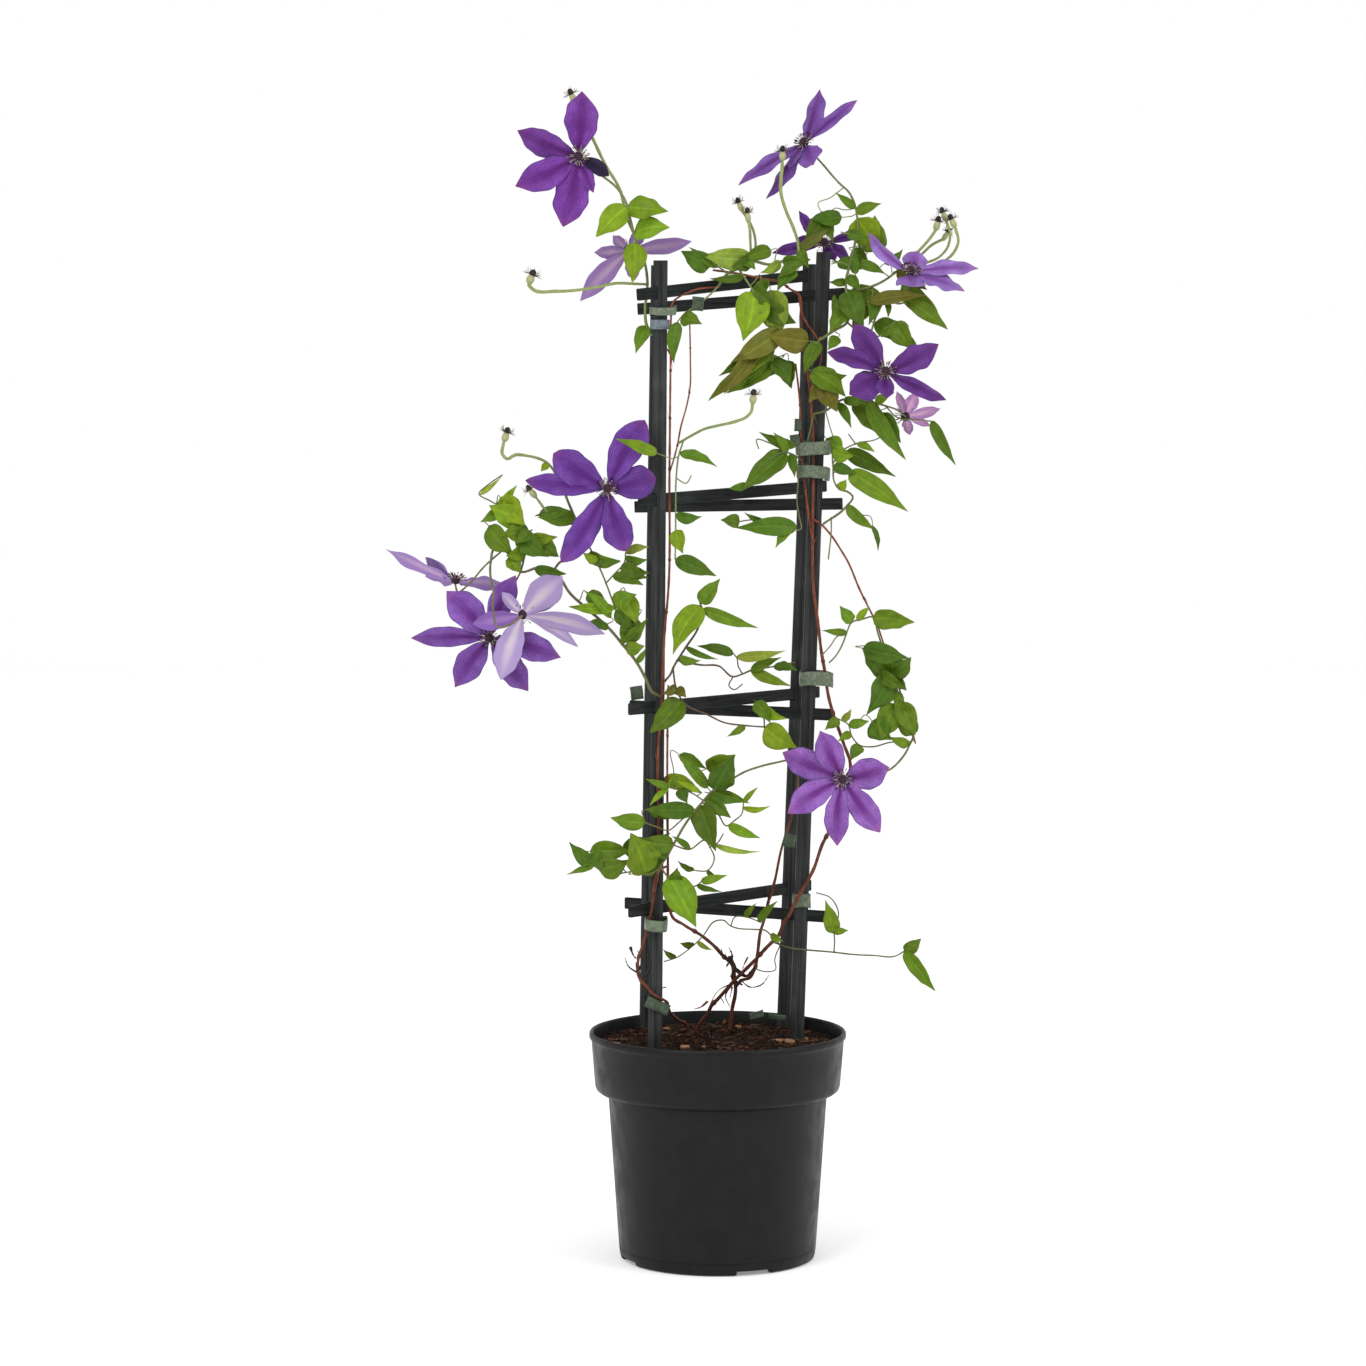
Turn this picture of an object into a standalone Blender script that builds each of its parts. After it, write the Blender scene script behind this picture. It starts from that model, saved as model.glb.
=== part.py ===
"""Clematis in flower on a two-ladder cane trellis, planted in a 23 cm nursery pot.

The pot, the soil, the trellis, the three woody stems and the big blooms are nodes of their own.
The leaves, stalks, tendrils and seed heads of one side shoot are fused into one node.

Lengths in the tables are centimetres and the built meshes are metres, with Z up.
The origin is the centre of the pot's underside, on its central foot.
Plant points are written as (across, up, depth): across and up are read on the upright plane
through the pot's axis as it is seen from the front, and depth is the distance behind that plane.
"""

import math
import random

import bmesh
import bpy
from mathutils import Euler, Matrix, Vector

CM = 0.01
EYE = Vector((-3.1, -380.0, 82.4))
GAP = 0.03
SEED = 23

POT_SEGMENTS = 40
POT_PROFILE = (
    (0.0, 0.0), (1.5, 0.0), (1.75, 0.5), (7.5, 0.5), (7.7, 0.0), (8.4, 0.0), (8.75, 0.35),
    (9.8, 14.9), (10.7, 15.2), (10.98, 15.6), (11.3, 19.7), (11.5, 19.95), (11.5, 20.35),
    (11.3, 20.5), (11.12, 20.3), (10.8, 15.75), (9.6, 15.25), (8.55, 0.75), (0.0, 0.75),
)
NOTCH_ANGLES = (-68.0, 22.0, 112.0, 202.0)
NOTCH_SIZE = (3.4, 2.2, 0.45)
NOTCH_RADIUS = 8.4
DRAIN_RADIUS = 0.5
DRAIN_SPAN = (0.3, 1.0)
DRAIN_REACH = 6.0

SOIL_LEVEL = 19.45
SOIL_CROWN = 0.45
SOIL_LUMP = 0.15
SOIL_RINGS = (2.2, 4.6, 7.0, 9.0, 10.3)
SOIL_SECTORS = 24
SOIL_WALL = ((10.95, 19.2), (10.74, 15.83), (9.52, 15.33), (8.5, 0.8))
CHIP_HEIGHT = 0.6
BARK_CHIPS = (
    (5.1, -6.2, 0.9, 0.35, 40.0), (6.3, -4.4, 0.8, 0.3, -25.0), (7.9, 0.4, 0.5, 0.3, 10.0),
    (-3.0, -8.6, 0.7, 0.25, 70.0), (-9.1, -1.9, 1.0, 0.4, -15.0), (2.6, -7.9, 0.7, 0.3, 15.0),
    (-1.3, -4.8, 0.6, 0.3, 55.0), (-6.8, -6.1, 0.7, 0.3, -60.0), (8.4, -4.9, 0.6, 0.3, 75.0),
    (1.9, 6.4, 0.8, 0.3, 30.0), (-4.6, 6.9, 0.9, 0.35, -40.0),
)

POST_PROFILE = (
    (-0.48, -0.55), (-0.12, -0.55), (-0.07, -0.47), (0.07, -0.47), (0.12, -0.55), (0.48, -0.55),
    (0.62, -0.41), (0.62, 0.41), (0.48, 0.55), (-0.48, 0.55), (-0.62, 0.41), (-0.62, -0.41),
)
POST_GROOVE = 0.2
SOCKET_TOP = 24.0
POSTS = {
    "post_front_left": ((-5.59, 16.3, -6.0), (-5.05, 89.0, -6.0)),
    "post_front_right": ((6.98, 16.3, 0.0), (9.3, 89.85, 0.0)),
    "post_back_left": ((-6.52, 16.3, 7.1), (-5.35, 88.8, 7.1)),
    "post_back_right": ((5.96, 16.3, 7.5), (7.75, 64.0, 7.5), (8.3, 88.9, 7.5)),
}
RUNG_HEIGHT = 1.04
RUNG_THICKNESS = 0.45
RUNG_EDGE = 0.1
LADDER_A = ("post_front_left", "post_back_right")
LADDER_B = ("post_back_left", "post_front_right")
RUNGS = (
    ("rung_a1", LADDER_A, 86.25, 87.9, 2.7, 1.6),
    ("rung_b1", LADDER_B, 85.0, 86.05, 1.9, 2.1),
    ("rung_a2", LADDER_A, 68.25, 68.8, 2.4, 2.8),
    ("rung_b2", LADDER_B, 67.1, 67.6, 1.9, 2.6),
    ("rung_a3", LADDER_A, 50.1, 50.1, 3.5, 2.9),
    ("rung_b3", LADDER_B, 48.95, 48.95, 2.1, 2.4),
    ("rung_a4", LADDER_A, 32.35, 32.35, 3.4, 2.9),
    ("rung_b4", LADDER_B, 30.9, 30.9, 2.3, 2.5),
)

# Each band is centre (x, y, z), half sizes (x, y, height) and its turns about X, Y and Z.
BANDS = {
    "tie_clip_top_left": ((-5.08, -6.0, 83.45), (0.76, 0.69, 0.42), (0.0, 0.0, 0.0)),
    "tie_tape_top_left": ((-4.85, -6.1, 84.62), (1.12, 0.86, 0.34), (0.0, -4.0, 0.0)),
    "tie_tape_right_upper": ((8.4, -0.38, 72.6), (1.5, 1.15, 0.58), (0.0, 0.0, 0.0)),
    "tie_tape_right_slant": ((8.45, -0.38, 70.45), (1.42, 1.15, 0.55), (0.0, 7.0, 0.0)),
    "tie_tape_right_middle": ((8.75, -0.33, 52.1), (1.45, 1.13, 0.62), (0.0, 3.0, 0.0)),
    "tie_tape_left_low": ((-5.46, -6.5, 31.0), (0.95, 1.25, 0.5), (0.0, 0.0, 0.0)),
    "tie_tape_right_low": ((7.49, 0.0, 32.2), (0.76, 0.69, 0.6), (0.0, 0.0, 0.0)),
}
BAND_THICKNESS = 0.07
BAND_CORNER = 0.2

# Woody stems: a list of (start radius, end radius, points) whose later routes branch off the first.
WOODY = {
    "stem_right": (
        (0.2, 0.11, (
            (-2.0, 18.2, 4.2), (-2.0, 20.4, 4.0), (-1.5, 21.2, 3.8), (-0.9, 22.0, 3.4),
            (-0.5, 22.8, 3.1), (0.0, 23.3, 2.9), (0.7, 24.1, 2.5), (1.5, 25.0, 2.0),
            (2.5, 26.0, 1.3), (3.5, 27.0, 0.6), (4.3, 27.9, 0.1), (4.8, 28.4, 0.0),
            (5.4, 29.0, -0.2), (5.9, 30.2, -0.6), (6.4, 30.9, -1.2), (7.0, 32.2, -1.3),
            (7.5, 33.1, -1.2), (8.0, 33.9, -1.1), (8.55, 35.0, -1.0), (9.4, 37.4, -1.0),
            (10.1, 38.7, -1.0), (11.2, 41.5, -1.0), (11.8, 44.5, -1.2), (11.2, 46.3, -1.6),
            (10.4, 48.6, -2.1), (10.1, 49.5, -1.8), (9.75, 51.0, -1.1), (9.55, 52.5, -1.0),
            (9.2, 54.5, -0.95), (8.9, 57.0, -0.95), (8.5, 60.0, -0.95), (8.4, 65.0, -0.95),
            (8.45, 71.7, -0.95), (8.4, 74.3, -0.95), (8.2, 76.9, -0.95), (7.8, 80.15, -0.95),
            (7.3, 83.2, -1.0), (7.05, 86.2, -0.95), (6.5, 86.5, -0.3), (5.36, 87.25, 1.5),
            (3.9, 87.5, 2.4), (1.76, 87.95, 0.25), (-0.43, 88.25, -1.95),
        )),
        (0.11, 0.09, (
            (8.4, 64.5, -1.0), (8.05, 66.5, -1.1), (7.7, 69.4, -1.05), (7.4, 72.0, -0.95),
            (7.35, 74.3, -0.9), (7.15, 77.55, -0.9), (6.85, 80.0, -1.0),
        )),
        (0.1, 0.07, (
            (7.05, 86.0, -0.95), (7.4, 84.5, -1.6), (7.96, 83.4, -1.9), (8.9, 82.0, -1.9),
            (9.1, 81.05, -1.8), (8.8, 78.85, -1.6),
        )),
        (0.11, 0.08, (
            (8.45, 66.3, -0.95), (9.05, 65.9, -1.6), (10.15, 64.7, -1.8), (10.9, 63.55, -1.8),
            (11.45, 62.65, -1.8), (12.6, 60.0, -1.7), (13.6, 58.0, -1.5), (14.1, 57.0, -1.4),
            (14.7, 55.3, -1.2), (15.5, 53.0, -1.0), (16.2, 51.0, -1.0), (17.1, 48.3, -1.2),
            (17.6, 46.3, -1.4),
        )),
    ),
    "stem_centre": (
        (0.22, 0.09, (
            (1.1, 18.2, 4.0), (1.1, 20.5, 4.0), (1.3, 22.4, 3.8), (1.6, 24.0, 3.6),
            (1.5, 25.4, 3.4), (1.2, 26.6, 3.0), (0.6, 27.1, 2.4), (-0.2, 28.0, 1.4),
            (-1.25, 28.9, 0.3), (-3.0, 30.0, -2.4), (-4.2, 31.1, -5.4), (-4.42, 33.0, -6.15),
            (-4.45, 36.0, -6.2), (-4.5, 44.9, -6.2), (-4.42, 51.5, -6.2),
        )),
        (0.18, 0.09, (
            (1.6, 24.4, 3.6), (2.1, 25.0, 3.5), (2.8, 25.2, 3.4), (3.3, 26.0, 3.2),
            (3.55, 27.3, 3.1), (3.8, 29.3, 3.3), (4.2, 30.6, 4.6), (4.5, 32.0, 4.9),
            (5.1, 34.0, 3.6), (5.6, 36.5, 2.6), (6.9, 41.0, 1.5), (7.4, 46.0, 1.3),
            (7.8, 51.0, 1.2),
        )),
    ),
    "stem_left": (
        (0.17, 0.09, (
            (-2.8, 18.2, 4.5), (-2.8, 20.8, 4.5), (-3.5, 21.4, 2.0), (-4.3, 22.2, -2.5),
            (-4.5, 22.8, -5.0), (-4.62, 23.1, -6.4), (-5.1, 23.4, -7.0), (-5.8, 23.8, -7.05),
            (-6.4, 24.5, -7.0), (-7.0, 25.2, -6.9), (-7.1, 26.9, -6.9), (-6.7, 28.2, -7.0),
            (-6.3, 29.6, -7.1), (-5.9, 31.4, -7.3), (-5.7, 33.0, -7.3), (-5.4, 35.0, -7.0),
            (-5.3, 37.0, -6.9), (-5.3, 46.0, -6.9), (-5.0, 50.0, -6.95), (-4.75, 56.0, -6.9),
            (-4.4, 60.0, -6.5), (-4.3, 70.1, -6.3), (-4.2, 80.0, -6.3), (-4.15, 84.2, -6.3),
            (-4.1, 85.2, -6.2), (-3.35, 85.95, -5.0), (-2.1, 86.5, -3.75), (0.13, 86.8, -1.4),
        )),
        (0.09, 0.07, (
            (-4.3, 70.4, -6.3), (-4.0, 71.3, -6.2), (-3.6, 72.8, -6.1), (-3.3, 74.4, -6.0),
            (-2.8, 76.2, -6.0), (-2.5, 77.7, -6.0), (-2.45, 80.5, -6.0), (-2.5, 83.5, -5.9),
        )),
        (0.09, 0.07, (
            (-4.25, 79.6, -6.3), (-4.15, 80.6, -5.5), (-4.5, 81.3, -4.9), (-5.7, 82.4, -4.9),
        )),
    ),
}

# Blooms: centre, the way it faces (x, y, z), and tepals as tip (across, up, depth) and width.
BLOOMS = {
    "bloom_01": ((-12.32, 98.22, -7.5), (0.0, -1.0, 0.05), (
        (-11.99, 103.94, -7.9, 2.95), (-17.7, 100.5, -7.9, 2.3), (-17.9, 95.6, -7.7, 2.7),
        (-13.67, 92.03, -7.9, 3.0), (-10.96, 95.03, -7.7, 1.3), (-9.6, 96.5, -7.9, 1.3),
    )),
    "bloom_02": ((7.66, 99.37, 0.0), (-0.5, -0.6, 0.5), (
        (8.92, 104.1, 1.5, 1.7), (12.23, 103.15, -0.5, 1.1), (8.4, 97.5, -2.8, 2.3),
        (1.75, 95.7, -0.8, 1.4), (4.2, 94.5, 1.2, 1.3), (6.2, 97.2, -1.4, 0.9),
    )),
    "bloom_03": ((-7.9, 90.0, -4.2), (-0.05, 0.98, 0.1), (
        (-10.95, 89.8, -3.9, 1.2), (-9.3, 91.3, -3.8, 1.0), (-12.2, 85.5, -4.2, 1.8),
        (-2.3, 90.8, -3.9, 1.4), (-7.4, 87.3, -3.9, 1.3), (-6.6, 92.0, -3.8, 1.2),
    )),
    "bloom_04": ((9.3, 90.6, 2.2), (0.1, -0.88, 0.42), (
        (7.1, 93.5, 2.4, 1.0), (6.8, 91.0, 1.5, 0.9), (4.7, 89.75, 2.6, 1.1),
        (10.4, 89.2, 1.0, 1.2), (11.6, 89.3, 3.0, 1.1), (14.2, 92.3, 2.6, 1.0),
    )),
    "bloom_05": ((16.98, 88.05, -2.2), (0.15, -0.6, 0.78), (
        (13.23, 91.6, -2.6, 1.1), (17.55, 89.95, -0.7, 2.2), (23.0, 88.4, -2.4, 1.2),
        (21.8, 86.4, -3.2, 1.2), (17.4, 86.8, -5.0, 2.6),
    )),
    "bloom_06": ((14.8, 79.25, -5.0), (0.07, -0.9, 0.43), (
        (9.65, 81.05, -5.2, 1.6), (12.0, 83.55, -4.6, 2.3), (19.5, 81.75, -4.8, 2.3),
        (20.2, 76.8, -5.6, 1.4), (14.9, 77.0, -7.2, 1.6), (11.6, 77.3, -6.0, 2.6),
    )),
    "bloom_07": ((16.6, 75.35, -0.5), (0.05, 0.99, -0.05), (
        (15.8, 77.6, -0.3, 0.8), (17.6, 77.5, -0.2, 1.2), (19.7, 76.05, -0.5, 1.0),
        (18.85, 74.5, -0.6, 0.7), (17.0, 73.7, -0.7, 0.9),
    )),
    "bloom_08": ((-9.79, 68.97, -8.0), (0.0, -1.0, 0.1), (
        (-14.6, 72.1, -8.2, 2.9), (-17.1, 69.7, -8.0, 1.9), (-13.9, 62.4, -8.3, 2.4),
        (-8.2, 63.4, -8.4, 2.6), (-5.5, 69.95, -8.6, 2.9), (-6.47, 75.05, -8.2, 2.9),
    )),
    "bloom_09": ((-23.3, 60.7, -5.5), (0.1, 0.25, 0.96), (
        (-29.45, 63.6, -5.8, 1.3), (-25.95, 62.9, -5.0, 1.4), (-18.6, 60.3, -5.4, 1.2),
        (-21.4, 61.0, -3.4, 1.4), (-26.0, 61.2, -3.6, 1.3),
    )),
    "bloom_10": ((-20.3, 55.7, -7.0), (0.0, -1.0, 0.1), (
        (-27.3, 55.7, -7.3, 1.8), (-23.4, 51.3, -7.4, 2.5), (-16.85, 50.95, -7.4, 2.4),
        (-13.95, 53.95, -7.3, 2.4), (-24.1, 59.9, -7.2, 2.9), (-17.95, 61.3, -7.2, 2.2),
    )),
    "bloom_11": ((-17.35, 57.75, -8.9), (0.1, 0.95, 0.2), (
        (-13.8, 61.2, -8.7, 2.8), (-10.0, 56.05, -8.9, 1.7), (-12.4, 54.9, -8.6, 1.0),
        (-19.3, 51.95, -8.9, 2.4), (-21.8, 56.95, -8.6, 1.7), (-19.2, 59.8, -8.7, 1.1),
    )),
    "bloom_12": ((11.1, 43.1, -5.5), (0.0, -1.0, 0.05), (
        (9.1, 47.45, -5.8, 2.5), (5.75, 45.5, -5.8, 2.6), (6.2, 40.0, -5.8, 2.5),
        (10.65, 37.1, -5.9, 2.2), (14.5, 38.3, -5.8, 2.4), (15.3, 44.15, -5.7, 2.8),
    )),
}

# Stalk routes of each leafy shoot: start radius, end radius, points, and the bloom at its end.
# The first route of a shoot starts beside the wood it grows from, and the others start on the shoot.
STALKS = {
    "shoot_top_left": (
        (0.1, 0.07, (
            (-5.85, 82.6, -4.95), (-6.35, 83.5, -5.3), (-6.42, 85.0, -5.4), (-6.25, 87.3, -5.4),
            (-6.5, 89.0, -5.5), (-7.3, 91.0, -5.7), (-7.8, 93.0, -5.9), (-7.95, 93.7, -6.0),
            (-8.95, 95.5, -6.3), (-9.85, 96.25, -6.5), (-11.2, 97.2, -6.7),
        ), "bloom_01"),
        (0.07, 0.06, (
            (-7.3, 91.2, -5.7), (-8.05, 92.9, -5.5), (-8.7, 95.4, -5.2), (-9.95, 97.5, -5.2),
            (-10.96, 99.6, -5.4), (-12.6, 102.9, -6.0),
        )),
        (0.07, 0.06, (
            (-6.25, 87.0, -5.4), (-7.3, 87.05, -5.5), (-9.0, 87.1, -5.9), (-10.75, 86.75, -6.0),
            (-14.2, 86.4, -6.1), (-16.4, 86.6, -6.2), (-16.75, 87.0, -6.2),
        )),
        (0.07, 0.06, ((-6.5, 88.9, -5.45), (-7.2, 89.3, -5.0)), "bloom_03"),
    ),
    "shoot_top_centre": (
        (0.08, 0.06, (
            (0.3, 87.2, -2.0), (0.9, 88.0, -2.4), (1.8, 88.4, -2.4), (2.8, 89.0, -2.0),
            (4.65, 88.75, -1.4), (6.1, 89.1, -1.3), (6.9, 89.0, -1.5), (7.1, 90.15, -1.6),
            (6.65, 91.9, -1.7), (6.0, 93.4, -1.9), (5.55, 94.9, -2.1), (5.65, 97.7, -2.5),
        )),
        (0.06, 0.05, ((0.9, 88.0, -2.2), (-0.2, 88.6, -2.6), (-0.9, 88.5, -2.8))),
        (0.07, 0.05, (
            (1.8, 88.4, -2.4), (2.6, 87.2, -3.0), (3.4, 86.0, -3.2), (4.4, 84.6, -3.2),
            (4.9, 83.2, -3.1), (5.0, 81.5, -3.0), (4.7, 80.2, -2.9),
        )),
        (0.06, 0.05, (
            (2.9, 89.0, -2.0), (2.85, 90.5, -1.7), (2.75, 92.1, -1.6), (2.65, 92.6, -1.6),
        )),
        (0.06, 0.05, (
            (2.9, 89.2, -1.9), (3.3, 90.4, -1.1), (3.0, 92.0, -0.6), (2.1, 93.5, -0.6),
        )),
        (0.06, 0.05, (
            (0.5, 87.4, -2.1), (-0.6, 86.2, -3.9), (-1.8, 85.2, -4.6), (-2.9, 84.5, -5.7),
            (-3.6, 83.7, -7.1),
        )),
    ),
    "shoot_top_right": (
        (0.09, 0.06, (
            (9.3, 82.3, -2.3), (10.2, 82.9, -2.4), (11.4, 83.65, -2.2), (11.4, 85.5, -2.1),
            (11.3, 87.5, -1.9), (11.6, 88.6, -1.8), (12.0, 90.3, -1.9), (12.3, 92.0, -1.9),
            (12.25, 93.0, -1.8), (12.0, 94.15, -1.6), (11.55, 95.05, -1.4), (10.65, 95.9, -1.0),
            (9.15, 97.6, -0.2), (8.6, 98.2, 0.2),
        ), "bloom_02"),
        (0.07, 0.06, (
            (11.4, 83.65, -2.2), (12.4, 82.9, -2.4), (13.2, 82.6, -2.5), (14.0, 84.25, -2.4),
            (15.0, 85.7, -2.2), (15.9, 85.3, -2.2), (16.6, 85.5, -2.1), (16.9, 86.6, -2.0),
        ), "bloom_05"),
        (0.065, 0.05, (
            (11.3, 86.4, -1.95), (13.0, 86.65, -1.2), (14.6, 87.3, 0.0), (16.4, 88.7, 0.9),
            (17.7, 89.95, 1.1), (18.8, 91.2, 1.0), (19.2, 91.8, 0.9),
        )),
        (0.06, 0.05, ((16.4, 88.7, 0.9), (17.9, 89.6, 1.6), (18.9, 90.5, 1.8), (19.9, 91.0, 1.9))),
        (0.06, 0.05, (
            (15.6, 88.0, 0.5), (18.4, 88.9, 0.6), (19.5, 89.4, 0.9), (20.3, 90.4, 1.2),
            (20.45, 91.5, 1.3), (20.1, 92.6, 1.4),
        )),
        (0.06, 0.05, (
            (16.2, 88.4, 0.7), (18.5, 88.4, 0.1), (19.8, 88.95, 0.2), (20.8, 89.8, 0.3),
            (21.2, 90.8, 0.3), (20.95, 91.9, 0.3),
        )),
        (0.07, 0.06, (
            (12.1, 91.0, -1.9), (12.6, 90.4, -0.4), (12.3, 89.3, 1.4), (11.0, 88.8, 2.6),
            (9.9, 89.4, 2.7),
        ), "bloom_04"),
        (0.05, 0.04, ((11.6, 88.6, -1.8), (10.8, 88.95, -1.8), (10.0, 88.8, -1.9))),
        (0.05, 0.05, ((13.2, 82.6, -2.5), (14.0, 82.4, -2.6), (15.6, 83.7, -2.9))),
    ),
    "shoot_right_upper": (
        (0.08, 0.06, (
            (8.8, 75.6, -1.4), (9.6, 75.9, -1.9), (10.9, 76.8, -2.4), (12.2, 77.0, -2.6),
            (13.2, 76.7, -2.8), (14.8, 76.3, -2.6), (15.9, 75.9, -1.7), (16.4, 75.5, -1.1),
        ), "bloom_07"),
        (0.07, 0.06, ((13.2, 76.7, -2.8), (14.0, 77.6, -3.4), (14.6, 78.5, -4.2)), "bloom_06"),
        (0.06, 0.05, ((9.6, 75.9, -1.9), (9.4, 77.4, -2.5), (8.9, 78.9, -2.7))),
        (0.05, 0.045, (
            (14.8, 76.3, -2.6), (16.0, 75.2, -3.0), (17.5, 75.1, -3.1), (19.2, 74.9, -3.1),
        )),
    ),
    "shoot_right_middle": (
        (0.08, 0.05, (
            (9.7, 66.2, -2.0), (11.3, 67.3, -2.0), (11.95, 68.3, -2.0), (11.5, 68.7, -2.0),
            (10.8, 68.9, -2.1), (10.3, 69.6, -2.1), (10.2, 70.8, -2.1), (10.1, 72.3, -2.2),
        )),
        (0.05, 0.04, (
            (10.2, 71.2, -2.1), (10.9, 72.25, -2.3), (12.35, 73.0, -2.1), (13.9, 73.3, -1.7),
            (14.7, 73.7, -1.4),
        )),
        (0.045, 0.04, ((12.2, 72.9, -2.1), (11.55, 73.8, -2.2))),
        (0.05, 0.045, ((10.0, 66.4, -2.0), (10.05, 65.2, -2.5), (9.8, 62.7, -2.4))),
    ),
    "shoot_middle_left": (
        (0.07, 0.055, (
            (-3.2, 73.0, -6.5), (-2.2, 73.75, -6.5), (-1.2, 74.25, -6.3), (0.0, 74.55, -6.2),
            (1.5, 74.9, -6.0), (2.5, 75.3, -6.0), (2.96, 75.8, -6.0), (3.05, 76.4, -6.0),
        )),
        (0.06, 0.05, (
            (-3.0, 73.1, -6.5), (-3.5, 71.8, -6.9), (-3.7, 69.9, -6.8), (-3.75, 67.0, -6.8),
            (-3.75, 64.5, -6.8), (-3.8, 62.7, -6.9),
        )),
        (0.045, 0.04, ((-3.7, 69.9, -6.8), (-2.8, 69.45, -7.0), (-2.35, 70.15, -7.0))),
    ),
    "shoot_middle_right": (
        (0.07, 0.05, (
            (7.1, 71.5, -1.5), (6.6, 72.0, -2.2), (6.0, 72.2, -2.5), (4.9, 71.8, -2.9),
            (3.6, 70.6, -3.3), (2.4, 69.3, -3.5),
        )),
        (0.045, 0.04, ((6.0, 72.2, -2.5), (4.6, 73.0, -2.7), (3.4, 73.3, -2.9), (3.6, 72.5, -3.0))),
        (0.05, 0.045, (
            (6.9, 71.7, -1.8), (7.1, 69.65, -2.1), (7.0, 67.85, -2.0), (7.2, 66.55, -1.9),
            (7.4, 65.5, -2.1), (5.0, 65.9, -2.9), (2.9, 66.2, -3.1), (1.6, 66.0, -3.1),
        )),
    ),
    "shoot_left": (
        (0.1, 0.07, (
            (-5.3, 50.5, -7.5), (-5.85, 50.9, -7.6), (-6.45, 52.15, -7.5), (-7.2, 53.5, -7.4),
            (-8.4, 55.05, -7.2), (-9.9, 56.8, -7.0), (-11.8, 58.45, -6.8), (-13.3, 59.9, -6.6),
            (-13.9, 60.9, -6.5), (-14.6, 61.7, -6.4), (-15.95, 61.95, -6.2), (-17.5, 61.6, -6.1),
            (-18.3, 62.6, -6.2), (-19.0, 63.6, -6.3), (-19.8, 63.65, -6.4), (-20.15, 62.55, -7.2),
            (-20.2, 61.3, -8.3), (-19.95, 59.9, -9.2), (-19.95, 58.05, -9.5),
            (-19.55, 56.7, -9.6), (-18.7, 56.8, -9.6),
        ), "bloom_11"),
        (0.06, 0.06, ((-17.5, 61.6, -6.1), (-18.6, 59.5, -5.4), (-19.8, 57.0, -6.0)), "bloom_10"),
        (0.06, 0.06, (
            (-19.0, 63.6, -6.3), (-20.8, 62.0, -6.6), (-22.2, 60.4, -6.7), (-23.1, 59.8, -6.2),
        ), "bloom_09"),
        (0.08, 0.07, (
            (-14.6, 61.7, -6.4), (-13.95, 62.5, -6.4), (-12.85, 62.7, -6.5),
            (-11.5, 64.75, -6.6), (-10.6, 67.0, -6.8), (-10.0, 68.3, -7.1),
        ), "bloom_08"),
        (0.07, 0.055, (
            (-11.5, 64.75, -6.6), (-12.4, 65.9, -6.2), (-13.2, 67.6, -5.9), (-14.0, 69.6, -5.9),
            (-15.2, 71.3, -6.0), (-17.0, 71.9, -6.0), (-18.0, 71.95, -6.0), (-18.7, 71.6, -6.0),
            (-19.1, 72.0, -6.0), (-19.0, 73.0, -6.0),
        )),
        (0.06, 0.05, (
            (-12.4, 65.9, -6.2), (-13.0, 65.85, -6.3), (-14.1, 66.3, -6.4), (-15.2, 67.0, -6.5),
            (-15.9, 67.9, -6.5),
        )),
        (0.065, 0.05, (
            (-17.5, 61.6, -6.1), (-17.2, 62.8, -6.1), (-16.9, 64.0, -6.1), (-16.9, 65.4, -6.1),
            (-17.6, 66.2, -6.1), (-19.0, 67.2, -6.2),
        )),
        (0.045, 0.04, (
            (-19.0, 67.2, -6.2), (-20.2, 67.9, -6.2), (-21.2, 68.5, -6.2), (-20.4, 69.3, -6.3),
            (-19.1, 70.2, -6.3),
        )),
        (0.06, 0.05, (
            (-11.7, 64.4, -6.6), (-10.7, 62.4, -6.8), (-9.75, 60.1, -6.9), (-9.1, 58.2, -7.0),
        )),
        (0.05, 0.045, ((-9.9, 60.6, -6.9), (-9.0, 61.6, -7.0), (-8.3, 62.4, -7.1), (-8.2, 63.3, -7.1))),
    ),
    "shoot_centre": (
        (0.08, 0.06, (
            (-4.5, 51.8, -7.3), (-4.2, 52.5, -7.4), (-3.9, 53.2, -7.4), (-3.6, 53.7, -7.4),
            (-2.8, 54.95, -7.2), (-1.85, 56.4, -7.0), (-1.35, 58.2, -6.8), (-1.6, 58.8, -6.8),
        )),
        (0.065, 0.05, (
            (-3.6, 53.7, -7.4), (-1.5, 53.3, -6.6), (0.1, 53.2, -5.8), (1.35, 52.25, -5.2),
            (2.2, 52.5, -4.8), (2.9, 52.8, -4.4), (4.0, 53.0, -3.8), (5.2, 53.2, -3.2),
            (6.85, 53.55, -2.6),
        )),
        (0.065, 0.05, (
            (-4.0, 53.0, -7.4), (-3.7, 51.2, -7.5), (-3.1, 50.0, -7.3), (-0.9, 48.85, -6.2),
            (0.6, 48.15, -5.2), (2.4, 47.9, -4.2), (4.3, 47.75, -3.2),
        )),
        (0.05, 0.045, ((4.15, 47.8, -3.3), (4.1, 48.6, -3.3), (3.75, 49.5, -3.4), (3.2, 50.2, -3.4))),
        (0.045, 0.04, (
            (1.35, 52.25, -5.2), (1.0, 51.4, -5.5), (1.4, 51.1, -5.5), (2.2, 51.6, -5.3),
        )),
        (0.045, 0.04, ((2.2, 52.5, -4.8), (1.8, 53.2, -4.9), (1.7, 53.9, -4.9), (1.4, 54.3, -4.9))),
    ),
    "shoot_right_lower": (
        (0.07, 0.05, (
            (17.35, 46.5, -1.9), (16.6, 49.6, -1.8), (15.6, 51.9, -1.9), (14.9, 54.0, -2.0),
            (14.2, 56.2, -2.1), (13.7, 57.6, -2.2), (12.9, 57.4, -2.2), (11.9, 57.1, -2.0),
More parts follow.
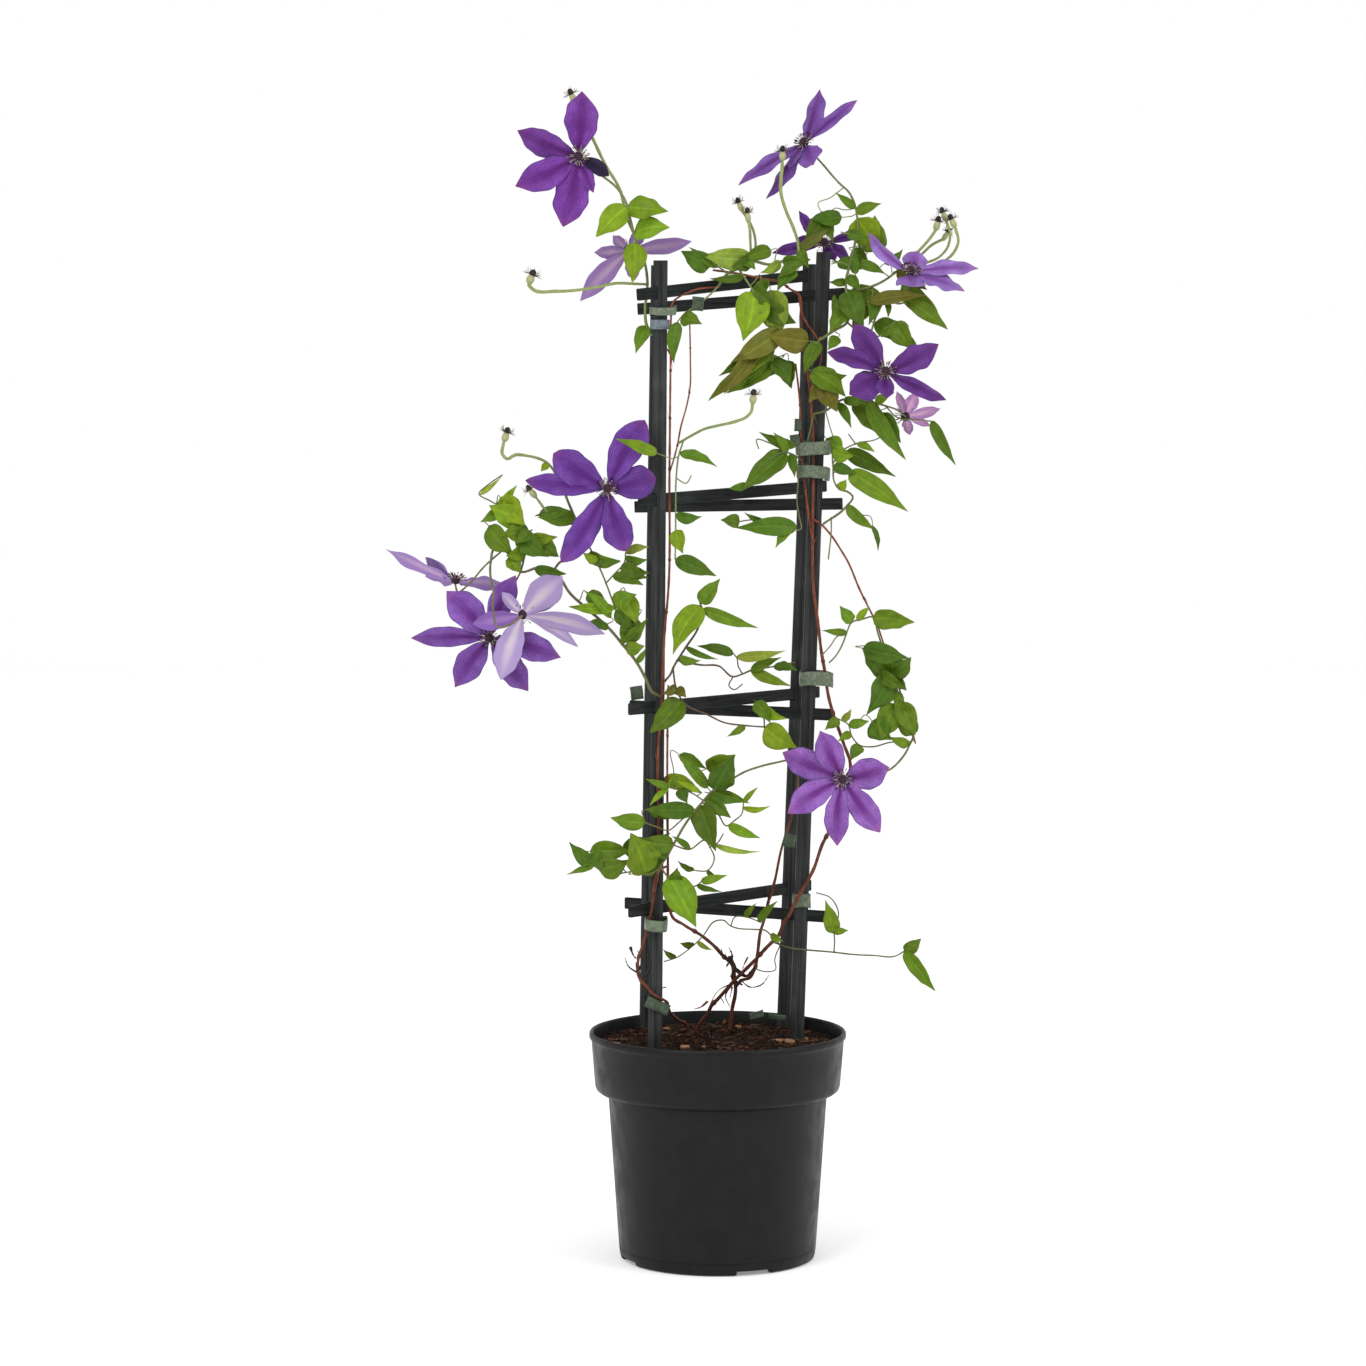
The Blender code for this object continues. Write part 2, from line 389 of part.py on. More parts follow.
            (11.4, 56.0, -1.9), (11.1, 55.2, -1.9), (10.4, 54.0, -1.8), (9.9, 53.5, -1.7),
        )),
        (0.07, 0.06, (
            (17.3, 46.7, -1.9), (16.5, 45.1, -2.7), (15.4, 44.0, -3.6), (13.5, 43.3, -4.5),
            (11.9, 43.1, -4.9),
        ), "bloom_12"),
        (0.05, 0.045, (
            (17.2, 46.6, -2.0), (15.4, 46.4, -2.0), (13.8, 46.0, -2.1), (12.7, 46.1, -2.3),
            (11.9, 47.0, -2.7), (11.6, 48.0, -2.9), (10.7, 48.5, -3.0),
        )),
        (0.045, 0.04, ((11.4, 56.0, -1.9), (10.7, 55.9, -2.1), (10.0, 55.0, -2.3), (9.2, 54.1, -2.0))),
    ),
    "shoot_low": (
        (0.09, 0.06, (
            (-5.3, 34.6, -7.5), (-5.1, 35.3, -7.7), (-4.6, 36.1, -7.8), (-3.8, 37.5, -7.8),
            (-3.0, 38.9, -7.6), (-2.0, 40.3, -7.3), (-1.5, 40.9, -7.1), (-0.4, 42.1, -6.8),
            (1.0, 42.95, -6.2), (2.5, 43.8, -5.4), (4.0, 44.3, -4.6), (5.5, 44.65, -3.4),
            (6.5, 44.9, -2.4), (7.2, 45.2, -1.5),
        )),
        (0.05, 0.045, (
            (-1.9, 40.5, -7.2), (-2.6, 40.0, -6.9), (-3.6, 39.1, -7.2), (-4.4, 38.5, -7.4),
            (-5.4, 38.8, -7.6), (-6.5, 39.2, -7.8),
        )),
        (0.055, 0.045, (
            (-1.4, 41.0, -7.1), (0.0, 40.0, -7.3), (0.8, 38.9, -7.2), (1.5, 39.4, -7.1),
            (2.1, 39.9, -7.0), (2.3, 41.0, -6.9),
        )),
        (0.055, 0.045, (
            (-4.0, 37.2, -7.8), (-2.5, 36.8, -7.6), (-1.1, 37.6, -7.4), (-0.7, 37.0, -7.3),
            (-0.3, 36.0, -7.3), (-0.9, 34.9, -7.3), (-2.0, 34.9, -7.3), (-2.7, 35.0, -7.3),
        )),
        (0.05, 0.045, ((-0.7, 37.0, -7.3), (-0.1, 37.3, -7.2), (0.5, 38.2, -7.1))),
        (0.06, 0.045, (
            (-5.1, 35.3, -7.7), (-4.6, 34.5, -8.0), (-2.9, 33.4, -8.1), (-1.8, 33.6, -8.0),
            (-1.3, 34.1, -7.9),
        )),
        (0.06, 0.045, (
            (-5.1, 35.1, -7.7), (-6.0, 34.6, -8.0), (-7.5, 34.8, -8.2), (-9.1, 34.55, -8.2),
            (-10.1, 34.4, -8.2), (-10.6, 35.0, -8.2), (-11.2, 35.4, -8.2),
        )),
        (0.05, 0.045, ((-1.3, 41.2, -7.0), (-2.4, 41.9, -7.3), (-3.6, 42.3, -7.5), (-4.4, 42.4, -7.5))),
    ),
    "shoot_base": (
        (0.06, 0.045, (
            (5.3, 28.1, -0.5), (6.4, 27.95, -1.3), (8.0, 27.75, -1.8), (10.3, 27.55, -2.0),
            (12.0, 27.35, -2.0), (14.0, 27.25, -2.0), (15.9, 27.2, -2.0), (16.7, 27.65, -2.0),
        )),
        (0.05, 0.04, (
            (10.4, 27.55, -2.0), (10.45, 28.6, -2.2), (10.4, 29.6, -2.3), (10.8, 31.0, -2.4),
            (10.0, 32.5, -2.5), (8.8, 32.9, -2.5),
        )),
        (0.05, 0.04, (
            (5.5, 28.1, -0.7), (4.9, 28.9, -1.2), (4.3, 29.5, -1.3), (3.3, 29.6, -1.2),
            (1.6, 29.75, -1.2), (1.1, 29.95, -1.3), (0.6, 30.4, -1.3), (-0.1, 30.4, -1.4),
            (-1.4, 28.9, -1.3), (-2.0, 28.3, -1.6), (-2.6, 27.8, -2.0), (-3.6, 27.1, -2.6),
            (-4.8, 26.7, -3.3),
        )),
        (0.045, 0.04, ((1.2, 29.95, -1.3), (1.5, 30.7, -1.4), (2.6, 30.7, -1.4), (3.9, 30.2, -1.5))),
        (0.04, 0.04, (
            (5.5, 28.0, -0.7), (5.1, 26.8, -0.8), (5.2, 26.0, -0.8), (4.2, 25.8, -0.7),
            (3.5, 26.0, -0.6),
        )),
    ),
}

# Seed heads sit at the nearest stalk end: knob centre and whisker reach.
SEED_HEADS = {
    "shoot_top_left": ((-12.9, 103.6, -6.1, 0.42), (-16.45, 87.75, -6.2, 0.5)),
    "shoot_top_centre": ((2.6, 93.2, -1.6, 0.36), (1.85, 94.1, -0.6, 0.36), (5.67, 98.6, -2.6, 0.42)),
    "shoot_top_right": (
        (19.35, 92.45, 0.9, 0.42), (20.2, 91.5, 1.9, 0.34), (19.85, 93.25, 1.4, 0.36),
        (20.6, 92.65, 0.3, 0.4),
    ),
    "shoot_middle_left": ((3.13, 77.2, -6.0, 0.45),),
    "shoot_left": ((-18.73, 73.85, -6.0, 0.45), (-16.6, 68.8, -6.5, 0.4)),
}

# Leaves: base and tip (across, up, depth each), width, and age: Y young, M mid, D dark, B bronze, P pale.
LEAVES = {
    "shoot_top_left": (
        (-8.35, 93.65, -6.2, -10.8, 91.15, -7.1, 2.3, "Y"), (-7.6, 94.0, -6.1, -4.4, 93.4, -6.8, 2.1, "Y"),
        (-7.4, 91.5, -6.1, -4.25, 92.0, -6.9, 2.1, "Y"), (-7.4, 90.65, -6.3, -7.6, 87.1, -7.5, 2.2, "Y"),
        (-6.4, 83.2, -5.6, -7.3, 80.9, -6.2, 1.3, "M"),
    ),
    "shoot_top_centre": (
        (-0.7, 88.4, -2.8, -3.3, 89.95, -3.3, 2.0, "M"), (0.2, 88.9, -2.5, -2.6, 90.3, -2.9, 0.8, "D"),
        (2.7, 89.3, -2.3, -1.5, 89.6, -3.3, 2.1, "P"), (3.0, 88.8, -2.4, 1.2, 88.5, -3.0, 1.3, "D"),
        (2.4, 87.8, -2.9, -0.8, 87.5, -3.4, 0.8, "M"), (5.5, 89.2, -1.6, 3.7, 88.0, -2.2, 1.0, "P"),
        (7.2, 88.9, -1.8, 5.2, 87.5, -2.5, 1.2, "M"), (2.9, 86.2, -3.3, 2.2, 82.0, -4.2, 3.2, "Y"),
        (4.4, 85.2, -3.3, 6.9, 83.6, -3.8, 1.8, "M"), (3.1, 86.8, -3.2, 5.0, 84.9, -3.7, 1.6, "M"),
        (5.6, 82.9, -3.3, 1.1, 80.1, -4.2, 2.2, "B"), (3.6, 81.9, -3.5, -0.8, 76.9, -4.3, 1.6, "B"),
        (4.8, 81.4, -3.2, 0.5, 77.3, -3.7, 1.2, "M"), (4.5, 79.8, -3.1, 2.2, 77.9, -3.6, 1.5, "D"),
        (4.8, 80.3, -3.0, 6.4, 78.1, -3.4, 1.7, "D"), (7.2, 90.1, -1.8, 9.8, 91.9, -2.7, 1.0, "B"),
        (7.3, 90.2, -1.8, 8.0, 88.4, -2.1, 1.0, "M"), (-3.6, 83.6, -7.2, -3.9, 80.0, -7.7, 1.3, "M"),
        (-3.1, 84.4, -6.4, -1.4, 83.5, -7.3, 1.5, "M"),
    ),
    "shoot_top_right": (
        (12.0, 93.7, -1.8, 10.3, 95.1, -2.3, 0.8, "M"), (12.5, 93.4, -1.9, 14.4, 94.1, -2.5, 1.1, "M"),
        (12.2, 92.8, -1.6, 13.9, 90.0, -0.9, 2.9, "Y"), (10.9, 92.9, -1.5, 8.0, 92.7, -1.7, 1.5, "D"),
        (11.3, 91.5, -2.7, 13.3, 91.1, -2.9, 1.0, "D"), (14.7, 88.8, -0.6, 16.3, 90.1, -0.7, 0.9, "D"),
        (12.1, 87.9, -2.3, 12.15, 90.1, -2.6, 0.9, "Y"), (12.3, 88.9, -2.2, 14.8, 87.9, -2.7, 1.0, "D"),
        (11.5, 87.7, -2.2, 12.6, 86.5, -2.7, 1.1, "D"), (11.1, 87.2, -2.1, 9.8, 87.2, -2.4, 0.8, "M"),
        (11.5, 86.5, -2.3, 12.85, 83.1, -3.2, 2.4, "M"), (13.6, 86.1, -2.0, 13.3, 83.4, -3.0, 1.2, "D"),
        (13.3, 85.5, -2.6, 18.5, 86.0, -3.5, 1.3, "B"),
        (16.9, 85.6, -2.6, 20.35, 83.0, -3.3, 1.5, "M"), (14.2, 82.5, -2.8, 16.9, 83.4, -3.1, 0.9, "M"),
        (15.7, 83.6, -3.0, 17.2, 81.3, -3.3, 2.0, "M"), (11.2, 84.9, -2.3, 9.8, 82.6, -3.0, 1.6, "M"),
        (10.6, 82.4, -2.6, 9.7, 81.2, -2.9, 1.1, "Y"), (8.9, 82.0, -3.0, 7.6, 79.1, -3.5, 1.4, "M"),
    ),
    "shoot_right_upper": (
        (8.9, 78.7, -2.8, 10.55, 75.75, -3.2, 2.2, "B"), (8.8, 78.4, -2.8, 8.0, 76.6, -3.1, 1.3, "B"),
        (9.2, 78.7, -2.8, 11.4, 79.0, -3.3, 1.3, "M"), (11.1, 76.8, -2.6, 13.3, 76.4, -3.2, 0.9, "M"),
        (13.2, 76.4, -2.9, 16.65, 71.5, -3.6, 1.6, "M"), (14.5, 75.7, -2.8, 16.2, 73.0, -2.7, 1.4, "D"),
        (14.0, 76.7, -3.0, 15.3, 77.2, -3.3, 0.9, "Y"), (18.9, 75.0, -3.2, 21.1, 71.0, -3.4, 1.1, "D"),
        (10.6, 76.5, -2.5, 11.8, 74.3, -3.0, 0.9, "D"),
    ),
    "shoot_right_middle": (
        (10.2, 72.3, -2.3, 12.0, 71.85, -2.8, 1.6, "Y"),
        (10.4, 71.0, -2.2, 12.4, 70.3, -2.7, 1.1, "D"), (11.6, 70.5, -2.4, 16.9, 66.9, -3.0, 2.0, "M"),
        (10.7, 68.6, -2.2, 11.4, 69.8, -2.5, 0.9, "Y"), (11.2, 67.6, -2.3, 14.0, 65.3, -2.8, 1.1, "M"),
    ),
    "shoot_middle_left": (
        (-3.4, 72.2, -6.9, -0.05, 70.9, -7.3, 1.0, "M"), (-3.7, 66.6, -6.9, -1.4, 66.5, -7.3, 1.1, "D"),
        (-3.7, 65.3, -7.0, -3.1, 63.2, -7.5, 1.5, "Y"), (-3.7, 62.7, -7.0, -0.1, 61.2, -7.4, 1.6, "D"),
        (-5.4, 72.1, -8.9, -9.1, 73.4, -9.6, 1.1, "M"),
    ),
    "shoot_middle_right": (
        (6.3, 72.4, -2.6, 4.9, 73.95, -3.0, 0.9, "M"), (6.1, 72.1, -2.6, 1.9, 68.65, -3.6, 2.1, "M"),
        (6.6, 72.2, -2.5, 6.8, 70.0, -2.9, 0.9, "D"),
        (7.1, 65.4, -2.5, 1.5, 65.5, -3.5, 1.8, "M"), (6.4, 65.3, -2.6, 5.1, 63.7, -3.0, 1.0, "M"),
        (1.9, 66.2, -3.2, 0.2, 66.2, -3.5, 1.3, "M"),
    ),
    "shoot_left": (
        (-12.6, 66.4, -6.3, -16.0, 66.45, -7.0, 1.4, "M"),
        (-19.1, 67.5, -6.3, -17.8, 69.3, -6.6, 0.8, "Y"), (-17.3, 66.0, -6.3, -20.3, 67.5, -7.0, 2.3, "Y"),
        (-19.2, 67.0, -6.4, -21.1, 66.0, -6.7, 1.1, "M"), (-16.9, 65.0, -6.4, -19.3, 64.8, -7.0, 2.0, "M"),
        (-16.6, 65.2, -6.5, -17.9, 64.1, -7.2, 1.3, "D"), (-16.7, 64.1, -6.4, -14.2, 64.7, -6.9, 1.4, "M"),
        (-16.7, 63.8, -6.4, -14.3, 62.9, -6.9, 1.2, "D"), (-17.0, 63.4, -6.4, -18.8, 63.0, -6.8, 1.5, "M"),
        (-16.3, 61.8, -6.4, -13.4, 61.4, -7.0, 1.1, "D"), (-10.5, 62.6, -6.9, -12.0, 63.3, -7.3, 0.9, "M"),
        (-10.5, 62.5, -6.9, -8.6, 62.6, -7.3, 0.8, "D"), (-8.3, 63.3, -7.2, -6.1, 63.8, -7.6, 0.8, "P"),
        (-8.1, 62.8, -7.2, -6.2, 62.7, -7.5, 0.9, "D"), (-8.6, 61.9, -7.1, -6.0, 61.5, -7.5, 1.4, "M"),
        (-9.1, 61.0, -7.0, -6.6, 60.4, -7.4, 1.1, "M"), (-9.5, 57.5, -7.1, -11.9, 59.9, -7.6, 1.0, "M"),
        (-9.6, 58.2, -7.1, -13.3, 58.5, -7.6, 1.1, "Y"), (-9.0, 58.6, -7.2, -7.2, 59.6, -7.6, 1.8, "M"),
        (-9.2, 57.8, -7.2, -7.3, 56.4, -7.7, 1.3, "D"), (-8.0, 55.3, -7.4, -6.2, 57.5, -7.8, 1.2, "M"),
        (-8.1, 54.9, -7.4, -6.5, 55.0, -7.8, 1.4, "M"), (-9.6, 56.7, -7.2, -11.6, 57.2, -7.6, 0.8, "D"),
    ),
    "shoot_centre": (
        (-1.5, 58.9, -6.9, 0.2, 61.0, -7.3, 1.5, "M"), (-1.7, 58.5, -7.0, -4.0, 54.2, -8.0, 2.3, "Y"),
        (-1.1, 58.4, -6.9, 3.6, 56.6, -7.5, 1.2, "M"), (1.3, 54.3, -5.0, -1.9, 55.0, -5.6, 1.0, "D"),
        (-3.5, 53.9, -7.5, -1.5, 53.7, -7.7, 0.9, "Y"),
        (-3.8, 51.4, -7.6, -4.9, 50.7, -8.1, 0.9, "B"), (-3.6, 51.2, -7.6, -2.8, 50.4, -8.1, 1.0, "B"),
        (-3.5, 49.9, -7.6, -6.1, 47.2, -8.3, 2.3, "Y"), (1.8, 54.1, -5.0, 6.1, 54.6, -5.2, 1.0, "P"),
        (2.9, 53.2, -4.6, 5.7, 54.0, -4.8, 0.9, "D"), (5.0, 53.1, -3.4, 7.1, 52.8, -3.8, 0.9, "D"),
        (3.0, 52.7, -4.5, 6.6, 51.4, -4.9, 1.0, "Y"), (3.9, 49.8, -3.6, 6.2, 48.5, -4.1, 1.1, "M"),
        (3.3, 50.0, -3.5, 4.7, 48.1, -4.1, 1.4, "M"), (4.2, 47.6, -3.4, 7.1, 45.9, -3.9, 2.4, "Y"),
    ),
    "shoot_right_lower": (
        (11.8, 57.2, -2.1, 10.8, 58.6, -2.5, 1.2, "M"),
        (13.9, 57.5, -2.3, 17.5, 57.1, -2.9, 1.9, "M"),
        (15.3, 52.5, -2.1, 12.8, 54.8, -2.8, 2.0, "D"), (15.5, 52.5, -2.1, 17.2, 54.0, -2.6, 1.9, "D"),
        (15.1, 52.3, -2.1, 13.2, 48.8, -3.0, 2.5, "D"), (15.7, 52.0, -2.1, 16.8, 51.0, -2.5, 1.1, "M"),
        (16.2, 51.0, -2.0, 15.9, 49.4, -2.5, 0.9, "M"),
        (15.9, 49.8, -2.2, 14.5, 46.6, -3.1, 2.5, "M"), (17.2, 46.9, -2.0, 15.6, 50.6, -2.7, 1.9, "M"),
        (17.0, 46.3, -2.1, 15.2, 46.9, -2.6, 1.0, "M"), (11.7, 47.9, -3.0, 13.5, 48.3, -3.4, 0.9, "Y"),
        (10.8, 48.4, -3.1, 9.5, 47.5, -3.5, 1.0, "M"), (11.7, 47.2, -2.9, 10.7, 46.5, -3.3, 0.8, "M"),
        (12.7, 46.0, -2.5, 11.8, 44.7, -3.1, 1.2, "M"),
    ),
    "shoot_low": (
        (-6.5, 39.2, -7.9, -9.6, 39.65, -8.3, 1.6, "Y"), (-6.4, 34.5, -8.2, -7.8, 38.3, -9.1, 3.1, "Y"),
        (-4.1, 37.3, -8.0, -6.9, 37.7, -8.6, 1.8, "M"), (-10.4, 35.1, -8.3, -7.8, 35.9, -8.8, 2.2, "D"),
        (-10.6, 35.2, -8.3, -10.5, 37.0, -8.6, 1.5, "D"), (-11.1, 35.6, -8.3, -13.3, 37.5, -8.6, 1.4, "M"),
        (-2.3, 40.5, -7.5, -6.5, 40.4, -8.0, 1.6, "D"),
        (-3.4, 42.2, -7.6, -2.7, 40.9, -8.0, 1.2, "Y"), (-0.4, 42.4, -7.0, 1.5, 45.3, -7.5, 2.4, "D"),
        (-0.9, 42.3, -7.0, -3.6, 45.3, -7.3, 1.1, "M"), (-1.4, 40.6, -7.3, -0.15, 36.6, -8.0, 2.3, "D"),
        (-0.9, 41.2, -7.2, 1.2, 39.6, -7.8, 1.5, "D"), (-0.5, 41.5, -7.2, 2.2, 41.0, -7.6, 0.9, "D"),
        (1.0, 38.9, -7.3, 3.85, 37.8, -7.6, 1.0, "Y"),
        (-4.4, 36.3, -8.0, -5.9, 36.2, -8.5, 0.9, "D"),
        (-1.5, 33.9, -8.0, 0.9, 34.5, -8.3, 0.8, "Y"), (-4.6, 34.0, -8.2, -1.9, 29.75, -9.1, 2.9, "Y"),
        (-3.7, 33.9, -8.1, -3.6, 35.2, -8.5, 1.2, "D"),
    ),
    "shoot_base": (
        (10.6, 29.2, -2.4, 9.6, 32.3, -2.9, 1.5, "M"),
        (16.6, 27.8, -2.1, 18.2, 28.8, -2.5, 1.3, "M"), (16.7, 27.6, -2.1, 19.5, 24.0, -2.5, 1.4, "M"),
        (4.7, 29.0, -1.4, 5.9, 28.5, -1.9, 0.8, "M"),
        (3.6, 30.3, -1.6, 5.4, 32.2, -2.4, 0.8, "M"),
    ),
}
ROOTS = {
    "shoot_top_left": "stem_left", "shoot_top_centre": "stem_left", "shoot_top_right": "stem_right",
    "shoot_right_upper": "stem_right", "shoot_right_middle": "stem_right",
    "shoot_middle_left": "stem_left", "shoot_middle_right": "stem_right", "shoot_left": "stem_left",
    "shoot_centre": "stem_left", "shoot_right_lower": "stem_right", "shoot_low": "stem_left",
    "shoot_base": "stem_right",
}
SHOOT_TINT = {
    "shoot_top_left": (0.33, 0.5, 0.12), "shoot_top_centre": (0.2, 0.3, 0.09),
    "shoot_top_right": (0.16, 0.27, 0.08), "shoot_right_upper": (0.17, 0.25, 0.09),
    "shoot_right_middle": (0.16, 0.28, 0.08), "shoot_middle_left": (0.2, 0.33, 0.09),
    "shoot_middle_right": (0.18, 0.32, 0.08), "shoot_left": (0.17, 0.35, 0.08),
    "shoot_centre": (0.2, 0.33, 0.08), "shoot_right_lower": (0.12, 0.25, 0.06),
    "shoot_low": (0.18, 0.33, 0.08), "shoot_base": (0.16, 0.25, 0.08),
}

SHOOT_FACETS = {
    "shoot_top_left": 0.68, "shoot_top_centre": 0.68, "shoot_top_right": 0.68,
    "shoot_right_upper": 0.68, "shoot_right_middle": 0.68, "shoot_middle_left": 0.68,
    "shoot_middle_right": 0.68, "shoot_left": 0.68, "shoot_centre": 0.68,
    "shoot_right_lower": 0.68, "shoot_low": 0.68, "shoot_base": 0.68,
}
BLOOM_FACETS = 0.72

LEAF_THICKNESS = 0.065
PETIOLE_HALF = 0.05
PETIOLE_THICKNESS = 0.07
LEAF_ARCH = (0.02, 0.1)
LARGE_LEAF = 1.45
LONG_LEAF = 3.4
SHORT_PETIOLE = 0.5
STATIONS_LARGE = ((0.16, 0.74), (0.42, 1.0), (0.72, 0.6))
STATIONS_SMALL = ((0.3, 1.0), (0.68, 0.62))
FOLD = {"Y": 0.16, "M": 0.26, "D": 0.34, "B": 0.36, "P": 0.2}
WAVE = {"Y": 0.05, "M": 0.08, "D": 0.1, "B": 0.14, "P": 0.06}
MOST_ROLL = 0.45
LEAST_SHOWN = 0.55

TEPAL_THICKNESS = 0.07
STATIONS_TEPAL = ((0.22, 0.5), (0.52, 1.0), (0.82, 0.6))
TEPAL_ARCH = 0.3
TEPAL_CUP = 3.0
TEPAL_WAVE = 0.07
TEPAL_ROOT = 0.14
TEPAL_CLAW = 0.2
TEPAL_LAYERS = (-0.03, 0.02)
HUB_RADIUS = 0.34
HUB_BACK = -0.12
HUB_TOP = 0.2
STALK_CLEARANCE = 0.09
CROWN_BASE = HUB_TOP + GAP
CROWN_SPIKES = 7
HEAD_SPIKES = 5
CROWN_NECK = 0.17
CROWN_VALLEY = 0.24
CROWN_REACH = 0.8
CROWN_HEIGHT = 0.6
HEAD_TOP = 0.3
HEAD_SINK = 0.06


def seen(across: float, up: float, depth: float) -> Vector:
    """Point in centimetres that shows at (across, up) from the front and lies depth behind the axis."""
    reach = 1.0 - depth / EYE.y
    return EYE + (Vector((across, 0.0, up)) - EYE) * reach


def route(points: tuple) -> list[Vector]:
    """The points of a stalk or stem in centimetres."""
    return [seen(*point) for point in points]


def nearest(point: Vector, lines: list[list[Vector]]) -> tuple[Vector, float]:
    """The nearest point of these polylines and its distance."""
    best, least = lines[0][0], math.inf
    for line in lines:
        for start, end in zip(line, line[1:]):
            step = end - start
            share = max(0.0, min(1.0, (point - start).dot(step) / max(step.length_squared, 1e-9)))
            spot = start + step * share
            if (point - spot).length < least:
                best, least = spot, (point - spot).length
    return best, least


def mesh_of(name: str, points: list[Vector], faces: list[tuple]) -> bpy.types.Object:
    """An object in metres from points in centimetres, with its faces turned outward."""
    mesh = bpy.data.meshes.new(name)
    mesh.from_pydata([point * CM for point in points], [], faces)
    work = bmesh.new()
    work.from_mesh(mesh)
    bmesh.ops.recalc_face_normals(work, faces=work.faces)
    work.to_mesh(mesh)
    work.free()
    thing = bpy.data.objects.new(name, mesh)
    bpy.context.scene.collection.objects.link(thing)
    return thing


def painted(thing: bpy.types.Object, colour: tuple, roughness: float) -> bpy.types.Object:
    """The object with a plain material of its own."""
    material = bpy.data.materials.new(thing.name)
    material.use_nodes = True
    shader = material.node_tree.nodes["Principled BSDF"]
    shader.inputs["Base Color"].default_value = (*colour, 1.0)
    shader.inputs["Roughness"].default_value = roughness
    thing.data.materials.clear()
    thing.data.materials.append(material)
    return thing


def remove(things: list[bpy.types.Object]) -> None:
    """Takes helper objects and their meshes out of the file."""
    for thing in things:
        mesh = thing.data
        bpy.data.objects.remove(thing)
        bpy.data.meshes.remove(mesh)


def boolean(thing: bpy.types.Object, tools: list[bpy.types.Object], operation: str) -> None:
    """One Boolean of the object with all the tools, applied, after which the tools are gone."""
    group = bpy.data.collections.new("tools")
    bpy.context.scene.collection.children.link(group)
    for tool in tools:
        bpy.context.scene.collection.objects.unlink(tool)
        group.objects.link(tool)
    modifier = thing.modifiers.new(operation.title(), "BOOLEAN")
    modifier.operation = operation
    modifier.solver = "EXACT"
    modifier.operand_type = "COLLECTION"
    modifier.collection = group
    bpy.context.view_layer.update()
    shown = thing.evaluated_get(bpy.context.evaluated_depsgraph_get())
    mesh = bpy.data.meshes.new_from_object(shown)
    thing.modifiers.clear()
    old = thing.data
    thing.data = mesh
    bpy.data.meshes.remove(old)
    remove(tools)
    bpy.data.collections.remove(group)


def islands(work: bmesh.types.BMesh) -> list[list[bmesh.types.BMFace]]:
    """The faces of each separate shell."""
    left = set(work.faces)
    found = []
    while left:
        shell = [left.pop()]
        for face in shell:
            for edge in face.edges:
                fresh = left.intersection(edge.link_faces)
                left -= fresh
                shell.extend(fresh)
        found.append(shell)
    return found


def cleaned(thing: bpy.types.Object) -> None:
    """Merges coincident points, cuts faces into triangles, and drops loose scraps and sealed hollows."""
    work = bmesh.new()
    work.from_mesh(thing.data)
    bmesh.ops.remove_doubles(work, verts=work.verts, dist=2e-6)
    bmesh.ops.dissolve_degenerate(work, edges=work.edges, dist=1e-6)
    bmesh.ops.triangulate(work, faces=work.faces)
    shells = sorted(islands(work), key=len)
    scraps = [face for shell in shells[:-1] if len(shell) < len(shells[-1]) // 40 + 8 for face in shell]
    bmesh.ops.delete(work, geom=scraps, context="FACES")
    work.to_mesh(thing.data)
    work.free()


def thin(thing: bpy.types.Object, keep: float) -> None:
    """Collapses the smallest facets that a union leaves along its seams."""
    modifier = thing.modifiers.new("Thin", "DECIMATE")
    modifier.ratio = keep
    bpy.context.view_layer.update()
    shown = thing.evaluated_get(bpy.context.evaluated_depsgraph_get())
    mesh = bpy.data.meshes.new_from_object(shown)
    thing.modifiers.clear()
    old = thing.data
    thing.data = mesh
    bpy.data.meshes.remove(old)


def fused(name: str, pieces: list[tuple[list[Vector], list[tuple]]], keep: float) -> bpy.types.Object:
    """One closed solid: the Boolean union of the pieces, with this share of its facets kept."""
    things = [mesh_of(f"{name}_piece", points, faces) for points, faces in pieces]
    first = things[0]
    first.name = name
    first.data.name = name
    boolean(first, things[1:], "UNION")
    cleaned(first)
    if keep < 1.0:
        thin(first, keep)
    return first


def tube(points: list[Vector], start: float, end: float, sides: int) -> tuple[list[Vector], list[tuple]]:
    """A tapering closed tube along the points."""
    last = len(points) - 1
    turns = [(points[min(i + 1, last)] - points[max(i - 1, 0)]).normalized() for i in range(last + 1)]
    side = turns[0].orthogonal().normalized()
    ring_points = []
    faces = []
    for index, (point, turn) in enumerate(zip(points, turns)):
        side = (side - turn * side.dot(turn)).normalized()
        up = turn.cross(side)
        radius = start + (end - start) * index / last
        for step in range(sides):
            angle = math.tau * step / sides
            ring_points.append(point + (side * math.cos(angle) + up * math.sin(angle)) * radius)
    for index in range(last):
        low = index * sides
        for step in range(sides):
            after = (step + 1) % sides
            faces.append((low + step, low + after, low + sides + after, low + sides + step))
    faces.append(tuple(reversed(range(sides))))
    faces.append(tuple(range(last * sides, (last + 1) * sides)))
    return ring_points, faces


def blade_ring(
    middle: Vector, side: Vector, normal: Vector, half: float, thick: float, lift: tuple, spine: bool
) -> list[Vector]:
    """Points round a blade, with a lower midrib point on each face if it has a spine."""
    off = normal * thick / 2
    left = middle - side * half + normal * lift[0]
    right = middle + side * half + normal * lift[1]
    if spine:
        return [left + off, middle + off, right + off, right - off, middle - off, left - off]
    return [left + off, right + off, right - off, left - off]


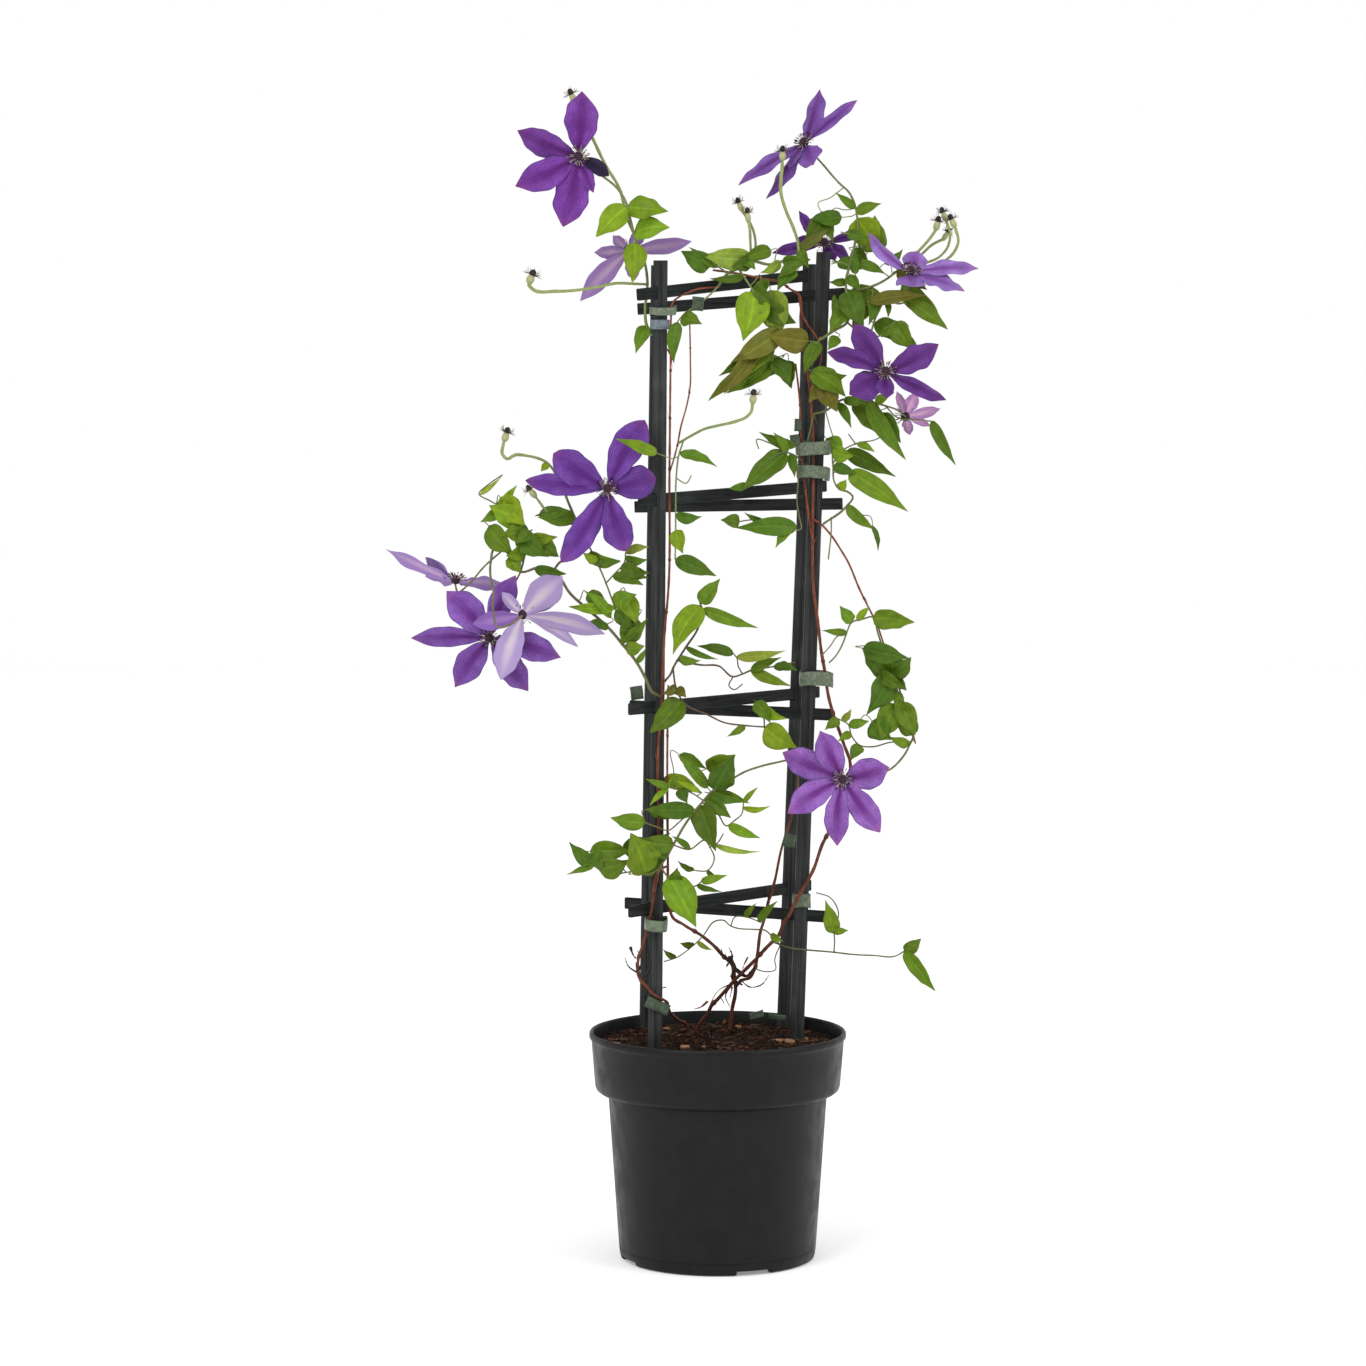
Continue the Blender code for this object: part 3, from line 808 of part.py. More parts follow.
def lofted(
    rings: list[list[Vector]], tip: Vector, normal: Vector, thick: float
) -> tuple[list[Vector], list[tuple]]:
    """A blade through its rings that ends in a tip, cut alike on both faces."""
    count = len(rings[0])
    half = count // 2
    points = [point for ring in rings for point in ring]
    faces = [(0, step + 1, step) for step in range(count - 2, 0, -1)]
    for low in range(0, count * (len(rings) - 1), count):
        high = low + count
        for step in range(count):
            after = (step + 1) % count
            if half <= step < count - 1:
                faces.append((low + step, low + after, high + step))
                faces.append((low + after, high + after, high + step))
            else:
                faces.append((low + step, low + after, high + after))
                faces.append((low + step, high + after, high + step))
    low = len(points) - count
    above = len(points)
    below = above + 1
    points += [tip + normal * thick / 2, tip - normal * thick / 2]
    faces += [(low + step, low + step + 1, above) for step in range(half - 1)]
    faces += [(low + step, low + step + 1, below) for step in range(half, count - 1)]
    faces += [(low + half - 1, low + half, below), (low + half - 1, below, above)]
    faces += [(low + count - 1, low, above), (low + count - 1, above, below)]
    return points, faces


def shown_share(side: Vector) -> float:
    """How much of a length along this direction shows from the front."""
    return max(LEAST_SHOWN, math.hypot(side.x, side.z))


def petiole_ring(point: Vector, way: Vector, side: Vector, normal: Vector, spine: bool) -> list[Vector]:
    """A small ring square to the petiole, turned like the blade that it leads to."""
    way = way.normalized()
    across = side - way * side.dot(way)
    rise = normal - way * normal.dot(way)
    if across.length > rise.length:
        across.normalize()
        rise = across.cross(way)
    else:
        rise.normalize()
        across = way.cross(rise)
    return blade_ring(point, across, rise, PETIOLE_HALF, PETIOLE_THICKNESS, (0.0, 0.0), spine)


def leaf(row: tuple, stalks: list[list[Vector]], draw: random.Random) -> tuple[list[Vector], list[tuple]]:
    """A folded, wavy leaf that sits on the nearest stalk or on a petiole of its own from there."""
    base = seen(*row[0:3])
    tip = seen(*row[3:6])
    width, age = row[6:8]
    start, distance = nearest(base, stalks)
    if distance < SHORT_PETIOLE:
        base = start
    along = (tip - base).normalized()
    length = (tip - base).length
    roll = draw.uniform(-MOST_ROLL, MOST_ROLL)
    side = Matrix.Rotation(roll, 3, along) @ along.cross(Vector((0.0, -1.0, 0.0)))
    side.normalize()
    normal = side.cross(along)
    half = width / 2 / shown_share(side)
    arch = length * draw.uniform(*LEAF_ARCH)
    spine = width >= LARGE_LEAF
    if distance < SHORT_PETIOLE:
        rings = [petiole_ring(start, along, side, normal, spine)]
    else:
        way = (base - start).normalized()
        rings = [petiole_ring(start, way, side, normal, spine)]
        rings.append(petiole_ring(base, way + along, side, normal, spine))
    for share, breadth in (STATIONS_LARGE if length >= LONG_LEAF else STATIONS_SMALL):
        fold = FOLD[age] * half * breadth if spine else 0.0
        wave = WAVE[age] * half
        lift = (fold + draw.uniform(-wave, wave), fold + draw.uniform(-wave, wave))
        middle = base.lerp(tip, share) + normal * arch * math.sin(math.pi * share)
        rings.append(blade_ring(middle, side, normal, half * breadth, LEAF_THICKNESS, lift, spine))
    return lofted(rings, tip, normal, LEAF_THICKNESS)


def tepal(
    centre: Vector, facing: Vector, row: tuple, lift: float, draw: random.Random
) -> tuple[list[Vector], list[tuple]]:
    """One pointed tepal with waved edges, from the middle of the bloom to its tip."""
    tip = seen(*row[0:3])
    along = (tip - centre).normalized()
    side = facing.cross(along).normalized()
    normal = along.cross(side)
    half = row[3] / 2 / shown_share(side)
    root = centre + along * TEPAL_ROOT + normal * lift
    rings = [blade_ring(root, side, normal, TEPAL_CLAW, TEPAL_THICKNESS, (0.0, 0.0), True)]
    arch = TEPAL_ARCH * (1.0 - TEPAL_CUP * max(0.0, along.dot(facing)))
    for share, breadth in STATIONS_TEPAL:
        middle = root.lerp(tip, share) + normal * arch * math.sin(math.pi * share)
        edge = TEPAL_WAVE * half * breadth
        waves = (draw.uniform(-edge, edge), draw.uniform(-edge, edge))
        rings.append(blade_ring(middle, side, normal, half * breadth, TEPAL_THICKNESS, waves, True))
    return lofted(rings, tip, normal, TEPAL_THICKNESS)


def disc(
    centre: Vector, axis: Vector, radius: float, low: float, high: float, sides: int
) -> tuple[list[Vector], list[tuple]]:
    """A short prism about the axis."""
    return tube([centre + axis * low, centre + axis * high], radius, radius, sides)


def crown(
    foot: Vector, axis: Vector, reach: float, height: float, spikes: int
) -> tuple[list[Vector], list[tuple]]:
    """A small dome with spikes standing out round it, like stamens or the whiskers of a seed head."""
    side = axis.orthogonal().normalized()
    up = axis.cross(side)
    count = spikes * 2
    rows = (
        (CROWN_NECK, CROWN_NECK, 0.0, 0.0),
        (reach, CROWN_VALLEY, 0.75 * height, 0.3 * height),
        (CROWN_NECK, CROWN_NECK, 0.8 * height, 0.8 * height),
    )
    points = []
    for spike, valley, high, low in rows:
        for step in range(count):
            angle = math.tau * step / count
            radius, level = (valley, low) if step % 2 else (spike, high)
            spoke = side * math.cos(angle) + up * math.sin(angle)
            points.append(foot + spoke * radius + axis * level)
    points.append(foot + axis * height)
    faces = [tuple(reversed(range(count)))]
    for low in (0, count):
        for step in range(count):
            after = (step + 1) % count
            if step % 2:
                faces.append((low + step, low + after, low + count + step))
                faces.append((low + after, low + count + after, low + count + step))
            else:
                faces.append((low + step, low + after, low + count + after))
                faces.append((low + step, low + count + after, low + count + step))
    top = 2 * count
    faces += [(top + step, top + (step + 1) % count, 3 * count) for step in range(count)]
    return points, faces


def turned(profile: tuple, segments: int) -> tuple[list[Vector], list[tuple]]:
    """A solid of revolution whose profile starts and ends on the axis."""
    points = [Vector((0.0, 0.0, profile[0][1]))]
    for radius, height in profile[1:-1]:
        for step in range(segments):
            angle = math.tau * step / segments
            points.append(Vector((radius * math.cos(angle), radius * math.sin(angle), height)))
    points.append(Vector((0.0, 0.0, profile[-1][1])))
    faces = [(0, 1 + step, 1 + (step + 1) % segments) for step in range(segments)]
    rows = len(profile) - 2
    for row in range(rows - 1):
        low = 1 + row * segments
        for step in range(segments):
            after = (step + 1) % segments
            faces.append((low + step, low + segments + step, low + segments + after, low + after))
    low = 1 + (rows - 1) * segments
    faces += [(low + (step + 1) % segments, low + step, len(points) - 1) for step in range(segments)]
    return points, faces


def block(centre: Vector, half: Vector, turn: Matrix) -> tuple[list[Vector], list[tuple]]:
    """A box about a centre."""
    corners = [Vector((x, y, z)) for z in (-1, 1) for x, y in ((-1, -1), (1, -1), (1, 1), (-1, 1))]
    points = [centre + turn @ Vector((c.x * half.x, c.y * half.y, c.z * half.z)) for c in corners]
    faces = [(3, 2, 1, 0), (4, 5, 6, 7), (0, 1, 5, 4), (1, 2, 6, 5), (2, 3, 7, 6), (3, 0, 4, 7)]
    return points, faces


def make_pot() -> bpy.types.Object:
    """The nursery pot with its stepped collar, rim bead, notched foot ring and drain holes."""
    pot = mesh_of("pot", *turned(POT_PROFILE, POT_SEGMENTS))
    tools = []
    for angle in NOTCH_ANGLES:
        turn = Matrix.Rotation(math.radians(angle), 3, "Z")
        half = Vector((NOTCH_SIZE[1] / 2, NOTCH_SIZE[0] / 2, NOTCH_SIZE[2]))
        tools.append(mesh_of("notch", *block(turn @ Vector((NOTCH_RADIUS, 0.0, 0.0)), half, turn)))
        spot = Matrix.Rotation(math.radians(angle + 45.0), 3, "Z") @ Vector((DRAIN_REACH, 0.0, 0.0))
        tools.append(mesh_of("drain", *disc(spot, Vector((0.0, 0.0, 1.0)), DRAIN_RADIUS, *DRAIN_SPAN, 8)))
    boolean(pot, tools, "DIFFERENCE")
    cleaned(pot)
    return painted(pot, (0.012, 0.012, 0.013), 0.42)


def post_at(name: str, height: float) -> Vector:
    """The middle of a post at this height."""
    points = [Vector((across, depth, up)) for across, up, depth in POSTS[name]]
    for low, high in zip(points, points[1:]):
        if height <= high.z or high is points[-1]:
            return low.lerp(high, (height - low.z) / (high.z - low.z))
    return points[-1]


def post_shape(name: str, grow: float) -> tuple[list[Vector], list[tuple]]:
    """The grooved post, or the plain block that cuts its socket when it grows by a gap."""
    profile = POST_PROFILE if not grow else tuple(p for p in POST_PROFILE if abs(p[0]) > POST_GROOVE)
    levels = [Vector((across, depth, up)) for across, up, depth in POSTS[name]]
    if grow:
        levels = [levels[0] - Vector((0.0, 0.0, grow)), post_at(name, SOCKET_TOP)]
    count = len(profile)
    points = []
    for level in levels:
        for x, y in profile:
            points.append(level + Vector((x + math.copysign(grow, x), y + math.copysign(grow, y), 0.0)))
    faces = [tuple(reversed(range(count))), tuple(range(count * (len(levels) - 1), count * len(levels)))]
    for low in range(0, count * (len(levels) - 1), count):
        for step in range(count):
            after = (step + 1) % count
            faces.append((low + step, low + after, low + count + after, low + count + step))
    return points, faces


def rung_frame(row: tuple) -> tuple[Vector, Vector, Matrix]:
    """The ends of a rung's centre line and the turn that lays a box along it."""
    _, ladder, left_height, right_height, left_reach, right_reach = row
    left = post_at(ladder[0], left_height)
    right = post_at(ladder[1], right_height)
    left.z = left_height
    right.z = right_height
    along = (right - left).normalized()
    across = Vector((0.0, 0.0, 1.0)).cross(along).normalized()
    turn = Matrix((along, across, along.cross(across))).transposed()
    return left - along * left_reach, right + along * right_reach, turn


def make_trellis() -> None:
    """The four posts, slotted for the rungs, and the eight rungs of the two ladders."""
    slots = {name: [] for name in POSTS}
    for row in RUNGS:
        left, right, turn = rung_frame(row)
        middle = (left + right) / 2
        half = Vector(((right - left).length / 2, RUNG_THICKNESS / 2, RUNG_HEIGHT / 2))
        flat = half.y - RUNG_EDGE
        low = half.z - RUNG_EDGE
        section = ((-flat, -half.z), (flat, -half.z), (half.y, -low), (half.y, low))
        section += ((flat, half.z), (-flat, half.z), (-half.y, low), (-half.y, -low))
        points = [middle + turn @ Vector((x, y, z)) for x in (-half.x, half.x) for y, z in section]
        faces = [tuple(reversed(range(8))), tuple(range(8, 16))]
        faces += [(step, (step + 1) % 8, 8 + (step + 1) % 8, 8 + step) for step in range(8)]
        painted(mesh_of(row[0], points, faces), (0.035, 0.038, 0.04), 0.55)
        for post in row[1]:
            grown = half + Vector((0.0, GAP, GAP))
            slots[post].append((middle, grown, turn))
    for name in POSTS:
        post = mesh_of(name, *post_shape(name, 0.0))
        boolean(post, [mesh_of("slot", *block(*slot)) for slot in slots[name]], "DIFFERENCE")
        cleaned(post)
        painted(post, (0.035, 0.038, 0.04), 0.55)


def soil_level(radius: float) -> float:
    """Height of the compost, which is a little mounded in the middle."""
    return SOIL_LEVEL + SOIL_CROWN * (1.0 - radius / SOIL_RINGS[-1])


def make_soil() -> bpy.types.Object:
    """The lumpy compost with bark chips on it, and holes for the posts and the stems."""
    draw = random.Random(SEED)
    points = [Vector((0.0, 0.0, soil_level(0.0)))]
    faces = []
    for radius in SOIL_RINGS:
        for step in range(SOIL_SECTORS):
            angle = math.tau * (step + draw.uniform(-0.2, 0.2)) / SOIL_SECTORS
            level = soil_level(radius) + draw.uniform(-SOIL_LUMP, SOIL_LUMP)
            points.append(Vector((radius * math.cos(angle), radius * math.sin(angle), level)))
    for radius, level in SOIL_WALL:
        for step in range(SOIL_SECTORS):
            angle = math.tau * step / SOIL_SECTORS
            reach = radius - GAP
            points.append(Vector((reach * math.cos(angle), reach * math.sin(angle), level)))
    points.append(Vector((0.0, 0.0, SOIL_WALL[-1][1])))
    rows = len(SOIL_RINGS) + len(SOIL_WALL)
    faces += [(0, 1 + step, 1 + (step + 1) % SOIL_SECTORS) for step in range(SOIL_SECTORS)]
    for row in range(rows - 1):
        low = 1 + row * SOIL_SECTORS
        for step in range(SOIL_SECTORS):
            after = (step + 1) % SOIL_SECTORS
            faces.append((low + step, low + SOIL_SECTORS + step, low + SOIL_SECTORS + after))
            faces.append((low + step, low + SOIL_SECTORS + after, low + after))
    low = 1 + (rows - 1) * SOIL_SECTORS
    faces += [(low + (step + 1) % SOIL_SECTORS, low + step, len(points) - 1) for step in range(SOIL_SECTORS)]
    soil = mesh_of("soil", points, faces)
    chips = []
    for x, y, long, wide, angle in BARK_CHIPS:
        level = soil_level(math.hypot(x, y))
        turn = Matrix.Rotation(math.radians(angle), 3, "Z") @ Matrix.Rotation(draw.uniform(-0.3, 0.3), 3, "Y")
        half = Vector((long / 2, wide / 2, CHIP_HEIGHT / 2))
        chips.append(mesh_of("chip", *block(Vector((x, y, level)), half, turn)))
    boolean(soil, chips, "UNION")
    holes = [mesh_of("socket", *post_shape(name, GAP)) for name in POSTS]
    for routes in WOODY.values():
        start, _, points = routes[0]
        line = route(points[:3])
        line[0].z -= GAP
        holes.append(mesh_of("hole", *tube(line, start + 2 * GAP, start + 2 * GAP, 8)))
    boolean(soil, holes, "DIFFERENCE")
    cleaned(soil)
    return painted(soil, (0.045, 0.025, 0.016), 0.95)


def make_bands() -> None:
    """The tape and the clip that tie the stems to the posts."""
    for name, (centre, half, turns) in BANDS.items():
        angles = [math.radians(angle) for angle in turns]
        turn = Euler(angles).to_matrix()
        corners = ((1, -1, 0, 1), (1, -1, 1, 0), (1, 1, 1, 0), (1, 1, 0, 1))
        corners += ((-1, 1, 0, 1), (-1, 1, 1, 0), (-1, -1, 1, 0), (-1, -1, 0, 1))
        points = []
        for grow, level in ((0.0, -1), (BAND_THICKNESS, -1), (BAND_THICKNESS, 1), (0.0, 1)):
            for x, y, keep_x, keep_y in corners:
                reach_x = half[0] + grow - (0 if keep_x else BAND_CORNER)
                reach_y = half[1] + grow - (0 if keep_y else BAND_CORNER)
                points.append(Vector(centre) + turn @ Vector((x * reach_x, y * reach_y, level * half[2])))
        faces = []
        for loop in range(4):
            for step in range(8):
                after = (step + 1) % 8
                far = (loop + 1) % 4 * 8
                faces.append((loop * 8 + step, loop * 8 + after, far + after, far + step))
        colour = (0.16, 0.22, 0.27) if "clip" in name else (0.13, 0.19, 0.15)
        painted(mesh_of(name, points, faces), colour, 0.5)


def make_woody() -> None:
    """The three brown stems, each fused with its side branches."""
    for name, routes in WOODY.items():
        lines = []
        pieces = []
        for start, end, points in routes:
            line = route(points)
            if lines:
                line[0] = nearest(line[0], lines)[0]
            lines.append(line)
            pieces.append(tube(line, start, end, 4))
        painted(fused(name, pieces, 1.0), (0.2, 0.07, 0.035), 0.6)


def back_of(bloom: str) -> Vector:
    """Where a flower stalk ends, just behind the bloom's middle."""
    centre, facing, _ = BLOOMS[bloom]
    return seen(*centre) + Vector(facing).normalized() * (HUB_BACK - STALK_CLEARANCE)


def beside_wood(stem: str, point: Vector, radius: float) -> Vector:
    """Where a stalk of this radius stands a gap away from the woody stem nearest to the point."""
    best, least = point, math.inf
    for start, end, points in WOODY[stem]:
        line = route(points)
        for index, (low, high) in enumerate(zip(line, line[1:])):
            spot, distance = nearest(point, [[low, high]])
            if distance < least:
                wood = start + (end - start) * (index + 0.5) / (len(line) - 1)
                best = spot + (point - spot).normalized() * (wood + radius + GAP)
                least = distance
    return best


def make_shoot(name: str) -> None:
    """One leafy shoot: its stalks, tendrils, leaves and seed heads, fused."""
    draw = random.Random(f"{name} {SEED}")
    lines = []
    pieces = []
    for start, end, points, *bloom in STALKS[name]:
        line = route(points)
        line[0] = nearest(line[0], lines)[0] if lines else beside_wood(ROOTS[name], line[0], start)
        if bloom:
            line.append(back_of(bloom[0]))
        lines.append(line)
        pieces.append(tube(line, start, end, 4))
    for *knob, reach in SEED_HEADS.get(name, ()):
        centre = seen(*knob)
        foot = min((line[-1] for line in lines), key=lambda end: (end - centre).length)
        axis = (centre - foot).normalized()
        height = (centre - foot).length + HEAD_TOP
        pieces.append(crown(foot - axis * HEAD_SINK, axis, reach, height, HEAD_SPIKES))
    for row in LEAVES[name]:
        pieces.append(leaf(row, lines, draw))
    painted(fused(name, pieces, SHOOT_FACETS[name]), SHOOT_TINT[name], 0.5)


def make_bloom(name: str) -> None:
    """One bloom: its tepals fused on a hub, and its boss of stamens just in front."""
    draw = random.Random(f"{name} {SEED}")
    centre_row, facing_row, tepals = BLOOMS[name]
    centre = seen(*centre_row)
    facing = Vector(facing_row).normalized()
    pieces = [disc(centre, facing, HUB_RADIUS, HUB_BACK, HUB_TOP, 10)]
    for index, row in enumerate(tepals):
        pieces.append(tepal(centre, facing, row, TEPAL_LAYERS[index % 2], draw))
    painted(fused(f"{name}_tepals", pieces, BLOOM_FACETS), (0.2, 0.075, 0.45), 0.55)
    points, faces = crown(centre + facing * CROWN_BASE, facing, CROWN_REACH, CROWN_HEIGHT, CROWN_SPIKES)
    painted(mesh_of(f"{name}_stamens", points, faces), (0.05, 0.012, 0.05), 0.6)


def main() -> None:
    """Builds every node of the potted plant."""
    for thing in list(bpy.data.objects):
        bpy.data.objects.remove(thing)
    make_pot()
    make_soil()
    make_trellis()
    make_bands()
    make_woody()
    for name in STALKS:
        make_shoot(name)
    for name in BLOOMS:
        make_bloom(name)


main()
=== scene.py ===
"""Looks of a clematis in flower on a cane trellis in a nursery pot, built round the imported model.

The pot, the compost, the ties, the woody stems, every leafy shoot and every bloom get finer pieces
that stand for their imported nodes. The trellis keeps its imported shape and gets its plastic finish.

Lengths in the tables are centimetres and the built meshes are metres, with Z up. Plant points are
written as (across, up, depth): across and up are read on the upright plane through the pot's axis
as it is seen from the front, and depth is the distance behind that plane.
"""

from __future__ import annotations

import logging
import math
import random
from dataclasses import dataclass, field
from enum import Enum

import bpy
from mathutils import Euler, Matrix, Vector, noise


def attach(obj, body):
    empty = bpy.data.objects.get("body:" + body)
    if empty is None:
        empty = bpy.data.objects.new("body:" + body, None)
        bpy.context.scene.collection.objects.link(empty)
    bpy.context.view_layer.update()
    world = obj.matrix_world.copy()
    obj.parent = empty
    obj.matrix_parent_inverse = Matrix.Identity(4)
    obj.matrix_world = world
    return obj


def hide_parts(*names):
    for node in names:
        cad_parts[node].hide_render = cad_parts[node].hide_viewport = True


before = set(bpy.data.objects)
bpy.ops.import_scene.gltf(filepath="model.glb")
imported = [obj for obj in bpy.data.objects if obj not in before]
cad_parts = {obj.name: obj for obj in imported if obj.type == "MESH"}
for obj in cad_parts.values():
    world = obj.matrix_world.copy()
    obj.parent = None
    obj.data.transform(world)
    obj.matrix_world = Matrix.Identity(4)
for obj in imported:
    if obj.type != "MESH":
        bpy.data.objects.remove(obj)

LOG = logging.getLogger("clematis")

CM = 0.01
EYE = Vector((-3.1, -380.0, 82.4))
SEED = 23

Colour = tuple[float, float, float]

# Bark chips on the compost: place (x, y), length, width and turn in degrees.
BARK_CHIPS = (
    (5.5, -0.5, 1.3, 0.75, 10.0), (6.4, -1.6, 1.0, 0.6, -25.0), (7.9, 0.4, 0.5, 0.3, 10.0),
    (-2.9, -5.0, 0.9, 0.6, 15.0), (-9.1, -1.9, 1.0, 0.4, -15.0), (2.6, -7.9, 0.7, 0.3, 15.0),
    (-1.3, -4.8, 0.6, 0.3, 55.0), (-6.8, -6.1, 0.7, 0.3, -60.0), (8.4, -4.9, 0.6, 0.3, 75.0),
    (1.9, 6.4, 0.8, 0.3, 30.0), (-4.6, 6.9, 0.9, 0.35, -40.0),
)

# Each band is centre (x, y, z), half sizes (x, y, height) and its turns about X, Y and Z.
BANDS = {
    "tie_clip_top_left": ((-5.08, -6.0, 83.45), (0.76, 0.69, 0.42), (0.0, 0.0, 0.0)),
    "tie_tape_top_left": ((-4.85, -6.1, 84.62), (1.12, 0.86, 0.34), (0.0, -4.0, 0.0)),
    "tie_tape_right_upper": ((8.4, -0.38, 72.6), (1.5, 1.15, 0.58), (0.0, 0.0, 0.0)),
    "tie_tape_right_slant": ((8.45, -0.38, 70.45), (1.42, 1.15, 0.55), (0.0, 7.0, 0.0)),
    "tie_tape_right_middle": ((8.75, -0.33, 52.1), (1.45, 1.13, 0.62), (0.0, 3.0, 0.0)),
    "tie_tape_left_low": ((-5.46, -6.5, 31.0), (0.95, 1.25, 0.5), (0.0, 0.0, 0.0)),
    "tie_tape_right_low": ((7.49, 0.0, 32.2), (0.76, 0.69, 0.6), (0.0, 0.0, 0.0)),
}

# Woody stems: (start radius, end radius, points); later routes branch off the first.
WOODY = {
    "stem_right": (
        (0.2, 0.11, (
            (-2.0, 18.2, 4.2), (-2.0, 20.4, 4.0), (-1.5, 21.2, 3.8), (-0.9, 22.0, 3.4),
            (-0.5, 22.8, 3.1), (0.0, 23.3, 2.9), (0.7, 24.1, 2.5), (1.5, 25.0, 2.0),
            (2.5, 26.0, 1.3), (3.5, 27.0, 0.6), (4.3, 27.9, 0.1), (4.8, 28.4, 0.0),
            (5.4, 29.0, -0.2), (5.9, 30.2, -0.6), (6.4, 30.9, -1.2), (7.0, 32.2, -1.3),
            (7.5, 33.1, -1.2), (8.0, 33.9, -1.1), (8.55, 35.0, -1.0), (9.4, 37.4, -1.0),
            (10.1, 38.7, -1.0), (11.2, 41.5, -1.0), (11.8, 44.5, -1.2), (11.2, 46.3, -1.6),
            (10.4, 48.6, -2.1), (10.1, 49.5, -1.8), (9.75, 51.0, -1.1), (9.55, 52.5, -1.0),
            (9.2, 54.5, -0.95), (8.9, 57.0, -0.95), (8.5, 60.0, -0.95), (8.4, 65.0, -0.95),
            (8.45, 71.7, -0.95), (8.4, 74.3, -0.95), (8.2, 76.9, -0.95), (7.8, 80.15, -0.95),
            (7.3, 83.2, -1.0), (7.05, 86.2, -0.95), (6.5, 86.5, -0.3), (5.36, 87.25, 1.5),
            (3.9, 87.5, 2.4), (1.76, 87.95, 0.25), (-0.43, 88.25, -1.95),
        )),
        (0.11, 0.09, (
            (8.4, 64.5, -1.0), (8.05, 66.5, -1.1), (7.7, 69.4, -1.05), (7.4, 72.0, -0.95),
            (7.35, 74.3, -0.9), (7.15, 77.55, -0.9), (6.85, 80.0, -1.0),
        )),
        (0.1, 0.07, (
            (7.05, 86.0, -0.95), (7.4, 84.5, -1.6), (7.96, 83.4, -1.9), (8.9, 82.0, -1.9),
            (9.1, 81.05, -1.8), (8.8, 78.85, -1.6),
        )),
        (0.11, 0.08, (
            (8.45, 66.3, -0.95), (9.05, 65.9, -1.6), (10.15, 64.7, -1.8), (10.9, 63.55, -1.8),
            (11.45, 62.65, -1.8), (12.6, 60.0, -1.7), (13.6, 58.0, -1.5), (14.1, 57.0, -1.4),
            (14.7, 55.3, -1.2), (15.5, 53.0, -1.0), (16.2, 51.0, -1.0), (17.1, 48.3, -1.2),
            (17.6, 46.3, -1.4),
        )),
    ),
    "stem_centre": (
        (0.22, 0.09, (
            (1.1, 18.2, 4.0), (1.1, 20.5, 4.0), (1.3, 22.4, 3.8), (1.6, 24.0, 3.6),
            (1.5, 25.4, 3.4), (1.2, 26.6, 3.0), (0.6, 27.1, 2.4), (-0.2, 28.0, 1.4),
            (-1.25, 28.9, 0.3), (-3.0, 30.0, -2.4), (-4.2, 31.1, -5.4), (-4.42, 33.0, -6.15),
            (-4.45, 36.0, -6.2), (-4.5, 44.9, -6.2), (-4.42, 51.5, -6.2),
        )),
        (0.18, 0.09, (
            (1.6, 24.4, 3.6), (2.1, 25.0, 3.5), (2.8, 25.2, 3.4), (3.3, 26.0, 3.2),
            (3.55, 27.3, 3.1), (3.8, 29.3, 3.3), (4.2, 30.6, 4.6), (4.5, 32.0, 4.9),
            (5.1, 34.0, 3.6), (5.6, 36.5, 2.6), (6.9, 41.0, 1.5), (7.4, 46.0, 1.3),
            (7.8, 51.0, 1.2),
        )),
    ),
    "stem_left": (
        (0.17, 0.09, (
            (-2.8, 18.2, 4.5), (-2.8, 20.8, 4.5), (-3.5, 21.4, 2.0), (-4.3, 22.2, -2.5),
            (-4.5, 22.8, -5.0), (-4.62, 23.1, -6.4), (-5.1, 23.4, -7.0), (-5.8, 23.8, -7.05),
            (-6.4, 24.5, -7.0), (-7.0, 25.2, -6.9), (-7.1, 26.9, -6.9), (-6.7, 28.2, -7.0),
            (-6.3, 29.6, -7.1), (-5.9, 31.4, -7.3), (-5.7, 33.0, -7.3), (-5.4, 35.0, -7.0),
            (-5.3, 37.0, -6.9), (-5.3, 46.0, -6.9), (-5.0, 50.0, -6.95), (-4.75, 56.0, -6.9),
            (-4.4, 60.0, -6.5), (-4.3, 70.1, -6.3), (-4.2, 80.0, -6.3), (-4.15, 84.2, -6.3),
            (-4.1, 85.2, -6.2), (-3.35, 85.95, -5.0), (-2.1, 86.5, -3.75), (0.13, 86.8, -1.4),
        )),
        (0.09, 0.07, (
            (-4.3, 70.4, -6.3), (-4.0, 71.3, -6.2), (-3.6, 72.8, -6.1), (-3.3, 74.4, -6.0),
            (-2.8, 76.2, -6.0), (-2.5, 77.7, -6.0), (-2.45, 80.5, -6.0), (-2.5, 83.5, -5.9),
        )),
        (0.09, 0.07, (
            (-4.25, 79.6, -6.3), (-4.15, 80.6, -5.5), (-4.5, 81.3, -4.9), (-5.7, 82.4, -4.9),
        )),
    ),
}

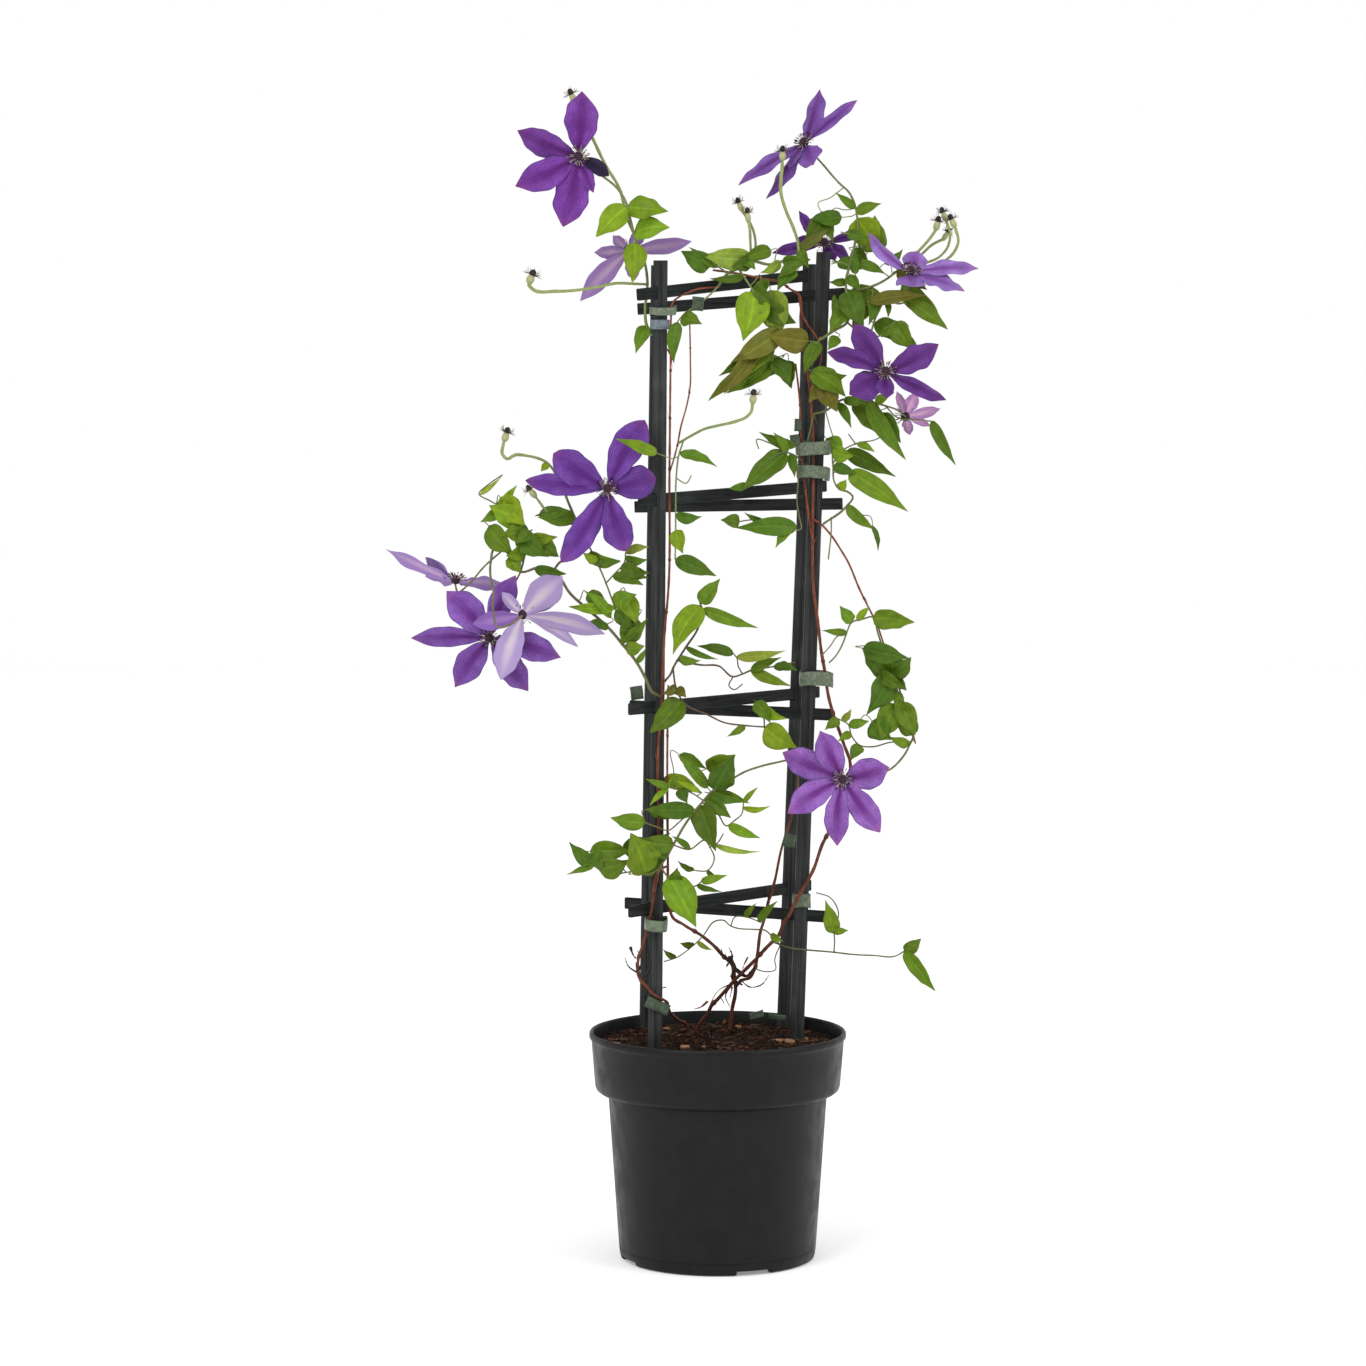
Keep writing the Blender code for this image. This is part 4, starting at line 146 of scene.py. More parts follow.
# Blooms: centre, the way it faces (x, y, z), and tepals as tip (across, up, depth) and width.
BLOOMS = {
    "bloom_01": ((-12.32, 98.22, -7.5), (0.0, -1.0, 0.05), (
        (-11.99, 103.94, -7.9, 2.95), (-17.7, 100.5, -7.9, 2.3), (-17.9, 95.6, -7.7, 2.7),
        (-13.67, 92.03, -7.9, 3.0), (-10.96, 95.03, -7.7, 1.3), (-9.6, 96.5, -7.9, 1.3),
    )),
    "bloom_02": ((7.66, 99.37, 0.0), (-0.5, -0.6, 0.5), (
        (8.92, 104.1, 1.5, 1.7), (12.23, 103.15, -0.5, 1.1), (8.4, 97.5, -2.8, 2.3),
        (1.75, 95.7, -0.8, 1.4), (4.2, 94.5, 1.2, 1.3), (6.2, 97.2, -1.4, 0.9),
    )),
    "bloom_03": ((-7.9, 90.0, -4.2), (-0.05, 0.98, 0.1), (
        (-10.95, 89.8, -3.9, 1.2), (-9.3, 91.3, -3.8, 1.0), (-12.2, 85.5, -4.2, 1.8),
        (-2.3, 90.8, -3.9, 1.4), (-7.4, 87.3, -3.9, 1.3), (-6.6, 92.0, -3.8, 1.2),
    )),
    "bloom_04": ((9.3, 90.6, 2.2), (0.1, -0.88, 0.42), (
        (7.1, 93.5, 2.4, 1.0), (6.8, 91.0, 1.5, 0.9), (4.7, 89.75, 2.6, 1.1),
        (10.4, 89.2, 1.0, 1.2), (11.6, 89.3, 3.0, 1.1), (14.2, 92.3, 2.6, 1.0),
    )),
    "bloom_05": ((16.98, 88.05, -2.2), (0.15, -0.6, 0.78), (
        (13.23, 91.6, -2.6, 1.1), (17.55, 89.95, -0.7, 2.2), (23.0, 88.4, -2.4, 1.2),
        (21.8, 86.4, -3.2, 1.2), (17.4, 86.8, -5.0, 2.6),
    )),
    "bloom_06": ((14.8, 79.25, -5.0), (0.07, -0.9, 0.43), (
        (9.65, 81.05, -5.2, 1.6), (12.0, 83.55, -4.6, 2.3), (19.5, 81.75, -4.8, 2.3),
        (20.2, 76.8, -5.6, 1.4), (14.9, 77.0, -7.2, 1.6), (11.6, 77.3, -6.0, 2.6),
    )),
    "bloom_07": ((16.6, 75.35, -0.5), (0.05, 0.99, -0.05), (
        (15.8, 77.6, -0.3, 0.8), (17.6, 77.5, -0.2, 1.2), (19.7, 76.05, -0.5, 1.0),
        (18.85, 74.5, -0.6, 0.7), (17.0, 73.7, -0.7, 0.9),
    )),
    "bloom_08": ((-9.79, 68.97, -8.0), (0.0, -1.0, 0.1), (
        (-14.6, 72.1, -8.2, 2.9), (-17.1, 69.7, -8.0, 1.9), (-13.9, 62.4, -8.3, 2.4),
        (-8.2, 63.4, -8.4, 2.6), (-5.5, 69.95, -8.6, 2.9), (-6.47, 75.05, -8.2, 2.9),
    )),
    "bloom_09": ((-23.3, 60.7, -5.5), (0.1, 0.25, 0.96), (
        (-29.45, 63.6, -5.8, 1.3), (-25.95, 62.9, -5.0, 1.4), (-18.6, 60.3, -5.4, 1.2),
        (-21.4, 61.0, -3.4, 1.4), (-26.0, 61.2, -3.6, 1.3),
    )),
    "bloom_10": ((-20.3, 55.7, -7.0), (0.0, -1.0, 0.1), (
        (-27.3, 55.7, -7.3, 1.8), (-23.4, 51.3, -7.4, 2.5), (-16.85, 50.95, -7.4, 2.4),
        (-13.95, 53.95, -7.3, 2.4), (-24.1, 59.9, -7.2, 2.9), (-17.95, 61.3, -7.2, 2.2),
    )),
    "bloom_11": ((-17.35, 57.75, -8.9), (0.1, 0.95, 0.2), (
        (-13.8, 61.2, -8.7, 2.8), (-10.0, 56.05, -8.9, 1.7), (-12.4, 54.9, -8.6, 1.0),
        (-19.3, 51.95, -8.9, 2.4), (-21.8, 56.95, -8.6, 1.7), (-19.2, 59.8, -8.7, 1.1),
    )),
    "bloom_12": ((11.1, 43.1, -5.5), (0.0, -1.0, 0.05), (
        (9.1, 47.45, -5.8, 2.5), (5.75, 45.5, -5.8, 2.6), (6.2, 40.0, -5.8, 2.5),
        (10.65, 37.1, -5.9, 2.2), (14.5, 38.3, -5.8, 2.4), (15.3, 44.15, -5.7, 2.8),
    )),
}

# Stalk routes of each shoot: start radius, end radius, points, and the bloom at its end.
STALKS = {
    "shoot_top_left": (
        (0.1, 0.07, (
            (-5.85, 82.6, -4.95), (-6.35, 83.5, -5.3), (-6.42, 85.0, -5.4), (-6.25, 87.3, -5.4),
            (-6.5, 89.0, -5.5), (-7.3, 91.0, -5.7), (-7.8, 93.0, -5.9), (-7.95, 93.7, -6.0),
            (-8.95, 95.5, -6.3), (-9.85, 96.25, -6.5), (-11.2, 97.2, -6.7),
        ), "bloom_01"),
        (0.07, 0.06, (
            (-7.3, 91.2, -5.7), (-8.05, 92.9, -5.5), (-8.7, 95.4, -5.2), (-9.95, 97.5, -5.2),
            (-10.96, 99.6, -5.4), (-12.6, 102.9, -6.0),
        )),
        (0.07, 0.06, (
            (-6.25, 87.0, -5.4), (-7.3, 87.05, -5.5), (-9.0, 87.1, -5.9), (-10.75, 86.75, -6.0),
            (-14.2, 86.4, -6.1), (-16.4, 86.6, -6.2), (-16.75, 87.0, -6.2),
        )),
        (0.07, 0.06, ((-6.5, 88.9, -5.45), (-7.2, 89.3, -5.0)), "bloom_03"),
    ),
    "shoot_top_centre": (
        (0.08, 0.06, (
            (0.3, 87.2, -2.0), (0.9, 88.0, -2.4), (1.8, 88.4, -2.4), (2.8, 89.0, -2.0),
            (4.65, 88.75, -1.4), (6.1, 89.1, -1.3), (6.9, 89.0, -1.5), (7.1, 90.15, -1.6),
            (6.65, 91.9, -1.7), (6.0, 93.4, -1.9), (5.55, 94.9, -2.1), (5.65, 97.7, -2.5),
        )),
        (0.06, 0.05, ((0.9, 88.0, -2.2), (-0.2, 88.6, -2.6), (-0.9, 88.5, -2.8))),
        (0.07, 0.05, (
            (1.8, 88.4, -2.4), (2.6, 87.2, -3.0), (3.4, 86.0, -3.2), (4.4, 84.6, -3.2),
            (4.9, 83.2, -3.1), (5.0, 81.5, -3.0), (4.7, 80.2, -2.9),
        )),
        (0.06, 0.05, (
            (2.9, 89.0, -2.0), (2.85, 90.5, -1.7), (2.75, 92.1, -1.6), (2.65, 92.6, -1.6),
        )),
        (0.06, 0.05, (
            (2.9, 89.2, -1.9), (3.3, 90.4, -1.1), (3.0, 92.0, -0.6), (2.1, 93.5, -0.6),
        )),
        (0.06, 0.05, (
            (0.5, 87.4, -2.1), (-0.6, 86.2, -3.9), (-1.8, 85.2, -4.6), (-2.9, 84.5, -5.7),
            (-3.6, 83.7, -7.1),
        )),
    ),
    "shoot_top_right": (
        (0.09, 0.06, (
            (9.3, 82.3, -2.3), (10.2, 82.9, -2.4), (11.4, 83.65, -2.2), (11.4, 85.5, -2.1),
            (11.3, 87.5, -1.9), (11.6, 88.6, -1.8), (12.0, 90.3, -1.9), (12.3, 92.0, -1.9),
            (12.25, 93.0, -1.8), (12.0, 94.15, -1.6), (11.55, 95.05, -1.4), (10.65, 95.9, -1.0),
            (9.15, 97.6, -0.2), (8.6, 98.2, 0.2),
        ), "bloom_02"),
        (0.07, 0.06, (
            (11.4, 83.65, -2.2), (12.4, 82.9, -2.4), (13.2, 82.6, -2.5), (14.0, 84.25, -2.4),
            (15.0, 85.7, -2.2), (15.9, 85.3, -2.2), (16.6, 85.5, -2.1), (16.9, 86.6, -2.0),
        ), "bloom_05"),
        (0.065, 0.05, (
            (11.3, 86.4, -1.95), (13.0, 86.65, -1.2), (14.6, 87.3, 0.0), (16.4, 88.7, 0.9),
            (17.7, 89.95, 1.1), (18.8, 91.2, 1.0), (19.2, 91.8, 0.9),
        )),
        (0.06, 0.05, ((16.4, 88.7, 0.9), (17.9, 89.6, 1.6), (18.9, 90.5, 1.8), (19.9, 91.0, 1.9))),
        (0.06, 0.05, (
            (15.6, 88.0, 0.5), (18.4, 88.9, 0.6), (19.5, 89.4, 0.9), (20.3, 90.4, 1.2),
            (20.45, 91.5, 1.3), (20.1, 92.6, 1.4),
        )),
        (0.06, 0.05, (
            (16.2, 88.4, 0.7), (18.5, 88.4, 0.1), (19.8, 88.95, 0.2), (20.8, 89.8, 0.3),
            (21.2, 90.8, 0.3), (20.95, 91.9, 0.3),
        )),
        (0.07, 0.06, (
            (12.1, 91.0, -1.9), (12.6, 90.4, -0.4), (12.3, 89.3, 1.4), (11.0, 88.8, 2.6),
            (9.9, 89.4, 2.7),
        ), "bloom_04"),
        (0.05, 0.04, ((11.6, 88.6, -1.8), (10.8, 88.95, -1.8), (10.0, 88.8, -1.9))),
        (0.05, 0.05, ((13.2, 82.6, -2.5), (14.0, 82.4, -2.6), (15.6, 83.7, -2.9))),
    ),
    "shoot_right_upper": (
        (0.08, 0.06, (
            (8.8, 75.6, -1.4), (9.6, 75.9, -1.9), (10.9, 76.8, -2.4), (12.2, 77.0, -2.6),
            (13.2, 76.7, -2.8), (14.8, 76.3, -2.6), (15.9, 75.9, -1.7), (16.4, 75.5, -1.1),
        ), "bloom_07"),
        (0.07, 0.06, ((13.2, 76.7, -2.8), (14.0, 77.6, -3.4), (14.6, 78.5, -4.2)), "bloom_06"),
        (0.06, 0.05, ((9.6, 75.9, -1.9), (9.4, 77.4, -2.5), (8.9, 78.9, -2.7))),
        (0.05, 0.045, (
            (14.8, 76.3, -2.6), (16.0, 75.2, -3.0), (17.5, 75.1, -3.1), (19.2, 74.9, -3.1),
        )),
    ),
    "shoot_right_middle": (
        (0.08, 0.05, (
            (9.7, 66.2, -2.0), (11.3, 67.3, -2.0), (11.95, 68.3, -2.0), (11.5, 68.7, -2.0),
            (10.8, 68.9, -2.1), (10.3, 69.6, -2.1), (10.2, 70.8, -2.1), (10.1, 72.3, -2.2),
        )),
        (0.05, 0.04, (
            (10.2, 71.2, -2.1), (10.9, 72.25, -2.3), (12.35, 73.0, -2.1), (13.9, 73.3, -1.7),
            (14.7, 73.7, -1.4),
        )),
        (0.045, 0.04, ((12.2, 72.9, -2.1), (11.55, 73.8, -2.2))),
        (0.05, 0.045, ((10.0, 66.4, -2.0), (10.05, 65.2, -2.5), (9.8, 62.7, -2.4))),
    ),
    "shoot_middle_left": (
        (0.07, 0.055, (
            (-3.2, 73.0, -6.5), (-2.2, 73.75, -6.5), (-1.2, 74.25, -6.3), (0.0, 74.55, -6.2),
            (1.5, 74.9, -6.0), (2.5, 75.3, -6.0), (2.96, 75.8, -6.0), (3.05, 76.4, -6.0),
        )),
        (0.06, 0.05, (
            (-3.0, 73.1, -6.5), (-3.5, 71.8, -6.9), (-3.7, 69.9, -6.8), (-3.75, 67.0, -6.8),
            (-3.75, 64.5, -6.8), (-3.8, 62.7, -6.9),
        )),
        (0.045, 0.04, ((-3.7, 69.9, -6.8), (-2.8, 69.45, -7.0), (-2.35, 70.15, -7.0))),
    ),
    "shoot_middle_right": (
        (0.07, 0.05, (
            (7.1, 71.5, -1.5), (6.6, 72.0, -2.2), (6.0, 72.2, -2.5), (4.9, 71.8, -2.9),
            (3.6, 70.6, -3.3), (2.4, 69.3, -3.5),
        )),
        (0.045, 0.04, ((6.0, 72.2, -2.5), (4.6, 73.0, -2.7), (3.4, 73.3, -2.9), (3.6, 72.5, -3.0))),
        (0.05, 0.045, (
            (6.9, 71.7, -1.8), (7.1, 69.65, -2.1), (7.0, 67.85, -2.0), (7.2, 66.55, -1.9),
            (7.4, 65.5, -2.1), (5.0, 65.9, -2.9), (2.9, 66.2, -3.1), (1.6, 66.0, -3.1),
        )),
    ),
    "shoot_left": (
        (0.1, 0.07, (
            (-5.3, 50.5, -7.5), (-5.85, 50.9, -7.6), (-6.45, 52.15, -7.5), (-7.2, 53.5, -7.4),
            (-8.4, 55.05, -7.2), (-9.9, 56.8, -7.0), (-11.8, 58.45, -6.8), (-13.3, 59.9, -6.6),
            (-13.9, 60.9, -6.5), (-14.6, 61.7, -6.4), (-15.95, 61.95, -6.2), (-17.5, 61.6, -6.1),
            (-18.3, 62.6, -6.2), (-19.0, 63.6, -6.3), (-19.8, 63.65, -6.4), (-20.15, 62.55, -7.2),
            (-20.2, 61.3, -8.3), (-19.95, 59.9, -9.2), (-19.95, 58.05, -9.5),
            (-19.55, 56.7, -9.6), (-18.7, 56.8, -9.6),
        ), "bloom_11"),
        (0.06, 0.06, ((-17.5, 61.6, -6.1), (-18.6, 59.5, -5.4), (-19.8, 57.0, -6.0)), "bloom_10"),
        (0.06, 0.06, (
            (-19.0, 63.6, -6.3), (-20.8, 62.0, -6.6), (-22.2, 60.4, -6.7), (-23.1, 59.8, -6.2),
        ), "bloom_09"),
        (0.08, 0.07, (
            (-14.6, 61.7, -6.4), (-13.95, 62.5, -6.4), (-12.85, 62.7, -6.5),
            (-11.5, 64.75, -6.6), (-10.6, 67.0, -6.8), (-10.0, 68.3, -7.1),
        ), "bloom_08"),
        (0.07, 0.055, (
            (-11.5, 64.75, -6.6), (-12.4, 65.9, -6.2), (-13.2, 67.6, -5.9), (-14.0, 69.6, -5.9),
            (-15.2, 71.3, -6.0), (-17.0, 71.9, -6.0), (-18.0, 71.95, -6.0), (-18.7, 71.6, -6.0),
            (-19.1, 72.0, -6.0), (-19.0, 73.0, -6.0),
        )),
        (0.06, 0.05, (
            (-12.4, 65.9, -6.2), (-13.0, 65.85, -6.3), (-14.1, 66.3, -6.4), (-15.2, 67.0, -6.5),
            (-15.9, 67.9, -6.5),
        )),
        (0.065, 0.05, (
            (-17.5, 61.6, -6.1), (-17.2, 62.8, -6.1), (-16.9, 64.0, -6.1), (-16.9, 65.4, -6.1),
            (-17.6, 66.2, -6.1), (-19.0, 67.2, -6.2),
        )),
        (0.045, 0.04, (
            (-19.0, 67.2, -6.2), (-20.2, 67.9, -6.2), (-21.2, 68.5, -6.2), (-20.4, 69.3, -6.3),
            (-19.1, 70.2, -6.3),
        )),
        (0.06, 0.05, (
            (-11.7, 64.4, -6.6), (-10.7, 62.4, -6.8), (-9.75, 60.1, -6.9), (-9.1, 58.2, -7.0),
        )),
        (0.05, 0.045, ((-9.9, 60.6, -6.9), (-9.0, 61.6, -7.0), (-8.3, 62.4, -7.1), (-8.2, 63.3, -7.1))),
    ),
    "shoot_centre": (
        (0.08, 0.06, (
            (-4.5, 51.8, -7.3), (-4.2, 52.5, -7.4), (-3.9, 53.2, -7.4), (-3.6, 53.7, -7.4),
            (-2.8, 54.95, -7.2), (-1.85, 56.4, -7.0), (-1.35, 58.2, -6.8), (-1.6, 58.8, -6.8),
        )),
        (0.065, 0.05, (
            (-3.6, 53.7, -7.4), (-1.5, 53.3, -6.6), (0.1, 53.2, -5.8), (1.35, 52.25, -5.2),
            (2.2, 52.5, -4.8), (2.9, 52.8, -4.4), (4.0, 53.0, -3.8), (5.2, 53.2, -3.2),
            (6.85, 53.55, -2.6),
        )),
        (0.065, 0.05, (
            (-4.0, 53.0, -7.4), (-3.7, 51.2, -7.5), (-3.1, 50.0, -7.3), (-0.9, 48.85, -6.2),
            (0.6, 48.15, -5.2), (2.4, 47.9, -4.2), (4.3, 47.75, -3.2),
        )),
        (0.05, 0.045, ((4.15, 47.8, -3.3), (4.1, 48.6, -3.3), (3.75, 49.5, -3.4), (3.2, 50.2, -3.4))),
        (0.045, 0.04, (
            (1.35, 52.25, -5.2), (1.0, 51.4, -5.5), (1.4, 51.1, -5.5), (2.2, 51.6, -5.3),
        )),
        (0.045, 0.04, ((2.2, 52.5, -4.8), (1.8, 53.2, -4.9), (1.7, 53.9, -4.9), (1.4, 54.3, -4.9))),
    ),
    "shoot_right_lower": (
        (0.07, 0.05, (
            (17.35, 46.5, -1.9), (16.6, 49.6, -1.8), (15.6, 51.9, -1.9), (14.9, 54.0, -2.0),
            (14.2, 56.2, -2.1), (13.7, 57.6, -2.2), (12.9, 57.4, -2.2), (11.9, 57.1, -2.0),
            (11.4, 56.0, -1.9), (11.1, 55.2, -1.9), (10.4, 54.0, -1.8), (9.9, 53.5, -1.7),
        )),
        (0.07, 0.06, (
            (17.3, 46.7, -1.9), (16.5, 45.1, -2.7), (15.4, 44.0, -3.6), (13.5, 43.3, -4.5),
            (11.9, 43.1, -4.9),
        ), "bloom_12"),
        (0.05, 0.045, (
            (17.2, 46.6, -2.0), (15.4, 46.4, -2.0), (13.8, 46.0, -2.1), (12.7, 46.1, -2.3),
            (11.9, 47.0, -2.7), (11.6, 48.0, -2.9), (10.7, 48.5, -3.0),
        )),
        (0.045, 0.04, ((11.4, 56.0, -1.9), (10.7, 55.9, -2.1), (10.0, 55.0, -2.3), (9.2, 54.1, -2.0))),
    ),
    "shoot_low": (
        (0.09, 0.06, (
            (-5.3, 34.6, -7.5), (-5.1, 35.3, -7.7), (-4.6, 36.1, -7.8), (-3.8, 37.5, -7.8),
            (-3.0, 38.9, -7.6), (-2.0, 40.3, -7.3), (-1.5, 40.9, -7.1), (-0.4, 42.1, -6.8),
            (1.0, 42.95, -6.2), (2.5, 43.8, -5.4), (4.0, 44.3, -4.6), (5.5, 44.65, -3.4),
            (6.5, 44.9, -2.4), (7.2, 45.2, -1.5),
        )),
        (0.05, 0.045, (
            (-1.9, 40.5, -7.2), (-2.6, 40.0, -6.9), (-3.6, 39.1, -7.2), (-4.4, 38.5, -7.4),
            (-5.4, 38.8, -7.6), (-6.5, 39.2, -7.8),
        )),
        (0.055, 0.045, (
            (-1.4, 41.0, -7.1), (0.0, 40.0, -7.3), (0.8, 38.9, -7.2), (1.5, 39.4, -7.1),
            (2.1, 39.9, -7.0), (2.3, 41.0, -6.9),
        )),
        (0.055, 0.045, (
            (-4.0, 37.2, -7.8), (-2.5, 36.8, -7.6), (-1.1, 37.6, -7.4), (-0.7, 37.0, -7.3),
            (-0.3, 36.0, -7.3), (-0.9, 34.9, -7.3), (-2.0, 34.9, -7.3), (-2.7, 35.0, -7.3),
        )),
        (0.05, 0.045, ((-0.7, 37.0, -7.3), (-0.1, 37.3, -7.2), (0.5, 38.2, -7.1))),
        (0.06, 0.045, (
            (-5.1, 35.3, -7.7), (-4.6, 34.5, -8.0), (-2.9, 33.4, -8.1), (-1.8, 33.6, -8.0),
            (-1.3, 34.1, -7.9),
        )),
        (0.06, 0.045, (
            (-5.1, 35.1, -7.7), (-6.0, 34.6, -8.0), (-7.5, 34.8, -8.2), (-9.1, 34.55, -8.2),
            (-10.1, 34.4, -8.2), (-10.6, 35.0, -8.2), (-11.2, 35.4, -8.2),
        )),
        (0.05, 0.045, ((-1.3, 41.2, -7.0), (-2.4, 41.9, -7.3), (-3.6, 42.3, -7.5), (-4.4, 42.4, -7.5))),
    ),
    "shoot_base": (
        (0.06, 0.045, (
            (5.3, 28.1, -0.5), (6.4, 27.95, -1.3), (8.0, 27.75, -1.8), (10.3, 27.55, -2.0),
            (12.0, 27.35, -2.0), (14.0, 27.25, -2.0), (15.9, 27.2, -2.0), (16.7, 27.65, -2.0),
        )),
        (0.05, 0.04, (
            (10.4, 27.55, -2.0), (10.45, 28.6, -2.2), (10.4, 29.6, -2.3), (10.8, 31.0, -2.4),
            (10.0, 32.5, -2.5), (8.8, 32.9, -2.5),
        )),
        (0.05, 0.04, (
            (5.5, 28.1, -0.7), (4.9, 28.9, -1.2), (4.3, 29.5, -1.3), (3.3, 29.6, -1.2),
            (1.6, 29.75, -1.2), (1.1, 29.95, -1.3), (0.6, 30.4, -1.3), (-0.1, 30.4, -1.4),
            (-1.4, 28.9, -1.3), (-2.0, 28.3, -1.6), (-2.6, 27.8, -2.0), (-3.6, 27.1, -2.6),
            (-4.8, 26.7, -3.3),
        )),
        (0.045, 0.04, ((1.2, 29.95, -1.3), (1.5, 30.7, -1.4), (2.6, 30.7, -1.4), (3.9, 30.2, -1.5))),
        (0.04, 0.04, (
            (5.5, 28.0, -0.7), (5.1, 26.8, -0.8), (5.2, 26.0, -0.8), (4.2, 25.8, -0.7),
            (3.5, 26.0, -0.6),
        )),
    ),
}

# Seed heads sit at the nearest stalk end: knob centre and whisker reach.
SEED_HEADS = {
    "shoot_top_left": ((-12.9, 103.6, -6.1, 0.42), (-16.45, 87.75, -6.2, 0.5)),
    "shoot_top_centre": ((2.6, 93.2, -1.6, 0.36), (1.85, 94.1, -0.6, 0.36), (5.67, 98.6, -2.6, 0.42)),
    "shoot_top_right": (
        (19.35, 92.45, 0.9, 0.42), (20.2, 91.5, 1.9, 0.34), (19.85, 93.25, 1.4, 0.36),
        (20.6, 92.65, 0.3, 0.4),
    ),
    "shoot_middle_left": ((3.13, 77.2, -6.0, 0.45),),
    "shoot_left": ((-18.73, 73.85, -6.0, 0.45), (-16.6, 68.8, -6.5, 0.4)),
}

